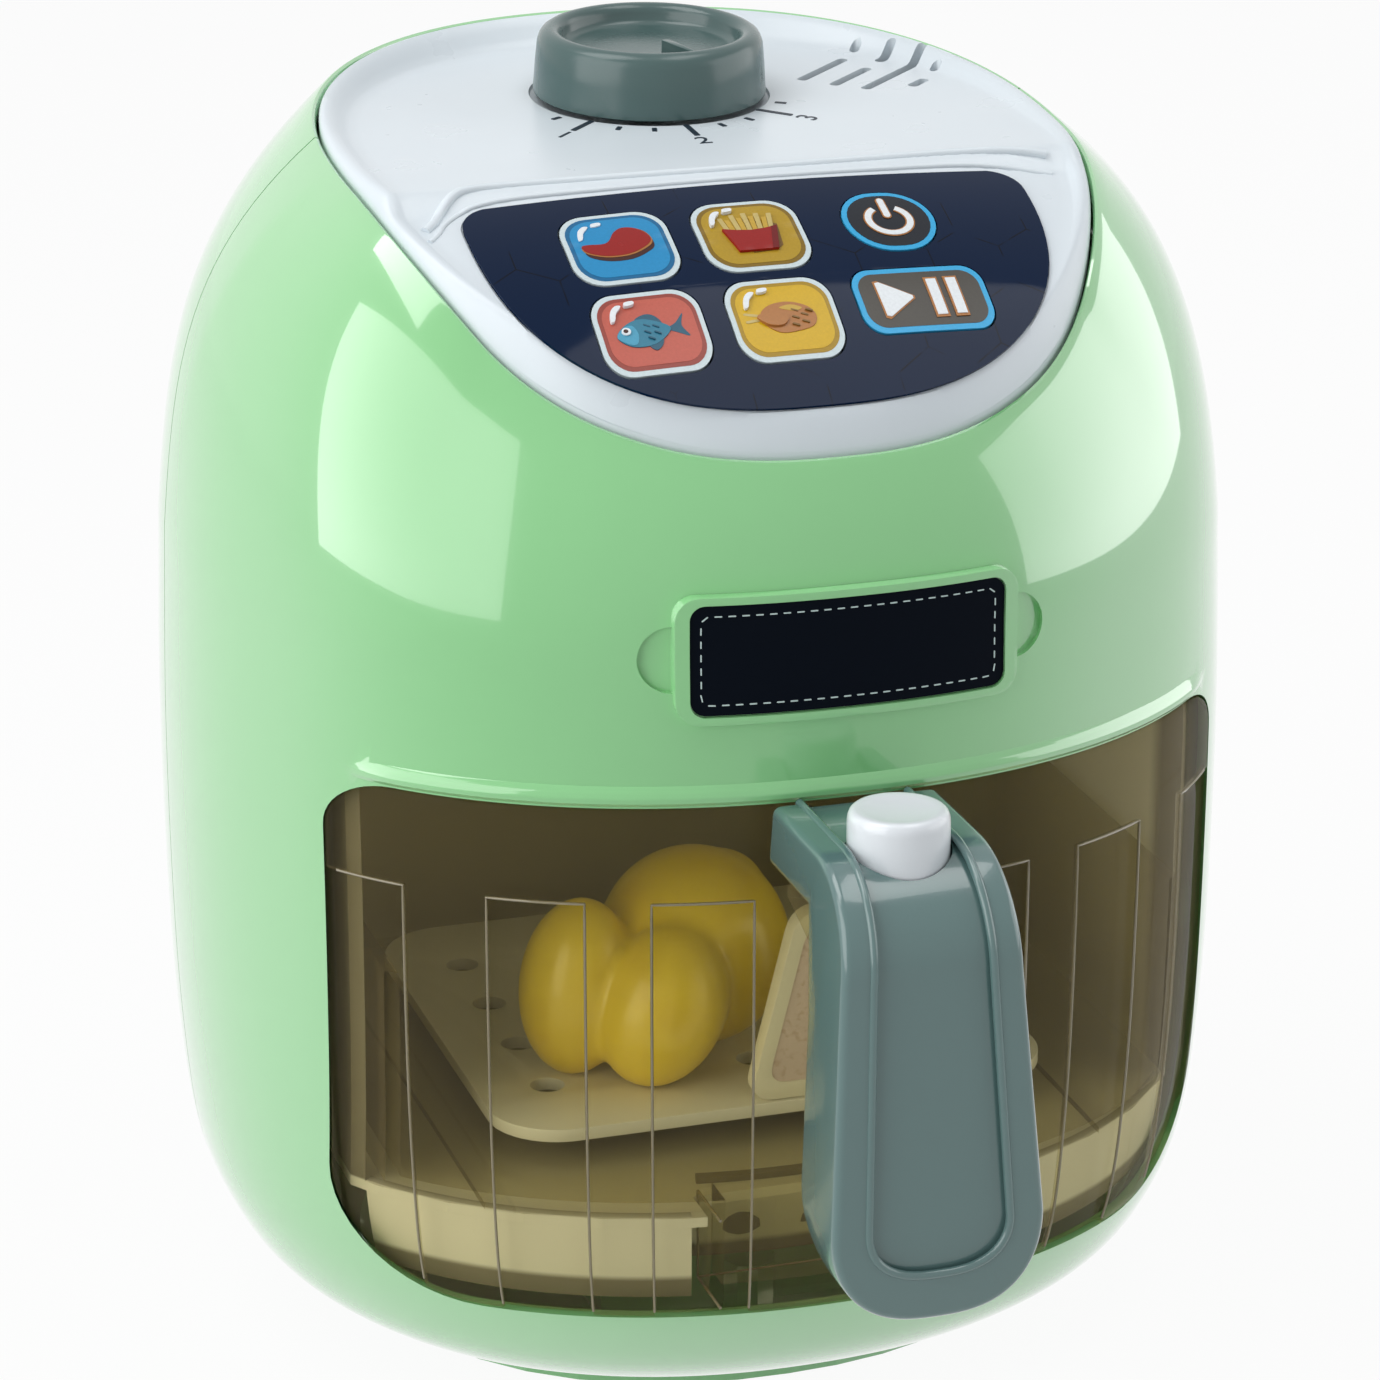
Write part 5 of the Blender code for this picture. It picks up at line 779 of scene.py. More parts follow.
def copies(rule, wire, spots, ahead, finish):
    """Return a rule's piece on its spots, its Z outwards and its X along the way ahead."""
    outward = rule.node("GeometryNodeInputNamedAttribute", {"data_type": "FLOAT_VECTOR"}, Name="outward")
    first = rule.node("FunctionNodeAlignRotationToVector", {"axis": "Z"}, Vector=outward.outputs[0])
    turn = rule.node("FunctionNodeAlignRotationToVector", {"axis": "X", "pivot_axis": "Z"},
                     Rotation=first.outputs[0], Vector=ahead)
    piece = rule.node("GeometryNodeObjectInfo", Object=rule.given("Piece"), As_Instance=True)
    placed = rule.node("GeometryNodeInstanceOnPoints", Points=spots, Instance=piece.outputs["Geometry"],
                       Rotation=turn.outputs[0])
    made = rule.run(wire, placed.outputs[0], finish)
    bpy.data.objects.remove(rule.values.popitem()[1], do_unlink=True)
    return made


class Finish(Graph):
    """One material: a Principled shader and the nodes that feed it."""

    def __init__(self, name, colour, roughness=0.35, **settings):
        self.material = bpy.data.materials.new(name)
        self.material.use_nodes = True
        self.tree = self.material.node_tree
        self.shader = self.tree.nodes["Principled BSDF"]
        self.put("Base Color", (*colour, 1.0))
        self.put("Roughness", roughness)
        for key, value in settings.items():
            self.put(key.replace("_", " ").title().replace("Ior", "IOR"), value)
        self.material.diffuse_color = (*colour, 1.0)

    def put(self, name, value):
        """Set or link one socket of the shader."""
        self.feed(self.shader.inputs[name], value)

    def place(self):
        """Return the X, Y and Z of the object's own coordinates."""
        spot = self.node("ShaderNodeTexCoord").outputs["Object"]
        parts = self.node("ShaderNodeSeparateXYZ", Vector=spot)
        return [Wire(self.tree, parts.outputs[k]) for k in range(3)]

    def noise(self, scale, detail=2.0, stretch=None):
        """Return smooth noise from 0 to 1 over the object, at a scale in lumps per metre."""
        spot = self.node("ShaderNodeTexCoord").outputs["Object"]
        if stretch is not None:
            spot = self.node("ShaderNodeMapping", Vector=spot, Scale=stretch).outputs["Vector"]
        node = self.node("ShaderNodeTexNoise", Vector=spot, Scale=scale, Detail=detail)
        return Wire(self.tree, node.outputs["Fac"])

    def mix(self, factor, first, second):
        """Return a colour between two, each a colour or a socket."""
        node = self.node("ShaderNodeMix", {"data_type": "RGBA"})
        sockets = [socket for socket in node.inputs if socket.enabled]
        for socket, value in zip(sockets, (factor, first, second)):
            self.feed(socket, (*value[:3], 1.0) if isinstance(value, tuple) else value)
        return [socket for socket in node.outputs if socket.enabled][0]

    def bump(self, height, depth):
        """Feed the shader's normal from a height in shares of a depth in metres."""
        node = self.node("ShaderNodeBump", Height=height, Distance=depth, Strength=1.0)
        self.put("Normal", node.outputs["Normal"])

    def mottle(self, colour, scale, darker, lighter, detail=3.0):
        """Return a colour that wanders between a darker and a lighter one."""
        return self.mix(self.noise(scale, detail), shade(colour, darker), shade(colour, lighter))

    def surface(self, colour, rough=None, grain=None):
        """Feed colour, roughness (base, noise scale, detail, amount) and grain (scale, detail, depth)."""
        self.put("Base Color", colour)
        if rough:
            base, scale, detail, amount = rough
            self.put("Roughness", base + self.noise(scale, detail) * amount)
        if grain:
            scale, detail, depth = grain
            self.bump(self.noise(scale, detail), depth)
        return self.material


def shade(colour, amount):
    """Return a colour made lighter or darker by a factor."""
    return tuple(min(value * amount, 1.0) for value in colour)


def moulded(name, colour, roughness=0.30, grain=GRAIN, tone=0.05, coat=0.0):
    """Return a moulded plastic: faint flow mottling, orange-peel grain and handling smudges."""
    finish = Finish(name, colour, roughness, coat_weight=coat, coat_roughness=0.03, ior=1.5)
    return finish.surface(finish.mottle(colour, 38.0, 1.0 - tone, 1.0 + tone * 0.6),
                          (roughness - 0.08, 95.0, 4.0, 0.16), (1500.0, 2.0, grain))


def lacquered(name, colour):
    """Return the housing's plastic: glossy all over, its lacquer gleaming more towards the outline."""
    finish = Finish(name, colour, 0.12, ior=1.45, coat_roughness=0.03, coat_ior=2.4)
    edge = Wire(finish.tree, finish.node("ShaderNodeLayerWeight", Blend=0.5).outputs["Facing"])
    finish.put("Coat Weight", 0.20 + edge.ramp(0.06, 0.42) * 0.80)
    return finish.surface(finish.mottle(colour, 38.0, 0.97, 1.02), (0.10, 95.0, 4.0, 0.06),
                          (1500.0, 2.0, 0.000003))


def printed(name, colour, roughness=0.22, gloss=0.22):
    """Return a printed film: flat ink with a fine screen grain and a thin glaze."""
    finish = Finish(name, colour, roughness, specular_ior_level=gloss)
    return finish.surface(finish.mottle(colour, 2600.0, 0.90, 1.08, 1.0), (roughness, 120.0, 3.0, 0.08),
                          (900.0, 2.0, 0.000004))


def night_print(name, colour, line_colour):
    """Return the control film: navy ink with faint broken honeycomb lines under a glossy glaze."""
    finish = Finish(name, colour, 0.06, specular_ior_level=0.10)
    u, v = finish.place()[:2]
    size = 0.0110
    tall = size * math.sqrt(3)
    first_u, first_v = (u + size * 40).repeat(size) - size / 2, (v + tall * 40).repeat(tall) - tall / 2
    other_u = (u + size * 40.5).repeat(size) - size / 2
    other_v = (v + tall * 40.5).repeat(tall) - tall / 2
    nearer = (first_u * first_u + first_v * first_v).under(other_u * other_u + other_v * other_v)
    cell_u = abs(first_u * nearer + other_u * (1 - nearer))
    cell_v = abs(first_v * nearer + other_v * (1 - nearer))
    edge = size / 2 - cell_u.high(cell_u * 0.5 + cell_v * (math.sqrt(3) / 2))
    line = (1 - edge.ramp(0.00005, 0.00016)) * finish.noise(110.0, 2.0).ramp(0.50, 0.58)
    ink = finish.mottle(colour, 30.0, 0.82, 1.18, 2.0)
    return finish.surface(finish.mix(line * 0.85, ink, line_colour), (0.03, 160.0, 3.0, 0.06))


def clear_smoke(name, tint, gloss_colour):
    """Return see-through smoked plastic: tinted clear body under a surface that gleams at its edges."""
    finish = Finish(name, gloss_colour, 0.05)
    clear = finish.node("ShaderNodeBsdfTransparent", Color=(*tint, 1.0))
    edge = Wire(finish.tree, finish.node("ShaderNodeLayerWeight", Blend=0.30).outputs["Facing"])
    finish.end_in_blend("Material Output", (0.07 + edge * edge * 0.55).low(0.9), clear.outputs[0],
                        finish.shader.outputs[0])
    return finish.surface(finish.mottle(gloss_colour, 60.0, 0.85, 1.15), (0.04, 140.0, 3.0, 0.06),
                          (420.0, 2.0, 0.000010))


def chamber_plastic_with_painted_shade(name, pale, painted_shade_colour):
    """Return the chamber's plastic: pale, with painted shade darkening its front edges and its lowest strip.
    """
    finish = Finish(name, pale, 0.45)
    x, y, z = finish.place()
    along = (y - AXIS.y) / HALF_DEPTH
    across = x / HALF_WIDTH
    # painted shade: the liner's front edges above the sill darken towards the shade colour
    front = (across * across + along * along).ramp(0.80, 0.87) * z.ramp(0.0395, 0.0400)
    # painted shade: the lowest strip darkens towards the shade colour
    low = 1 - z.ramp(0.0285, 0.0298)
    plain = finish.mottle(pale, 60.0, 0.95, 1.03)
    return finish.surface(finish.mix(front.high(low), plain, painted_shade_colour), (0.40, 110.0, 3.0, 0.12),
                          (900.0, 2.0, 0.000010))


def metal(name, colour, roughness=0.28):
    """Return plated steel with fine tool marks and a few duller patches."""
    finish = Finish(name, colour, roughness, metallic=1.0)
    patch = finish.noise(240.0, 3.0)
    finish.put("Base Color", finish.mix(patch, shade(colour, 0.82), shade(colour, 1.08)))
    finish.put("Roughness", roughness + (patch - 0.5) * 0.25)
    finish.bump(finish.noise(5200.0, 1.0, (1.0, 1.0, 0.15)), 0.000008)
    return finish.material


def toast_crumb(name, crust, crumb):
    """Return toast: a pinkish face with fine pores and browner patches."""
    finish = Finish(name, crumb, 0.55)
    pores = finish.noise(900.0, 4.0).ramp(0.52, 0.66)
    base = finish.mottle(crumb, 120.0, 0.86, 1.10)
    return finish.surface(finish.mix(pores * 0.35, base, crust), grain=(900.0, 3.0, 0.00006))


def browned_with_painted_low_shade(name, light, deep):
    """Return a toy roast's skin: golden with deeper browning in patches, and darker low down as painted
    shade.
    """
    finish = Finish(name, light, 0.30, coat_weight=0.25, coat_roughness=0.15)
    patch = finish.noise(85.0, 3.0)
    # painted shade: the bird darkens towards its bottom
    low = 1 - finish.place()[2].ramp(0.048, 0.070)
    tone = finish.mix((patch.ramp(0.50, 0.78) * 0.45 + low * 0.20).low(1.0), light, deep)
    return finish.surface(tone, (0.26, 220.0, 3.0, 0.14), (700.0, 3.0, 0.00004))


def sleeve(name, colour, band):
    """Return a cell's printed sleeve: dark, with a coppery band towards one end."""
    finish = Finish(name, colour, 0.30, metallic=0.6)
    mask = (finish.place()[1] - AXIS.y).ramp(0.0120, 0.0122)
    return finish.surface(finish.mix(mask, colour, band), (0.25, 160.0, 3.0, 0.15))


def circuit(name, colour, track):
    """Return a circuit board: solder mask with faint copper tracks under it."""
    finish = Finish(name, colour, 0.35, coat_weight=0.3, coat_roughness=0.2)
    lanes = (finish.place()[0] + 0.5).repeat(0.0030)
    line = 1 - abs(lanes - 0.0015).ramp(0.00025, 0.00040)
    gate = finish.noise(180.0, 1.0).ramp(0.50, 0.54)
    finish.put("Base Color", finish.mix(line * gate, colour, track))
    finish.bump(line * gate, 0.00003)
    return finish.material


# the chamber's pale plastic darkened as painted shade, for its shadowed parts
CHAMBER_PAINTED_SHADE = (0.16, 0.14, 0.09)
PLASTICS = {
    "chamber_painted_shade": ("dim_chamber_plastic", CHAMBER_PAINTED_SHADE, 0.45, GRAIN, 0.06),
    "smoke_edge": ("smoked_plastic_edge", (0.22, 0.185, 0.105), 0.12, 0.000004, 0.1, 0.5),
    "button": ("white_button_plastic", (0.80, 0.84, 0.87), 0.22, GRAIN, 0.02, 0.3),
    "rack": ("cream_rack_plastic", (0.86, 0.84, 0.74), 0.38, GRAIN, 0.05),
    "crust": ("crust_cream_plastic", (0.86, 0.82, 0.68), 0.45, GRAIN, 0.06),
    "rubber": ("grey_silicone_rubber", (0.10, 0.10, 0.11), 0.75, 0.00003, 0.1),
    "cone": ("black_speaker_cone", (0.018, 0.018, 0.020), 0.65, 0.00004, 0.2),
    "lens": ("amber_lens_plastic", (0.80, 0.26, 0.04), 0.12, 0.000004, 0.1),
    "leaf": ("cream_click_plastic", (0.78, 0.72, 0.55), 0.4),
}
PRINTS = {
    "stitch": ("pale_stitch_print", (0.55, 0.68, 0.66)),
    "ink": ("dark_scale_print", (0.012, 0.022, 0.035), 0.4),
    "tile_edge": ("tile_pale_border", (0.62, 0.72, 0.74)),
    "tile_blue": ("tile_blue_ink", (0.020, 0.260, 0.530)),
    "tile_blue_rim": ("tile_deep_blue_ink", (0.008, 0.130, 0.290)),
    "tile_ochre": ("tile_ochre_ink", (0.440, 0.280, 0.020)),
    "tile_ochre_rim": ("tile_deep_ochre_ink", (0.220, 0.130, 0.008)),
    "tile_coral": ("tile_coral_ink", (0.520, 0.110, 0.075)),
    "tile_coral_rim": ("tile_deep_coral_ink", (0.300, 0.055, 0.038)),
    "tile_yellow": ("tile_yellow_ink", (0.640, 0.400, 0.010)),
    "tile_yellow_rim": ("tile_deep_yellow_ink", (0.380, 0.230, 0.006)),
    "ring_blue": ("key_ring_blue_ink", (0.040, 0.400, 0.720)),
    "key_night": ("key_night_ink", (0.004, 0.007, 0.014)),
    "key_grey": ("key_grey_brown_ink", (0.062, 0.056, 0.046)),
    "ink_white": ("symbol_white_ink", (0.80, 0.84, 0.86)),
    "ink_cream": ("symbol_cream_ink", (0.56, 0.44, 0.16)),
    "ink_gold": ("symbol_gold_ink", (0.560, 0.360, 0.050)),
    "ink_red": ("symbol_red_ink", (0.300, 0.010, 0.008)),
    "ink_deep_red": ("symbol_deep_red_ink", (0.160, 0.006, 0.006)),
    "ink_dark": ("symbol_dark_ink", (0.050, 0.012, 0.008)),
    "ink_orange": ("symbol_orange_ink", (0.420, 0.170, 0.045)),
    "ink_brown": ("symbol_brown_ink", (0.200, 0.105, 0.020)),
    "ink_teal": ("symbol_teal_ink", (0.030, 0.200, 0.300)),
    "ink_sea": ("symbol_deep_teal_ink", (0.020, 0.100, 0.160)),
    "ink_sky": ("symbol_sky_ink", (0.070, 0.340, 0.500)),
}


# settings


def colour_setting(name, description, default):
    """Return a colour property."""
    return bpy.props.FloatVectorProperty(name=name, description=description, subtype="COLOR", size=3, min=0.0,
                                         max=1.0, default=default)


def length_setting(name, description, default):
    """Return a length property."""
    return bpy.props.FloatProperty(name=name, description=description, subtype="DISTANCE", unit="LENGTH",
                                   min=0.0, precision=5, default=default)


class FryerColours(bpy.types.PropertyGroup):
    """Colours of the toy's mouldings and prints."""

    housing: colour_setting("Housing", "Colour of the shells and the base", (0.250, 0.620, 0.255))
    lid: colour_setting("Lid", "Colour of the panel round the keys and the dial", (0.725, 0.790, 0.830))
    knob: colour_setting("Knob and handle", "Colour of the dial knob and the handle", (0.100, 0.185, 0.178))
    smoke: colour_setting("Drawer tint", "Colour of light through the drawer's wall", (0.986, 0.968, 0.862))
    film: colour_setting("Control film", "Colour of the film that frames the keys", (0.0006, 0.0105, 0.0400))
    label: colour_setting("Name label", "Colour of the bare label on the front", (0.0016, 0.0036, 0.0080))


class FryerSizes(bpy.types.PropertyGroup):
    """Sizes of the finish that a maker might change."""

    seam: length_setting("Seam", "Gap between a moulding and the one next to it", 0.0004)
    lid_bead: length_setting("Lid bead", "Height of the raised bead round the lid", 0.0012)
    ridge: length_setting("Lid ridge", "Radius of the raised line behind the keys", 0.00075)
    flute_edge: length_setting("Flute edge", "Radius of the rounded lines along the drawer's flutes", 0.00022)
    grip_bead: length_setting("Grip bead", "Radius of the raised line round the handle's sunk face", 0.00065)
    handle_edge: length_setting("Handle edge", "Radius of the handle's rounded edges", 0.0012)
    dash_length: length_setting("Stitch dash", "Length of one dash of the label's border", 0.0009)
    tick_width: length_setting("Tick width", "Width of the dial's scale marks", 0.0009)


class Builder:
    """What every operator shares: its run, its settings and its finishes, made once."""

    finishes = {}

    def execute(self, context):
        """Build the operator's pieces."""
        self.build()
        return {"FINISHED"}

    @property
    def colours(self):
        """Return the colour settings."""
        return bpy.context.scene.fryer_colours

    @property
    def sizes(self):
        """Return the size settings."""
        return bpy.context.scene.fryer_sizes

    def finish(self, name):
        """Return a finish by name, made on first use."""
        if name not in Builder.finishes:
            Builder.finishes[name] = self.make_finish(name)
        return Builder.finishes[name]

    def make_finish(self, name):
        """Return a new material for one of the toy's finishes."""
        colours = self.colours
        if name in PLASTICS:
            return moulded(*PLASTICS[name])
        if name in PRINTS:
            return printed(*PRINTS[name])
        table = {
            "housing": lambda: lacquered("mint_plastic", colours.housing),
            # the chamber's pale plastic, with painted shade at its front edges and lowest strip
            "chamber": lambda: chamber_plastic_with_painted_shade("pale_chamber_plastic", (0.80, 0.78, 0.68), CHAMBER_PAINTED_SHADE),
            "lid": lambda: moulded("cool_white_plastic", colours.lid, 0.30, 0.000004, 0.03),
            "knob": lambda: moulded("grey_green_plastic", colours.knob, 0.20, tone=0.05, coat=0.6),
            # painted shade: the knob and handle plastic darkened to 0.62 for the dial knob
            "dial": lambda: moulded("grey_green_dial_plastic", shade(colours.knob, 0.62), 0.22, tone=0.05),
            "smoke": lambda: clear_smoke("smoked_clear_plastic", colours.smoke, (0.280, 0.225, 0.125)),
            "film": lambda: night_print("navy_control_film", colours.film, (0.0002, 0.0020, 0.0080)),
            "label": lambda: printed("bare_navy_label", colours.label, 0.30, 0.04),
            # the roast's golden plastic, browned in patches, with painted shade low down
            "bird": lambda: browned_with_painted_low_shade("roast_yellow_plastic", (0.94, 0.70, 0.04), (0.74, 0.48, 0.02)),
            "crumb": lambda: toast_crumb("toast_pink_plastic", (0.45, 0.28, 0.18), (0.74, 0.60, 0.56)),
            "steel": lambda: metal("zinc_plated_steel", (0.60, 0.60, 0.62)),
            "contact": lambda: metal("nickel_spring_steel", (0.66, 0.64, 0.58), 0.22),
            "board": lambda: circuit("green_circuit_board", (0.010, 0.105, 0.045), (0.03, 0.20, 0.08)),
            "cell": lambda: sleeve("cell_sleeve", (0.020, 0.020, 0.024), (0.62, 0.30, 0.12)),
        }
        return table[name]()


# operators


class FRYER_OT_housing(Builder, bpy.types.Operator):
    """Build the two shells with their window, visor, name-plate frame and screw wells"""

    bl_idname = "fryer.housing"
    bl_label = "Build Housing Shells"

    def build(self):
        """Make the shells."""
        angles = [math.tau * k / SEGMENTS for k in range(SEGMENTS)]
        heights = [EDGE_HEIGHT + (SHOULDER - EDGE_HEIGHT) * (k / 46) ** 1.55 for k in range(46)]
        rows = [[skin_point(angle, height) for angle in angles] for height in heights]
        rows += [[shoulder_point(angle, k / 22) for angle in angles] for k in range(23)]
        inner = [[self.inner_point(angle, k / 22) for angle in angles] for k in reversed(range(22))]
        inner += [[skin_point(angle, height, -WALL) for angle in angles] for height in reversed(heights)]
        lip = [[rim_point(angle, 0.9955, -0.00012) for angle in angles],
               [rim_point(angle, 0.989, 0.0001) for angle in angles],
               [rim_point(angle, LIP_SHARE, 0.0006) for angle in angles],
               [rim_point(angle, LIP_SHARE, 0.0022) for angle in angles]]
        reach = HALF_WIDTH * 3
        for node, low, high, shape in (("front_shell", -reach, SPLIT, self.shape_front),
                                       ("rear_shell", SPLIT + SPLIT_SEAM, reach, self.shape_rear)):
            bm = bmesh.new()
            add_rows(bm, rows + lip + inner + rows[:1], around=True)
            bmesh.ops.remove_doubles(bm, verts=bm.verts, dist=TINY / 100)
            shell = meshed(bm, node + "_skin")
            outline = [(reach, low), (reach, high), (-reach, high), (-reach, low)]
            half = plate("half", [outline], -reach, reach)
            combine(shell, [half], "INTERSECT")
            shape(shell)
            settle(shell, self.finish("housing"), "housing", (node,))

    def inner_point(self, angle, share):
        """Return a point of the shoulder's inner side."""
        spot = shoulder_point(angle, share)
        turn = shoulder_point(angle + TINY * 4, share) - shoulder_point(angle - TINY * 4, share)
        ahead = shoulder_point(angle, min(share + 0.01, 1.0)) - shoulder_point(angle, max(share - 0.01, 0.0))
        return spot - turn.cross(ahead).normalized() * WALL

    def shape_front(self, shell):
        """Cut the window and sink the plate and discs; raise the visor and the plate's frame."""
        window = plate("window", [rounded(-WINDOW_HALF_WIDTH, WINDOW_HALF_WIDTH, WINDOW_BOTTOM, WINDOW_TOP,
                                          WINDOW_CORNERS, 12)], FAR_FRONT, 0, "Y")
        combine(shell, [window], "DIFFERENCE")
        visor = slab("visor", visor_point, 56.0, 0.0, 1.0, -0.0012, 0.0, step_deg=0.8, step=1 / 18)
        frame_bar = self.patch("plate_frame", self.plate_outline(0.0), 23.0, 0.0125, -0.0010, 0.0011)
        soften(frame_bar, 0.0006, 3)
        discs = [self.patch("disc", ring(side * PLATE_HALF_WIDTH, PLATE_HEIGHT, DISC_RADIUS, 48), 30.0, 0.009,
                            -0.0009, 0.004, 0.6, 0.001) for side in (-1, 1)]
        combine(shell, discs, "DIFFERENCE")
        combine(shell, [visor, frame_bar], "UNION")
        seat = self.patch("seat", self.plate_outline(0.0020), 20.0, 0.0105, 0.0002, 0.004)
        combine(shell, [seat], "DIFFERENCE")

    def patch(self, name, outline, half_deg, half_tall, low, high, step_deg=0.5, step=0.0008):
        """Return a block round the name plate between two lifts, trimmed to an outline from the front."""
        block = slab(name, skin_point, half_deg, PLATE_HEIGHT - half_tall, PLATE_HEIGHT + half_tall, low,
                     high, step_deg=step_deg, step=step)
        return combine(block, [plate(name + "_prism", [outline], FAR_FRONT, 0, "Y")], "INTERSECT")

    def plate_outline(self, inset):
        """Return the name plate's outline, drawn in by an inset."""
        half, tall = PLATE_HALF_WIDTH - inset, PLATE_HALF_TALL - inset * 0.55
        corner = 0.0034 - inset * 0.6
        return rounded(-half, half, PLATE_HEIGHT - tall, PLATE_HEIGHT + tall, (corner,) * 4, 8)

    def shape_rear(self, shell):
        """Sink the four screw wells in the back."""
        wells = [plate("well", [ring(side * spread, height, WELL_RADIUS, 32)], SPLIT + WELL_FLOOR, 0.12, "Y")
                 for side in (-1, 1) for spread, height in WELL_PLACES]
        combine(shell, wells, "DIFFERENCE")


def visor_point(angle, share, lift):
    """Return a point of the visor's rounded section: share runs up it from the window's edge."""
    profile = ((0.0002, -0.0003), (0.0004, 0.00035), (0.0009, 0.00080), (0.0016, 0.00090), (0.0024, 0.00060),
               (0.0031, 0.00015), (0.0036, -0.0003))
    place = share * (len(profile) - 1)
    k = min(int(place), len(profile) - 2)
    rest = place - k
    up = profile[k][0] * (1 - rest) + profile[k + 1][0] * rest
    out = profile[k][1] * (1 - rest) + profile[k + 1][1] * rest
    fade = min(max((math.radians(57.0) - abs(angle)) / math.radians(9.0), 0.0), 1.0)
    fade = fade * fade * (3 - 2 * fade)
    return skin_point(angle, WINDOW_TOP + up, out * fade - 0.0003 * (1 - fade) if lift >= 0 else lift)


class FRYER_OT_lid(Builder, bpy.types.Operator):
    """Build the white lid with its bead, ridge, key openings and speaker slots"""

    bl_idname = "fryer.lid"
    bl_label = "Build Lid"

    def build(self):
        """Make the lid, its openings and the raised ridge."""
        bead = self.sizes.lid_bead
        section = ((0.0, 0.16, -0.55), (0.0, 0.02, 0.1), (0.10, 0.16, 0.72), (0.24, 0.38, 1.0),
                   (0.42, 0.62, 0.98), (0.62, 0.85, 0.66), (0.82, 0.97, 0.22), (1.0, 1.0, 0.0))
        shares = [0.968 - 0.95 * (k / 44) for k in range(44)]
        rows = []
        angles = [math.tau * k / SEGMENTS for k in range(SEGMENTS)]
        widths = [BEAD_SIDE + (BEAD_FRONT - BEAD_SIDE) * max(math.cos(angle), 0) for angle in angles]
        draw_in = LIP_SHARE * (1 - self.sizes.seam / RIM_HALF_WIDTH)
        for out, inner, up in section:
            row = [rim_point(angle, draw_in * (1 - width * out)) for angle, width in zip(angles, widths)]
            for angle, spot in zip(angles, row):
                edge = rim_point(angle, draw_in)
                spot.z = edge.z * (1 - inner) + lid_height(spot.x, spot.y) * inner + bead * up
            rows.append(row)
        for share in shares:
            row = [rim_point(angle, draw_in * (1 - width) * share) for angle, width in zip(angles, widths)]
            for spot in row:
                spot.z = lid_height(spot.x, spot.y)
            rows.append(row)
        bm = bmesh.new()
        top = add_rows(bm, rows, around=True)
        add_cap(bm, top[-1], (0, RIM_MIDDLE, lid_height(0, RIM_MIDDLE)))
        under = [[spot - Vector((0, 0, PANEL_THICKNESS)) for spot in rows[k]] for k in (0, 7, 20, 34, -1)]
        low = add_rows(bm, under, around=True)
        add_cap(bm, low[-1], (0, RIM_MIDDLE, lid_height(0, RIM_MIDDLE) - PANEL_THICKNESS))
        add_rows_between(bm, top[0], low[0])
        lid = meshed(bm, "lid_skin", 50.0)
        tools = [inlay("film_seat", [film_outline(0.0002)], control_point, -0.0003, 0.004)]
        for name, (x, y, wide, deep, corner) in KEYS.items():
            tools.append(inlay("key_hole", [key_outline(x, y, wide, deep, corner, 0.0003)], control_point,
                               -0.0063, 0.0047, 0.0021))
        tools += [plate("slot", [outline], 0.18, 0.196) for outline in slot_outlines()]
        tools.append(plate("shaft_hole", [ring(0, DIAL_PLACE, 0.0036)], 0.18, 0.196))
        well = lathe("knob_well", [(0, -0.0006), (0.0183, -0.0006), (0.0185, -0.0004), (0.0188, 0.002),
                                   (0, 0.002)])
        well.data.transform(DIAL_TURN)
        tools.append(well)
        combine(lid, tools, "DIFFERENCE", 50.0)
        settle(lid, self.finish("lid"), "housing", ("top_panel",))
        self.make_ridge()

    def make_ridge(self):
        """Make the raised line that bends down at its ends to meet the bead."""
        places = [(-0.0486, -0.0298), (-0.0470, -0.0283), (-0.0454, -0.0262), (-0.0426, -0.0241),
                  (-0.0395, -0.0232), (-0.0330, -0.0228), (-0.0200, -0.0228), (0.0, -0.0228),
                  (0.0200, -0.0228), (0.0330, -0.0228), (0.0395, -0.0232), (0.0440, -0.0238),
                  (0.0480, -0.0246)]
        points = open_curve(places, 6)
        radius = self.sizes.ridge
        strips = []
        for k, (shift, share) in enumerate(((0.0, 1.0), (-0.0026, 0.6))):
            wire = guide(f"ridge_{k + 1}", [lid_point(x, y + shift, -radius * 0.10) for x, y in points])
            strips.append(sweep("lid_ridge_sweep", wire, radius * share, self.finish("lid"), 12))
        ridge = joined("lid_ridge", strips)
        settle(ridge, self.finish("lid"), "housing", ())


def lid_point(across, along, lift=0.0):
    """Return a point of the lid, moved outwards by a lift."""
    return face_point(lid_height, across, along, lift)


def film_outline(grow=0.0):
    """Return the control film's half-moon outline in plan, grown by a gap."""
    half, back, front = OVERLAY_HALF_WIDTH + grow, OVERLAY_BACK + grow, OVERLAY_FRONT - grow
    points = []
    for k in range(61):
        across, along = oval(math.pi * (k / 60 - 0.5), half, OVERLAY_WAIST - front, OVERLAY_SQUARENESS)
        points.append((OVERLAY_MIDDLE + across, OVERLAY_WAIST + along))
    for side in (1, -1):
        for k in range(1, 9):
            angle = math.radians(90.0 * (k if side > 0 else 9 - k) / 9)
            points.append((OVERLAY_MIDDLE + side * (half - OVERLAY_CORNER * (1 - math.cos(angle))),
                           back - OVERLAY_CORNER * (1 - math.sin(angle))))
    return points


def key_outline(x, y, wide, deep, corner, grow=0.0, steps=8):
    """Return a key's rounded outline in plan."""
    wide, deep = wide + grow, deep + grow
    radius = min(wide, deep) * corner
    return rounded(x - wide, x + wide, y - deep, y + deep, (radius,) * 4, steps)


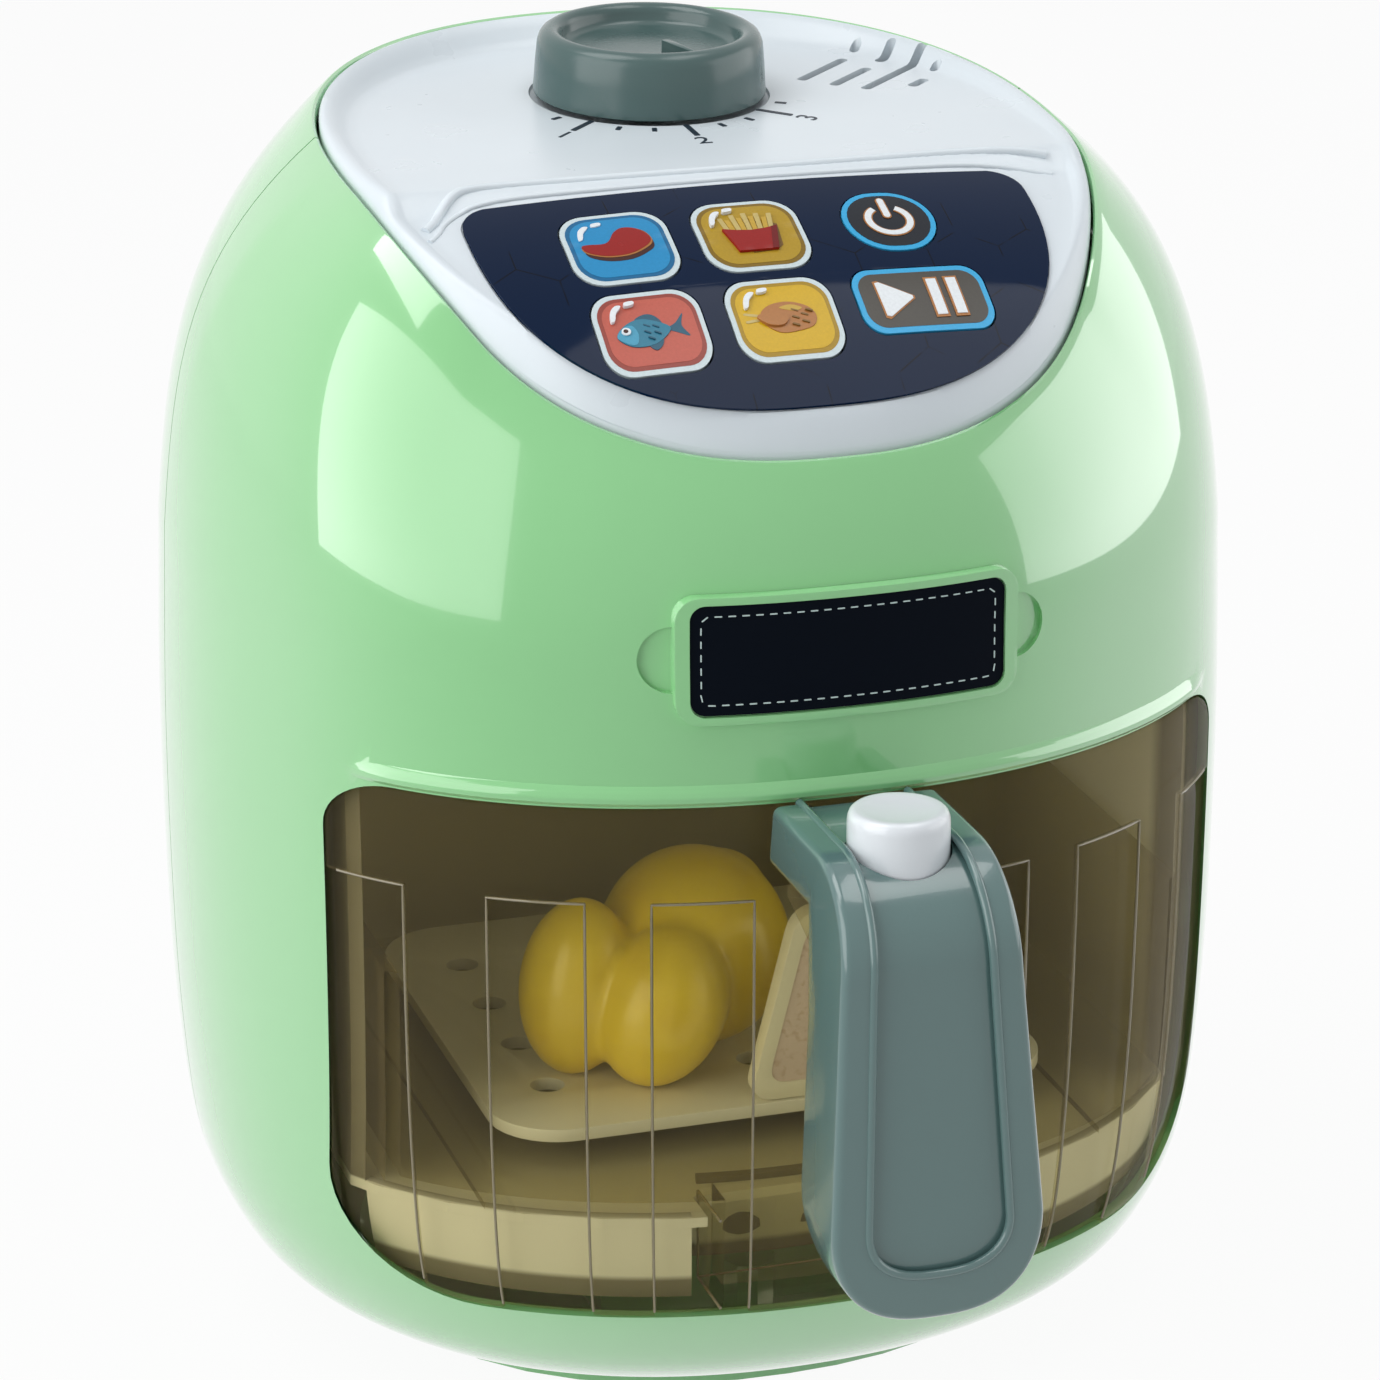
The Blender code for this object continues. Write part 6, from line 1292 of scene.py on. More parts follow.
def slot_outlines():
    """Return the speaker slots' outlines in plan."""
    run = math.radians(43.0)
    along = Vector((math.cos(run), math.sin(run)))
    across = Vector((math.sin(run), -math.cos(run)))
    centre = Vector((0.0350, 0.0210))
    radius = 0.0125
    table = ((-0.53, -0.54, 0.53), (-0.59, 0.98, 1.02), (-0.08, -0.53, 0.31), (-0.12, 0.77, 1.07),
             (0.33, -0.47, 1.06), (0.76, -0.04, 0.24), (0.68, 0.72, 0.76))
    ends = [[centre + (across * place + along * end) * radius for end in (start, stop)]
            for place, start, stop in table]
    return [bar(first, last, SLOT_WIDTH) for first, last in ends]


class FRYER_OT_film(Builder, bpy.types.Operator):
    """Build the navy control film with its openings for the keys"""

    bl_idname = "fryer.film"
    bl_label = "Build Control Film"

    def build(self):
        """Make the film."""
        outlines = [film_outline()]
        outlines += [key_outline(*place, grow=0.00025) for place in KEYS.values()]
        film = inlay("control_film", outlines, control_point, 0.0, OVERLAY_THICKNESS, 0.0020)
        settle(film, self.finish("film"), "housing", ("control_overlay",))


class FRYER_OT_keys(Builder, bpy.types.Operator):
    """Build the six picture keys: caps, tiles and their pictures"""

    bl_idname = "fryer.keys"
    bl_label = "Build Keys"

    def build(self):
        """Make every key."""
        for name, (x, y, wide, deep, corner) in KEYS.items():
            finish, slot, picture = KEY_LOOKS[name]
            sign = name in ("power_key", "play_key")
            border, rim = (0.0008, 0.0) if sign else (0.0007, 0.0006)
            cap = inlay(name + "_cap", [key_outline(x, y, wide, deep, corner)], control_point, -0.0030,
                        OVERLAY_THICKNESS + 0.0001, 0.0014)
            settle(cap, self.finish("ring_blue" if sign else "tile_edge"), name, (name,))
            tile = inlay(name + "_tile", [key_outline(x, y, wide - border, deep - border, corner)],
                         control_point, OVERLAY_THICKNESS - 0.0001, OVERLAY_THICKNESS + 0.00014, 0.0014)
            settle(tile, self.finish(finish + ("" if sign else "_rim")), name, ())
            if rim:
                outline = key_outline(x, y, wide - border - rim, deep - border - rim, corner)
                inner = inlay(name + "_field", [outline], control_point, OVERLAY_THICKNESS, PICTURE_BASE,
                              0.0014)
                settle(inner, self.finish(finish), name, ())
            layers = picture() + ([] if sign else gleam())
            for k, (ink, outlines) in enumerate(layers):
                scaled = [[(x + u * wide, y + v * deep) for u, v in outline] for outline in outlines]
                layer = inlay(f"{name}_picture_{k + 1}", scaled, control_point, PICTURE_BASE,
                              PICTURE_BASE + 0.00004 * (k + 1), 0.0016)
                settle(layer, self.finish(ink), name, ())


def gleam():
    """Return the two pale gleams at the corner of a food key, in shares of the key's half-sizes."""
    shapes = ([(-0.70, 0.26), (-0.66, 0.50), (-0.54, 0.64), (-0.44, 0.62), (-0.56, 0.46), (-0.62, 0.28)],
              [(-0.36, 0.70), (-0.20, 0.72), (-0.20, 0.64), (-0.36, 0.61)])
    return [("ink_white", [loop(shape, 4)]) for shape in shapes]


def steak_picture():
    """Return the steak's layers, in shares of the key's half-sizes."""
    meat = [(-0.70, 0.06), (-0.58, 0.10), (-0.30, 0.08), (-0.16, 0.16), (-0.02, 0.38), (0.16, 0.50),
            (0.38, 0.46), (0.56, 0.28), (0.60, 0.06), (0.42, -0.12), (0.10, -0.26), (-0.30, -0.26),
            (-0.62, -0.12)]
    under = loop([(u + 0.03, v - 0.14 if v < 0.2 else v) for u, v in meat])
    edge = loop([(u * 1.02 + 0.01, v - 0.035 if v < 0.2 else v) for u, v in meat])
    return [("ink_dark", [under]), ("ink_orange", [edge]), ("ink_red", [loop(meat)])]


def chips_picture():
    """Return the layers of a bare carton of chips, in shares of the key's half-sizes."""
    sticks = []
    for k in range(9):
        u = -0.38 + 0.095 * k
        top = 0.40 + (0.10, 0.02, 0.16, 0.05, 0.18, 0.06, 0.14, 0.0, 0.10)[k]
        lean = (k - 4) * 0.022
        finish = "ink_gold" if k % 2 else "ink_cream"
        sticks.append((finish, [[(u - 0.045, -0.05), (u + 0.045, -0.05), (u + 0.045 + lean, top),
                                 (u - 0.045 + lean, top)]]))
    shadow = [(0.40, 0.30), (0.56, 0.22), (0.50, -0.40), (0.34, -0.52), (-0.10, -0.56), (-0.10, -0.30)]
    carton = [(-0.52, 0.12), (-0.28, 0.06), (0.0, 0.03), (0.28, 0.06), (0.52, 0.12), (0.38, -0.52),
              (-0.36, -0.52)]
    side = [(0.40, 0.09), (0.52, 0.12), (0.38, -0.52), (0.26, -0.52)]
    return [("ink_brown", [shadow])] + sticks + [("ink_red", [carton]), ("ink_deep_red", [side])]


def fish_picture():
    """Return the fish's layers, in shares of the key's half-sizes."""
    body = loop([(-0.66, -0.10), (-0.50, 0.14), (-0.22, 0.28), (0.06, 0.22), (0.34, 0.02), (0.20, -0.20),
                 (-0.08, -0.36), (-0.44, -0.34)])
    tail = loop([(0.28, 0.0), (0.46, 0.12), (0.64, 0.34), (0.56, 0.04), (0.66, -0.22), (0.46, -0.12)], 4)
    fin = loop([(-0.26, 0.26), (-0.06, 0.40), (0.12, 0.34), (0.20, 0.12)], 4)
    low_fin = loop([(-0.12, -0.34), (-0.02, -0.48), (0.12, -0.36), (0.14, -0.20)], 4)
    head = loop([(-0.66, -0.10), (-0.52, 0.10), (-0.34, 0.14), (-0.27, -0.08), (-0.34, -0.30),
                 (-0.50, -0.28)])
    scales = [bar((u, v), (u + 0.09, v - 0.06), 0.030, 3) for u, v in
              ((-0.12, 0.14), (0.04, 0.10), (-0.14, -0.02), (0.04, -0.06), (-0.10, -0.18))]
    layers = [("ink_sea", [part]) for part in (tail, fin, low_fin)]
    layers += [("ink_teal", [body]), ("ink_sky", [head])]
    layers += [("ink_sea", [scale]) for scale in scales]
    return layers + [("ink_white", [ring(-0.48, 0.00, 0.085, 16)]),
                     ("ink_dark", [ring(-0.49, 0.00, 0.045, 12)])]


def poultry_picture():
    """Return the roast bird's layers, in shares of the key's half-sizes."""
    body = loop([(-0.44, -0.10), (-0.42, 0.14), (-0.20, 0.32), (0.14, 0.36), (0.46, 0.22), (0.58, -0.02),
                 (0.48, -0.26), (0.16, -0.36), (-0.18, -0.36)])
    glow = loop([(-0.06, 0.22), (0.16, 0.28), (0.36, 0.18), (0.20, 0.12)], 4)
    leg = loop([(-0.52, 0.02), (-0.34, 0.10), (-0.10, 0.10), (0.04, -0.06), (-0.10, -0.22), (-0.36, -0.18)])
    bones = [bar((-0.72, v), (-0.50, v * 0.55), 0.06, 3) for v in (0.14, -0.06)]
    marks = [bar((u, v), (u + 0.10, v - 0.05), 0.035, 3) for u, v in
             ((0.16, 0.16), (0.32, 0.04), (0.14, -0.02), (0.30, -0.14), (0.10, -0.20), (0.42, 0.12))]
    return [("ink_cream", [bone]) for bone in bones] + [("ink_orange", [body]), ("ink_gold", [glow])] + [
        ("ink_brown", [mark]) for mark in marks] + [("ink_orange", [leg])]


def power_picture():
    """Return the power sign's layers, in shares of the key's half-sizes."""
    layers = []
    for finish, wider in (("ink_orange", 0.03), ("ink_white", 0.0)):
        outer, inner = [], []
        for k in range(33):
            angle = math.radians(122.0 + 296.0 * k / 32)
            outer.append(((0.52 + wider) * math.cos(angle), (0.52 + wider) * math.sin(angle) - 0.02))
            inner.append(((0.38 - wider) * math.cos(angle), (0.38 - wider) * math.sin(angle) - 0.02))
        layers.append((finish, [outer + inner[::-1]]))
        layers.append((finish, [bar((0.0, 0.66), (0.0, 0.12), 0.14 + wider * 2)]))
    return layers


def play_picture():
    """Return the play and pause signs' layers, in shares of the key's half-sizes."""
    arrow = [(-0.66, 0.52), (-0.60, 0.54), (-0.16, 0.06), (-0.16, -0.02), (-0.58, -0.54), (-0.64, -0.50)]
    layers = []
    for finish, wider in (("ink_orange", 1.12), ("ink_white", 1.0)):
        layers.append((finish, [[((u + 0.44) * wider - 0.44, v * wider) for u, v in arrow]]))
        for middle in (0.20, 0.50):
            half = 0.075 + (wider - 1) * 0.25
            layers.append((finish, [square(middle - half, middle + half, -0.56 * wider, 0.56 * wider)]))
    return layers


KEY_LOOKS = {
    "steak_key": ("tile_blue", "key_blue", steak_picture),
    "chips_key": ("tile_ochre", "key_yellow", chips_picture),
    "fish_key": ("tile_coral", "key_coral", fish_picture),
    "poultry_key": ("tile_yellow", "key_yellow", poultry_picture),
    "power_key": ("key_night", "key_navy", power_picture),
    "play_key": ("key_grey", "key_navy", play_picture),
}


class FRYER_OT_dial(Builder, bpy.types.Operator):
    """Build the timer's knob and the scale printed round it"""

    bl_idname = "fryer.dial"
    bl_label = "Build Dial"

    def build(self):
        """Make the knob, the ticks and the numbers."""
        profile = [(0, 0.0071), (0.0040, 0.00712), (0.0090, 0.0072), (0.0120, 0.0073), (0.0130, 0.0076),
                   (0.0134, 0.0081), (0.01365, 0.0090), (0.0139, 0.0096), (0.0144, 0.0101), (0.0150, 0.0103),
                   (0.0155, 0.01028), (0.0160, 0.0101), (0.0166, 0.0097), (0.0170, 0.0091), (0.0173, 0.0082),
                   (0.0176, 0.0050), (0.0178, 0.0020), (0.0179, 0.0010), (0.01785, 0.0006), (0.0176, 0.0004),
                   (0.0162, 0.0004), (0.0160, 0.0040), (0, 0.0042)]
        knob = lathe("knob_skin", profile, 160, 40.0)
        wedge = [(-0.0008, 0.0044), (0.0008, 0.0044), (0.0003, 0.0134), (-0.0003, 0.0134)]
        pointer = plate("pointer", [wedge], 0.0066, 0.0095)
        pointer.data.transform(Matrix.Rotation(math.radians(POINTER_DEG), 4, "Z"))
        soften(pointer, 0.0002, 2)
        combine(knob, [pointer], "UNION", 40.0)
        knob.data.transform(DIAL_TURN)
        # the knob takes the darker copy of the knob and handle plastic, as painted shade
        settle(knob, self.finish("dial"), "timer", ("timer_knob",))
        marks = []
        for name, size, middle, places in (("tick", 0.0018, 0.0206, (-60, -30, -15, 15, 30, 60)),
                                           ("hour_tick", 0.0060, 0.0215, (-45, 0, 45))):
            width = self.sizes.tick_width * (1.0 if name == "hour_tick" else 0.85)
            piece = plate(name, [rounded(-size / 2, size / 2, -width / 2, width / 2, (width * 0.2,) * 4, 2)],
                          0.0, 0.00008)
            ways = [Vector((math.sin(math.radians(degrees)), -math.cos(math.radians(degrees)), 0))
                    for degrees in places]
            wire = guide(name + "s", [way * middle for way in ways], [(0, 0, 1)] * len(ways), linked_up=False)
            mark_ways(wire, "ahead", ways)
            row = field_of(name + "_ring", wire, piece, self.finish("ink"))
            row.data.transform(DIAL_TURN)
            marks.append(row)
        for degrees, digit in ((-45, "1"), (0, "2"), (45, "3")):
            marks.append(self.number(digit, math.radians(degrees)))
        scale = joined("dial_scale", marks)
        settle(scale, self.finish("ink"), "housing", ())

    def number(self, digit, angle):
        """Return a scale number, its foot towards the knob's outer side."""
        text = bpy.data.curves.new("digit_" + digit, "FONT")
        text.body = digit
        text.size = NUMBER_SIZE
        text.align_x = "CENTER"
        text.align_y = "CENTER"
        bm = filled(text)
        bmesh.ops.triangulate(bm, faces=bm.faces)
        extruded = bmesh.ops.extrude_face_region(bm, geom=bm.faces[:])
        raised = {item for item in extruded["geom"] if isinstance(item, bmesh.types.BMVert)}
        for corner in bm.verts:
            u, v = corner.co.x, corner.co.y - NUMBER_REACH
            x = u * math.cos(angle) - v * math.sin(angle)
            y = DIAL_PLACE + u * math.sin(angle) + v * math.cos(angle)
            corner.co = platform_point(x, y, 0.00006 if corner in raised else 0.0)
        return meshed(bm, "number_" + digit)


class FRYER_OT_label(Builder, bpy.types.Operator):
    """Build the bare front label with its dashed border"""

    bl_idname = "fryer.label"
    bl_label = "Build Front Label"

    def build(self):
        """Make the label and its dashes."""
        half, tall = PLATE_HALF_WIDTH - 0.0023, PLATE_HALF_TALL - 0.0013
        outline = rounded(-half, half, PLATE_HEIGHT - tall, PLATE_HEIGHT + tall, (0.0021,) * 4, 8)
        label = inlay("front_label", [outline], front_point, 0.0003, 0.0007, 0.0016)
        settle(label, self.finish("label"), "housing", ("name_plate",))
        inset = 0.0015
        path = rounded(-half + inset, half - inset, PLATE_HEIGHT - tall + inset, PLATE_HEIGHT + tall - inset,
                       (0.0014,) * 4, 8)
        path = [spot for k, start in enumerate(path)
                for spot in between(start, path[(k + 1) % len(path)], 0.001)]
        spots = [front_point(across, up, 0.00072) for across, up in path]
        ways = [(front_point(across, up, 0.001) - front_point(across, up, 0.0)).normalized()
                for across, up in path]
        dash = self.sizes.dash_length
        piece = plate("dash", [bar((-dash / 2, 0), (dash / 2, 0), 0.00020, 4)], 0.0, 0.00006)
        wire = guide("label_border", spots, ways, closed=True)
        border = row_of("label_stitches", wire, piece, dash * 2.2, self.finish("stitch"))
        settle(border, self.finish("stitch"), "housing", ())


class FRYER_OT_drawer(Builder, bpy.types.Operator):
    """Build the smoked drawer, from its fluted front to its tub, and the chamber's sills behind it"""

    bl_idname = "fryer.drawer"
    bl_label = "Build Drawer"

    def build(self):
        """Make the drawer's one moulding, the lines along its edges and the sills."""
        gap = self.sizes.seam
        pan = slab("drawer_skin", skin_point, 65.0, WINDOW_BOTTOM - 0.002, WINDOW_TOP + 0.002, -WALL, 0.0,
                   step_deg=0.7, step=0.002)
        dents = []
        for start, stop in FLUTE_SHARES:
            middle = math.degrees(WINDOW_SPREAD) * (start + stop) / 2
            half = math.degrees(WINDOW_SPREAD) * (stop - start) / 2
            dents.append(slab("dent", skin_point, half, WINDOW_BOTTOM - 0.002, FLUTE_TOP, -FLUTE_DEPTH, WALL,
                              middle_deg=middle, step_deg=0.7, step=0.004))
        combine(pan, dents, "DIFFERENCE")
        outline = rounded(-WINDOW_HALF_WIDTH + gap, WINDOW_HALF_WIDTH - gap, WINDOW_BOTTOM + gap,
                          WINDOW_TOP - gap, [corner - gap for corner in WINDOW_CORNERS], 12)
        combine(pan, [plate("window_fill", [outline], FAR_FRONT, 0, "Y")], "INTERSECT")
        soften(pan, 0.0003, 2, 40.0)
        tub = self.make_tub()
        combine(pan, [tub], "UNION")
        settle(pan, self.finish("smoke"), "drawer", ("drawer_pan",))
        strips = [self.flute_edge(k, shares) for k, shares in enumerate(FLUTE_SHARES)]
        strips += self.pocket_edges()
        edges = joined("drawer_edges", strips)
        settle(edges, self.finish("smoke_edge"), "drawer", ())
        for side in (-1, 1):
            sill = slab("chamber_sill", skin_point, 19.5, SILL_LOW, SILL_HIGH, -WALL - 0.0026, -WALL - 0.0012,
                        middle_deg=side * 36.5)
            settle(sill, self.finish("chamber"), "housing", ())
        # the sill's back wall takes the chamber's plastic darkened as painted shade
        back = slab("chamber_sill_back", skin_point, 15.5, SILL_LOW, SILL_HIGH, -WALL - 0.0138,
                    -WALL - 0.0124)
        settle(back, self.finish("chamber_painted_shade"), "housing", ())

    def flute_edge(self, number, shares):
        """Return the rounded line up one side of a flute, across its top and down its other side."""
        left, right = (math.degrees(WINDOW_SPREAD) * share for share in shares)
        tall = [WINDOW_BOTTOM + 0.0010 + (FLUTE_TOP - WINDOW_BOTTOM - 0.0010) * k / 30 for k in range(31)]
        path = [(left, height) for height in tall]
        path += [(left + (right - left) * k / 12, FLUTE_TOP) for k in range(1, 12)]
        path += [(right, height) for height in reversed(tall)]
        lift = -self.sizes.flute_edge * 0.7
        spots = [skin_point(math.radians(degrees), height, lift) for degrees, height in path]
        spots = [spot for spot in spots if self.in_window(spot)]
        return sweep("flute_edge_sweep", guide(f"flute_{number + 1}", spots), self.sizes.flute_edge,
                     self.finish("smoke_edge"), 8)

    def in_window(self, spot):
        """Tell whether a place lies inside the window's rounded outline."""
        reach = WINDOW_HALF_WIDTH - 0.0012
        if abs(spot.x) > reach:
            return False
        corner = 0.0190
        over, under = abs(spot.x) - (reach - corner), WINDOW_BOTTOM + 0.0010 + corner - spot.z
        return over <= 0 or under <= 0 or math.hypot(over, under) <= corner

    def pocket_edges(self):
        """Return the rounded lines along the edges of the finger pocket's box."""
        rear, low, high, side = -HALF_DEPTH + WALL + 0.0108, 0.0267, 0.0408, 0.0188
        front = -HALF_DEPTH + WALL
        paths = [[(-side, rear, high), (-side, rear, low), (side, rear, low), (side, rear, high)]]
        paths += [[(x, rear, z), (x, front, z)] for x in (-side, side) for z in (low, high)]
        return [sweep("pocket_edge_sweep", guide(f"pocket_{k + 1}", path), self.sizes.flute_edge,
                      self.finish("smoke_edge"), 8) for k, path in enumerate(paths)]

    def make_tub(self):
        """Return the tub behind the front, with its runners, pocket and wedge."""
        half, back, corner, wall = 0.0622, 0.0420, 0.0200, 0.0018
        floor, top, front = 0.0410, 0.0760, -HALF_DEPTH - 0.002
        tub = plate("tub", [rounded(-half, half, front, back, (TINY, corner, corner, TINY), 12)], floor, top)
        inside = rounded(-half + wall, half - wall, front - 0.002, back - wall,
                         (TINY, corner - wall, corner - wall, TINY), 12)
        combine(tub, [plate("tub_space", [inside], floor + wall, top + 0.002)], "DIFFERENCE")
        runners = []
        for middle in (-0.048, 0.048):
            outline = square(middle - 0.002, middle + 0.002, front, back - corner)
            runners.append(plate("runner", [outline], floor - 0.0011, floor + wall / 2))
        side, low, rear = 0.019, 0.0265, -HALF_DEPTH + WALL + 0.0110
        pocket = plate("pocket", [square(-side, side, front, rear)], low, floor + wall)
        combine(tub, runners + [pocket], "UNION")
        inside = square(-side + wall, side - wall, front - 0.002, rear - wall)
        combine(tub, [plate("pocket_space", [inside], low + wall, floor + wall + 0.002)], "DIFFERENCE")
        plug_rows = [[skin_point(math.tau * k / 180, height, -WALL * 0.75) for k in range(180)]
                     for height in [WINDOW_BOTTOM - 0.002 + 0.0857 * j / 30 for j in range(31)]]
        bm = bmesh.new()
        grid = add_rows(bm, plug_rows, around=True)
        add_cap(bm, grid[0], (0, 0, plug_rows[0][0].z))
        add_cap(bm, grid[-1], (0, 0, plug_rows[-1][0].z))
        combine(tub, [meshed(bm, "plug")], "INTERSECT")
        tip = -HALF_DEPTH - (HANDLE_FRONT - HALF_DEPTH - HANDLE_ARM) * 0.62
        root = -HALF_DEPTH + WALL * 0.6
        wedge = plate("wedge", [[(root, 0.0968), (tip, 0.0968), (tip, 0.0860), (root, 0.0915)]], -0.0095,
                      0.0095, "X")
        soften(wedge, 0.0005, 2)
        return combine(tub, [wedge], "UNION")


class FRYER_OT_handle(Builder, bpy.types.Operator):
    """Build the handle with its rounded edges and raised grip border, and the white button"""

    bl_idname = "fryer.handle"
    bl_label = "Build Handle and Button"

    def build(self):
        """Make the handle and the button."""
        far = -HANDLE_FRONT - 0.002
        wide = 0.018
        handle = plate("handle_skin", [side_outline()], -wide, wide, "X")
        face = shield(0.0122, 0.0156, HANDLE_BOTTOM, 24)
        combine(handle, [plate("handle_face", [face], far, 0, "Y")], "INTERSECT")
        soften(handle, self.sizes.handle_edge, 4, 35.0, 40.0)
        recess = plate("grip", [grip_outline()], far, 0, "Y")
        layer = front_path(-0.003) + front_path(0.0010)[::-1]
        combine(recess, [plate("grip_layer", [layer], -wide, wide, "X")], "INTERSECT")
        combine(handle, [recess], "DIFFERENCE", 40.0)
        bore = plate("bore", [ring(0, BUTTON_PLACE, BUTTON_RADIUS + 0.0003, 48)], 0.0992, 0.12)
        combine(handle, [bore], "DIFFERENCE", 40.0)
        settle(handle, self.finish("knob"), "drawer", ("handle_shell", "handle_cover"))
        bead = sweep("grip_bead_sweep", guide("grip_border", grip_border()), self.sizes.grip_bead,
                     self.finish("knob"), 12)
        settle(bead, self.finish("knob"), "drawer", ())
        section = ((0, 0.00045), (0.0030, 0.0004), (0.0050, 0.00015), (0.0060, 0), (0.0065, 0.0001),
                   (0.0069, 0.0005), (0.00712, 0.0011), (BUTTON_RADIUS, 0.0018))
        profile = [(radius, BUTTON_TOP - drop) for radius, drop in section]
        profile += [(BUTTON_RADIUS, BUTTON_FOOT), (BUTTON_HOLLOW, BUTTON_FOOT),
                    (BUTTON_HOLLOW, BUTTON_FOOT + 0.0018), (0, BUTTON_FOOT + 0.0018)]
        button = lathe("button_cap", profile, 72, 40.0)
        button.data.transform(Matrix.Translation((0, BUTTON_PLACE, 0)))
        settle(button, self.finish("button"), "button", ("release_button",))


def rear_of_arm(height):
    """Return the place of the handle's rear face at a height."""
    foot = (HANDLE_FRONT - HALF_DEPTH) * 0.14
    knots = ((HANDLE_BOTTOM, foot), (HANDLE_LOW, HANDLE_ARM),
             (HANDLE_NECK - 0.015, HANDLE_ARM + HANDLE_LEAN * 0.6),
             (HANDLE_NECK, HANDLE_ARM + HANDLE_LEAN * 1.4))
    for (low, first), (high, second) in zip(knots, knots[1:]):
        if height <= high:
            return -HANDLE_FRONT + first + (second - first) * (height - low) / (high - low)
    return -HANDLE_FRONT + knots[-1][1]


def front_path(inset):
    """Return the handle's top and front seen from the side, down to its foot, drawn in by an inset."""
    front, top, bend = -HANDLE_FRONT + inset, HANDLE_TOP - inset, 0.015 - inset
    centre = (front + HANDLE_LEAN + bend, top - bend)
    points = [(-HALF_DEPTH - 0.0004, top), (-HALF_DEPTH * 0.5 + centre[0] * 0.5, top)]
    for k in range(25):
        angle = math.radians(90.0 + 90.0 * k / 24)
        points.append((centre[0] + bend * math.cos(angle), centre[1] + bend * math.sin(angle)))
    return points + [(front, HANDLE_LOW), (front, HANDLE_BOTTOM + inset)]


def side_outline():
    """Return the handle's outline seen from the side."""
    points = front_path(0.0)
    points.append((rear_of_arm(HANDLE_BOTTOM), HANDLE_BOTTOM))
    for k in range(13):
        height = HANDLE_LOW - 0.002 + (HANDLE_NECK - HANDLE_LOW + 0.002) * k / 12
        points.append((rear_of_arm(height), height))
    points.append((-HALF_DEPTH - 0.0004, HANDLE_NECK))
    return points


def shield(top_half, low_half, bottom, steps):
    """Return an outline seen from the front that widens downwards to a round foot."""
    right = [(top_half, HANDLE_TOP + 0.002)]
    for k in range(steps + 1):
        angle = math.radians(90.0 * k / steps)
        right.append((low_half * math.cos(angle) ** 0.75 if k < steps else 0.0,
                      HANDLE_LOW - (HANDLE_LOW - bottom) * math.sin(angle) ** 0.9))
    return right + [(-x, z) for x, z in reversed(right[:-1])]


def grip_outline():
    """Return the outline of the sunk face of the handle."""
    return shield(GRIP_TOP_HALF, GRIP_LOW_HALF, GRIP_BOTTOM, 20)


def grip_border():
    """Return the line round the handle's sunk face, over the bend and down one side and up the other."""
    sink = 0.00022
    right = []
    for along, height in front_path(sink)[:-1]:
        share = (HANDLE_TOP + 0.002 - height) / (HANDLE_TOP + 0.002 - HANDLE_LOW)
        half = GRIP_TOP_HALF + (GRIP_LOW_HALF - GRIP_TOP_HALF) * share
        right.append((half, along, height))
    for across, height in grip_outline()[2:22]:
        right.append((across, -HANDLE_FRONT + sink, height))
    return right + [(-x, y, z) for x, y, z in reversed(right[:-1])]


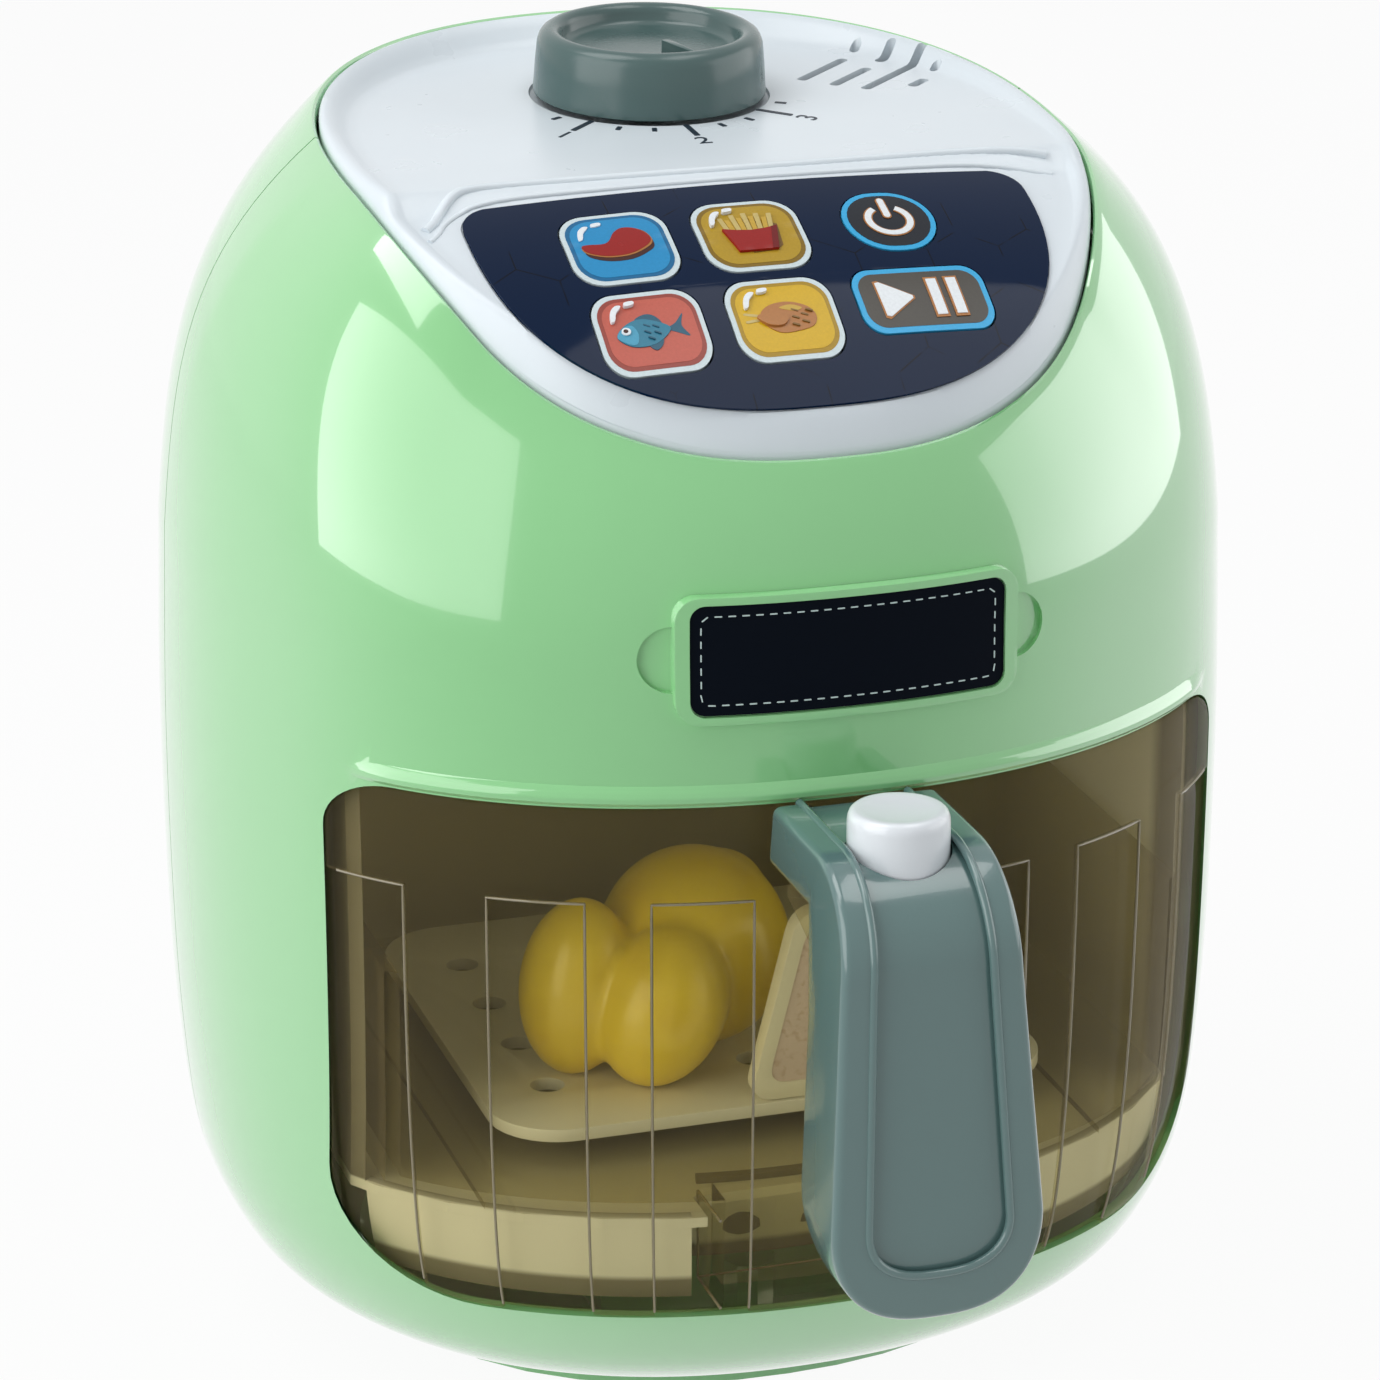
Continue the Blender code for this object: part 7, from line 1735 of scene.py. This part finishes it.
class FRYER_OT_food(Builder, bpy.types.Operator):
    """Build the rack, the toy chicken and the slice of toast"""

    bl_idname = "fryer.food"
    bl_label = "Build Rack and Food"

    def build(self):
        """Make the rack and the food."""
        self.make_rack()
        self.make_chicken()
        self.make_toast()

    def make_rack(self):
        """Make the perforated rack with rounded edges."""
        low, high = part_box("rack")
        top = high.z
        outline = rounded(-0.0440, 0.0440, -0.0500, 0.0330, (0.011,) * 4, 12)
        rack = plate("rack_skin", [outline], top - RACK_THICKNESS, top)
        spots = [(column * RACK_PITCH, -0.03325 + row * RACK_PITCH, top - RACK_THICKNESS / 2)
                 for column in range(-2, 3) for row in range(4)]
        wire = guide("rack_holes", spots, [(0, 0, 1)] * len(spots), linked_up=False)
        mark_ways(wire, "ahead", [(1, 0, 0)] * len(spots))
        punch = plate("punch", [ring(0, 0, RACK_HOLE_RADIUS, 32)], -0.003, 0.003)
        combine(rack, [field_of("rack_punches", wire, punch, self.finish("rack"))], "DIFFERENCE")
        soften(rack, 0.0005, 3, 40.0)
        legs = []
        for side in (-1, 1):
            for y in (-0.0423, 0.0253):
                leg = lathe("leg", [(0, low.z), (0.0021, low.z), (0.0025, low.z + 0.0004),
                                    (0.0027, top - RACK_THICKNESS / 2), (0, top - RACK_THICKNESS / 2)], 32)
                leg.data.transform(Matrix.Translation((side * 0.0363, y, 0)))
                legs.append(leg)
        combine(rack, legs, "UNION")
        settle(rack, self.finish("rack"), "rack", ("rack",))

    def make_chicken(self):
        """Make the bird from rounded lumps that run into each other."""
        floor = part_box("toy_chicken")[0].z
        unit = 0.0150
        centre = Vector((-0.0060, -0.0220, floor + 0.0155 * 0.97))
        lumps = [((0, 0, 0), (1.0, 1.0667, 1.0333), (0, 0)),
                 ((-0.70, -0.05, -0.28), (0.95, 0.85, 0.72), (0, 0)),
                 ((-1.38, -0.42, -0.12), (0.60, 0.60, 0.92), (8, -8)),
                 ((-0.62, -0.92, -0.22), (0.66, 0.66, 0.86), (26, -14)),
                 ((0.35, 0.20, 0.55), (0.45, 0.55, 0.35), (0, 0))]
        things = []
        for place, sizes, (right, rear) in lumps:
            bm = bmesh.new()
            bmesh.ops.create_uvsphere(bm, u_segments=40, v_segments=24, radius=1)
            bmesh.ops.scale(bm, vec=Vector(sizes) * unit, verts=bm.verts)
            turn = Matrix.Rotation(math.radians(rear), 3, "X") @ Matrix.Rotation(math.radians(right), 3, "Y")
            bmesh.ops.rotate(bm, matrix=turn, verts=bm.verts)
            bmesh.ops.translate(bm, vec=centre + Vector(place) * unit, verts=bm.verts)
            things.append(meshed(bm, "lump"))
        bird = joined("chicken_skin", things)
        remesh = bird.modifiers.new("merge", "REMESH")
        remesh.mode = "VOXEL"
        remesh.voxel_size = 0.0007
        bake(bird, 180.0)
        smooth = bird.modifiers.new("blend", "SMOOTH")
        smooth.factor = 0.5
        smooth.iterations = 14
        bake(bird, 180.0)
        for corner in bird.data.vertices:
            corner.co.z = max(corner.co.z, floor)
        settle(bird, self.finish("bird"), "chicken", ("toy_chicken",))

    def make_toast(self):
        """Make the slice: a cream crust round a pinkish crumb."""
        low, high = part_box("toy_toast")
        low, high = low - AXIS, high - AXIS
        middle, floor, top = (low.x + high.x) / 2, low.z, high.z
        half, top_half = (high.x - low.x) / 2, (high.x - low.x) / 2 * 0.583
        outline = cornered([(middle - half, floor), (middle - top_half, top), (middle + top_half, top),
                            (middle + half, floor)], 0.0040)
        crust = plate("toast_crust", [outline], low.y, high.y, "Y")
        inner = [(middle + (x - middle) * 0.84, floor + 0.0026 + (z - floor) * 0.84) for x, z in outline]
        crumb = plate("toast_crumb", [inner], low.y + 0.0003, high.y - 0.0003, "Y")
        seat = plate("crumb_seat", [inner], low.y - 0.001, low.y + 0.0006, "Y")
        other = plate("crumb_seat_2", [inner], high.y - 0.0006, high.y + 0.001, "Y")
        combine(crust, [seat, other], "DIFFERENCE")
        soften(crust, 0.0004, 2, 50.0)
        settle(crust, self.finish("crust"), "toast", ("toy_toast",))
        settle(crumb, self.finish("crumb"), "toast", ())


class FRYER_OT_hardware(Builder, bpy.types.Operator):
    """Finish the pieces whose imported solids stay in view: base, chamber, screws, cells and boards"""

    bl_idname = "fryer.hardware"
    bl_label = "Finish Hardware"

    def build(self):
        """Give every solid that stays its finish."""
        table = {
            "housing": ("base_plate", "battery_door"),
            "chamber": ("chamber_liner",),
            "steel": [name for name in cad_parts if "_screw_" in name or name == "door_screw"]
            + ["timer_shaft", "button_spring"],
            "contact": ("front_contact", "rear_contact"),
            "cell": [f"battery_cell_{k}" for k in (1, 2, 3)],
            "board": ("control_board", "lamp_board"),
            "rubber": ("key_mat",),
            "cone": ("speaker",),
            "lens": ("lamp_lens",),
            "leaf": ("click_spring",),
        }
        for finish, names in table.items():
            for name in names:
                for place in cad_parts[name].material_slots:
                    place.material = self.finish(finish)


class FRYER_OT_stage(Builder, bpy.types.Operator):
    """Set the pale floor, the soft lights and the camera"""

    bl_idname = "fryer.stage"
    bl_label = "Set Stage"

    def build(self):
        """Make the floor, the world, the lamps and the camera."""
        bm = bmesh.new()
        bmesh.ops.create_grid(bm, x_segments=2, y_segments=2, size=6.0)
        floor = meshed(bm, "floor")
        finish = Finish("pale_floor", (0.72, 0.72, 0.72), 0.8)
        glow = finish.node("ShaderNodeEmission", Color=(1.0, 1.0, 1.0, 1.0), Strength=1.0)
        finish.end_in_blend("Material Output", self.seen_rays(finish) * 0.94, finish.shader.outputs[0],
                            glow.outputs[0])
        floor.data.materials.append(finish.material)
        self.light_world()
        self.add_lamp("left_softbox", (-1.03, -0.33, 0.50), (1.1, 0.95), 7.6, (0, 0.02, 0.15))
        self.add_lamp("right_softbox", (1.16, -0.20, 0.40), (1.39, 0.78), 5.2, (0, 0.02, 0.12))
        self.add_lamp("high_softbox", (-0.55, 0.05, 1.25), (0.7, 0.8), 6.4, (0, 0.02, 0.15))
        self.add_lamp("top_strip", (0.31, -0.11, 1.20), (0.68, 0.34), 2.1, (0, 0.02, 0.15))
        self.add_camera()
        bpy.context.scene.view_settings.view_transform = "Standard"

    def seen_rays(self, graph):
        """Return 1 for the rays that show the background: straight, mirrored or let through."""
        path = graph.node("ShaderNodeLightPath")
        seen, mirrored, let_through = (Wire(graph.tree, path.outputs[f"Is {name} Ray"])
                                       for name in ("Camera", "Glossy", "Transmission"))
        return (seen + mirrored + let_through).low(1.0)

    def light_world(self):
        """Light the scene evenly, with a white background where it is seen."""
        world = bpy.data.worlds.new("studio")
        bpy.context.scene.world = world
        world.use_nodes = True
        graph = Graph()
        graph.tree = world.node_tree
        back = graph.tree.nodes["Background"]
        back.inputs["Color"].default_value = (0.93, 0.95, 1.0, 1.0)
        back.inputs["Strength"].default_value = 0.27
        white = graph.node("ShaderNodeBackground", Color=(1.0, 1.0, 1.0, 1.0), Strength=1.0)
        graph.end_in_blend("World Output", self.seen_rays(graph), back.outputs[0], white.outputs[0])

    def add_lamp(self, name, place, sizes, power, target):
        """Add a soft rectangular lamp aimed at a point."""
        light = bpy.data.lights.new(name, "AREA")
        light.shape = "RECTANGLE"
        light.size, light.size_y = sizes
        light.energy = power
        lamp = bpy.data.objects.new(name, light)
        bpy.context.scene.collection.objects.link(lamp)
        lamp.location = place
        aim = Vector(target) - Vector(place)
        lamp.rotation_euler = aim.to_track_quat("-Z", "Y").to_euler()

    def add_camera(self):
        """Add the camera at the photograph's angle, distance and lens."""
        data = bpy.data.cameras.new("camera")
        data.sensor_width = 36.0
        data.lens = 124.1
        data.shift_x = 0.0018
        data.shift_y = 0.0674
        camera = bpy.data.objects.new("camera", data)
        bpy.context.scene.collection.objects.link(camera)
        right = Vector((0.95271, -0.30388, 0.0))
        up = Vector((0.10696, 0.33534, 0.93600))
        forward = Vector((0.28443, 0.89174, -0.35199))
        turn = Matrix((right, up, -forward)).transposed().to_4x4()
        camera.matrix_world = Matrix.Translation(Vector((-0.21364, -0.66979, 0.34444)) + AXIS) @ turn
        bpy.context.scene.camera = camera


class FRYER_PT_panel(bpy.types.Panel):
    """The toy's settings and its building steps."""

    bl_idname = "FRYER_PT_panel"
    bl_label = "Play Air Fryer"
    bl_space_type = "VIEW_3D"
    bl_region_type = "UI"
    bl_category = "Toy"

    def draw(self, context):
        """List the steps and the settings."""
        layout = self.layout
        for step in STEPS:
            layout.operator(step.bl_idname)
        for group in (context.scene.fryer_colours, context.scene.fryer_sizes):
            box = layout.box()
            for name in group.bl_rna.properties.keys():
                if name not in ("rna_type", "name"):
                    box.prop(group, name)


STEPS = (FRYER_OT_housing, FRYER_OT_lid, FRYER_OT_film, FRYER_OT_keys, FRYER_OT_dial, FRYER_OT_label,
         FRYER_OT_drawer, FRYER_OT_handle, FRYER_OT_food, FRYER_OT_hardware, FRYER_OT_stage)
CLASSES = (FryerColours, FryerSizes) + STEPS + (FRYER_PT_panel,)


def register():
    """Register every class and the scene's settings."""
    for item in CLASSES:
        bpy.utils.register_class(item)
    bpy.types.Scene.fryer_colours = bpy.props.PointerProperty(type=FryerColours)
    bpy.types.Scene.fryer_sizes = bpy.props.PointerProperty(type=FryerSizes)


def unregister():
    """Remove the settings and every class."""
    del bpy.types.Scene.fryer_sizes
    del bpy.types.Scene.fryer_colours
    for item in reversed(CLASSES):
        bpy.utils.unregister_class(item)


def main():
    """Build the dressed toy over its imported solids."""
    register()
    for step in STEPS:
        group, name = step.bl_idname.split(".")
        getattr(getattr(bpy.ops, group), name)()


if __name__ == "__main__":
    main()
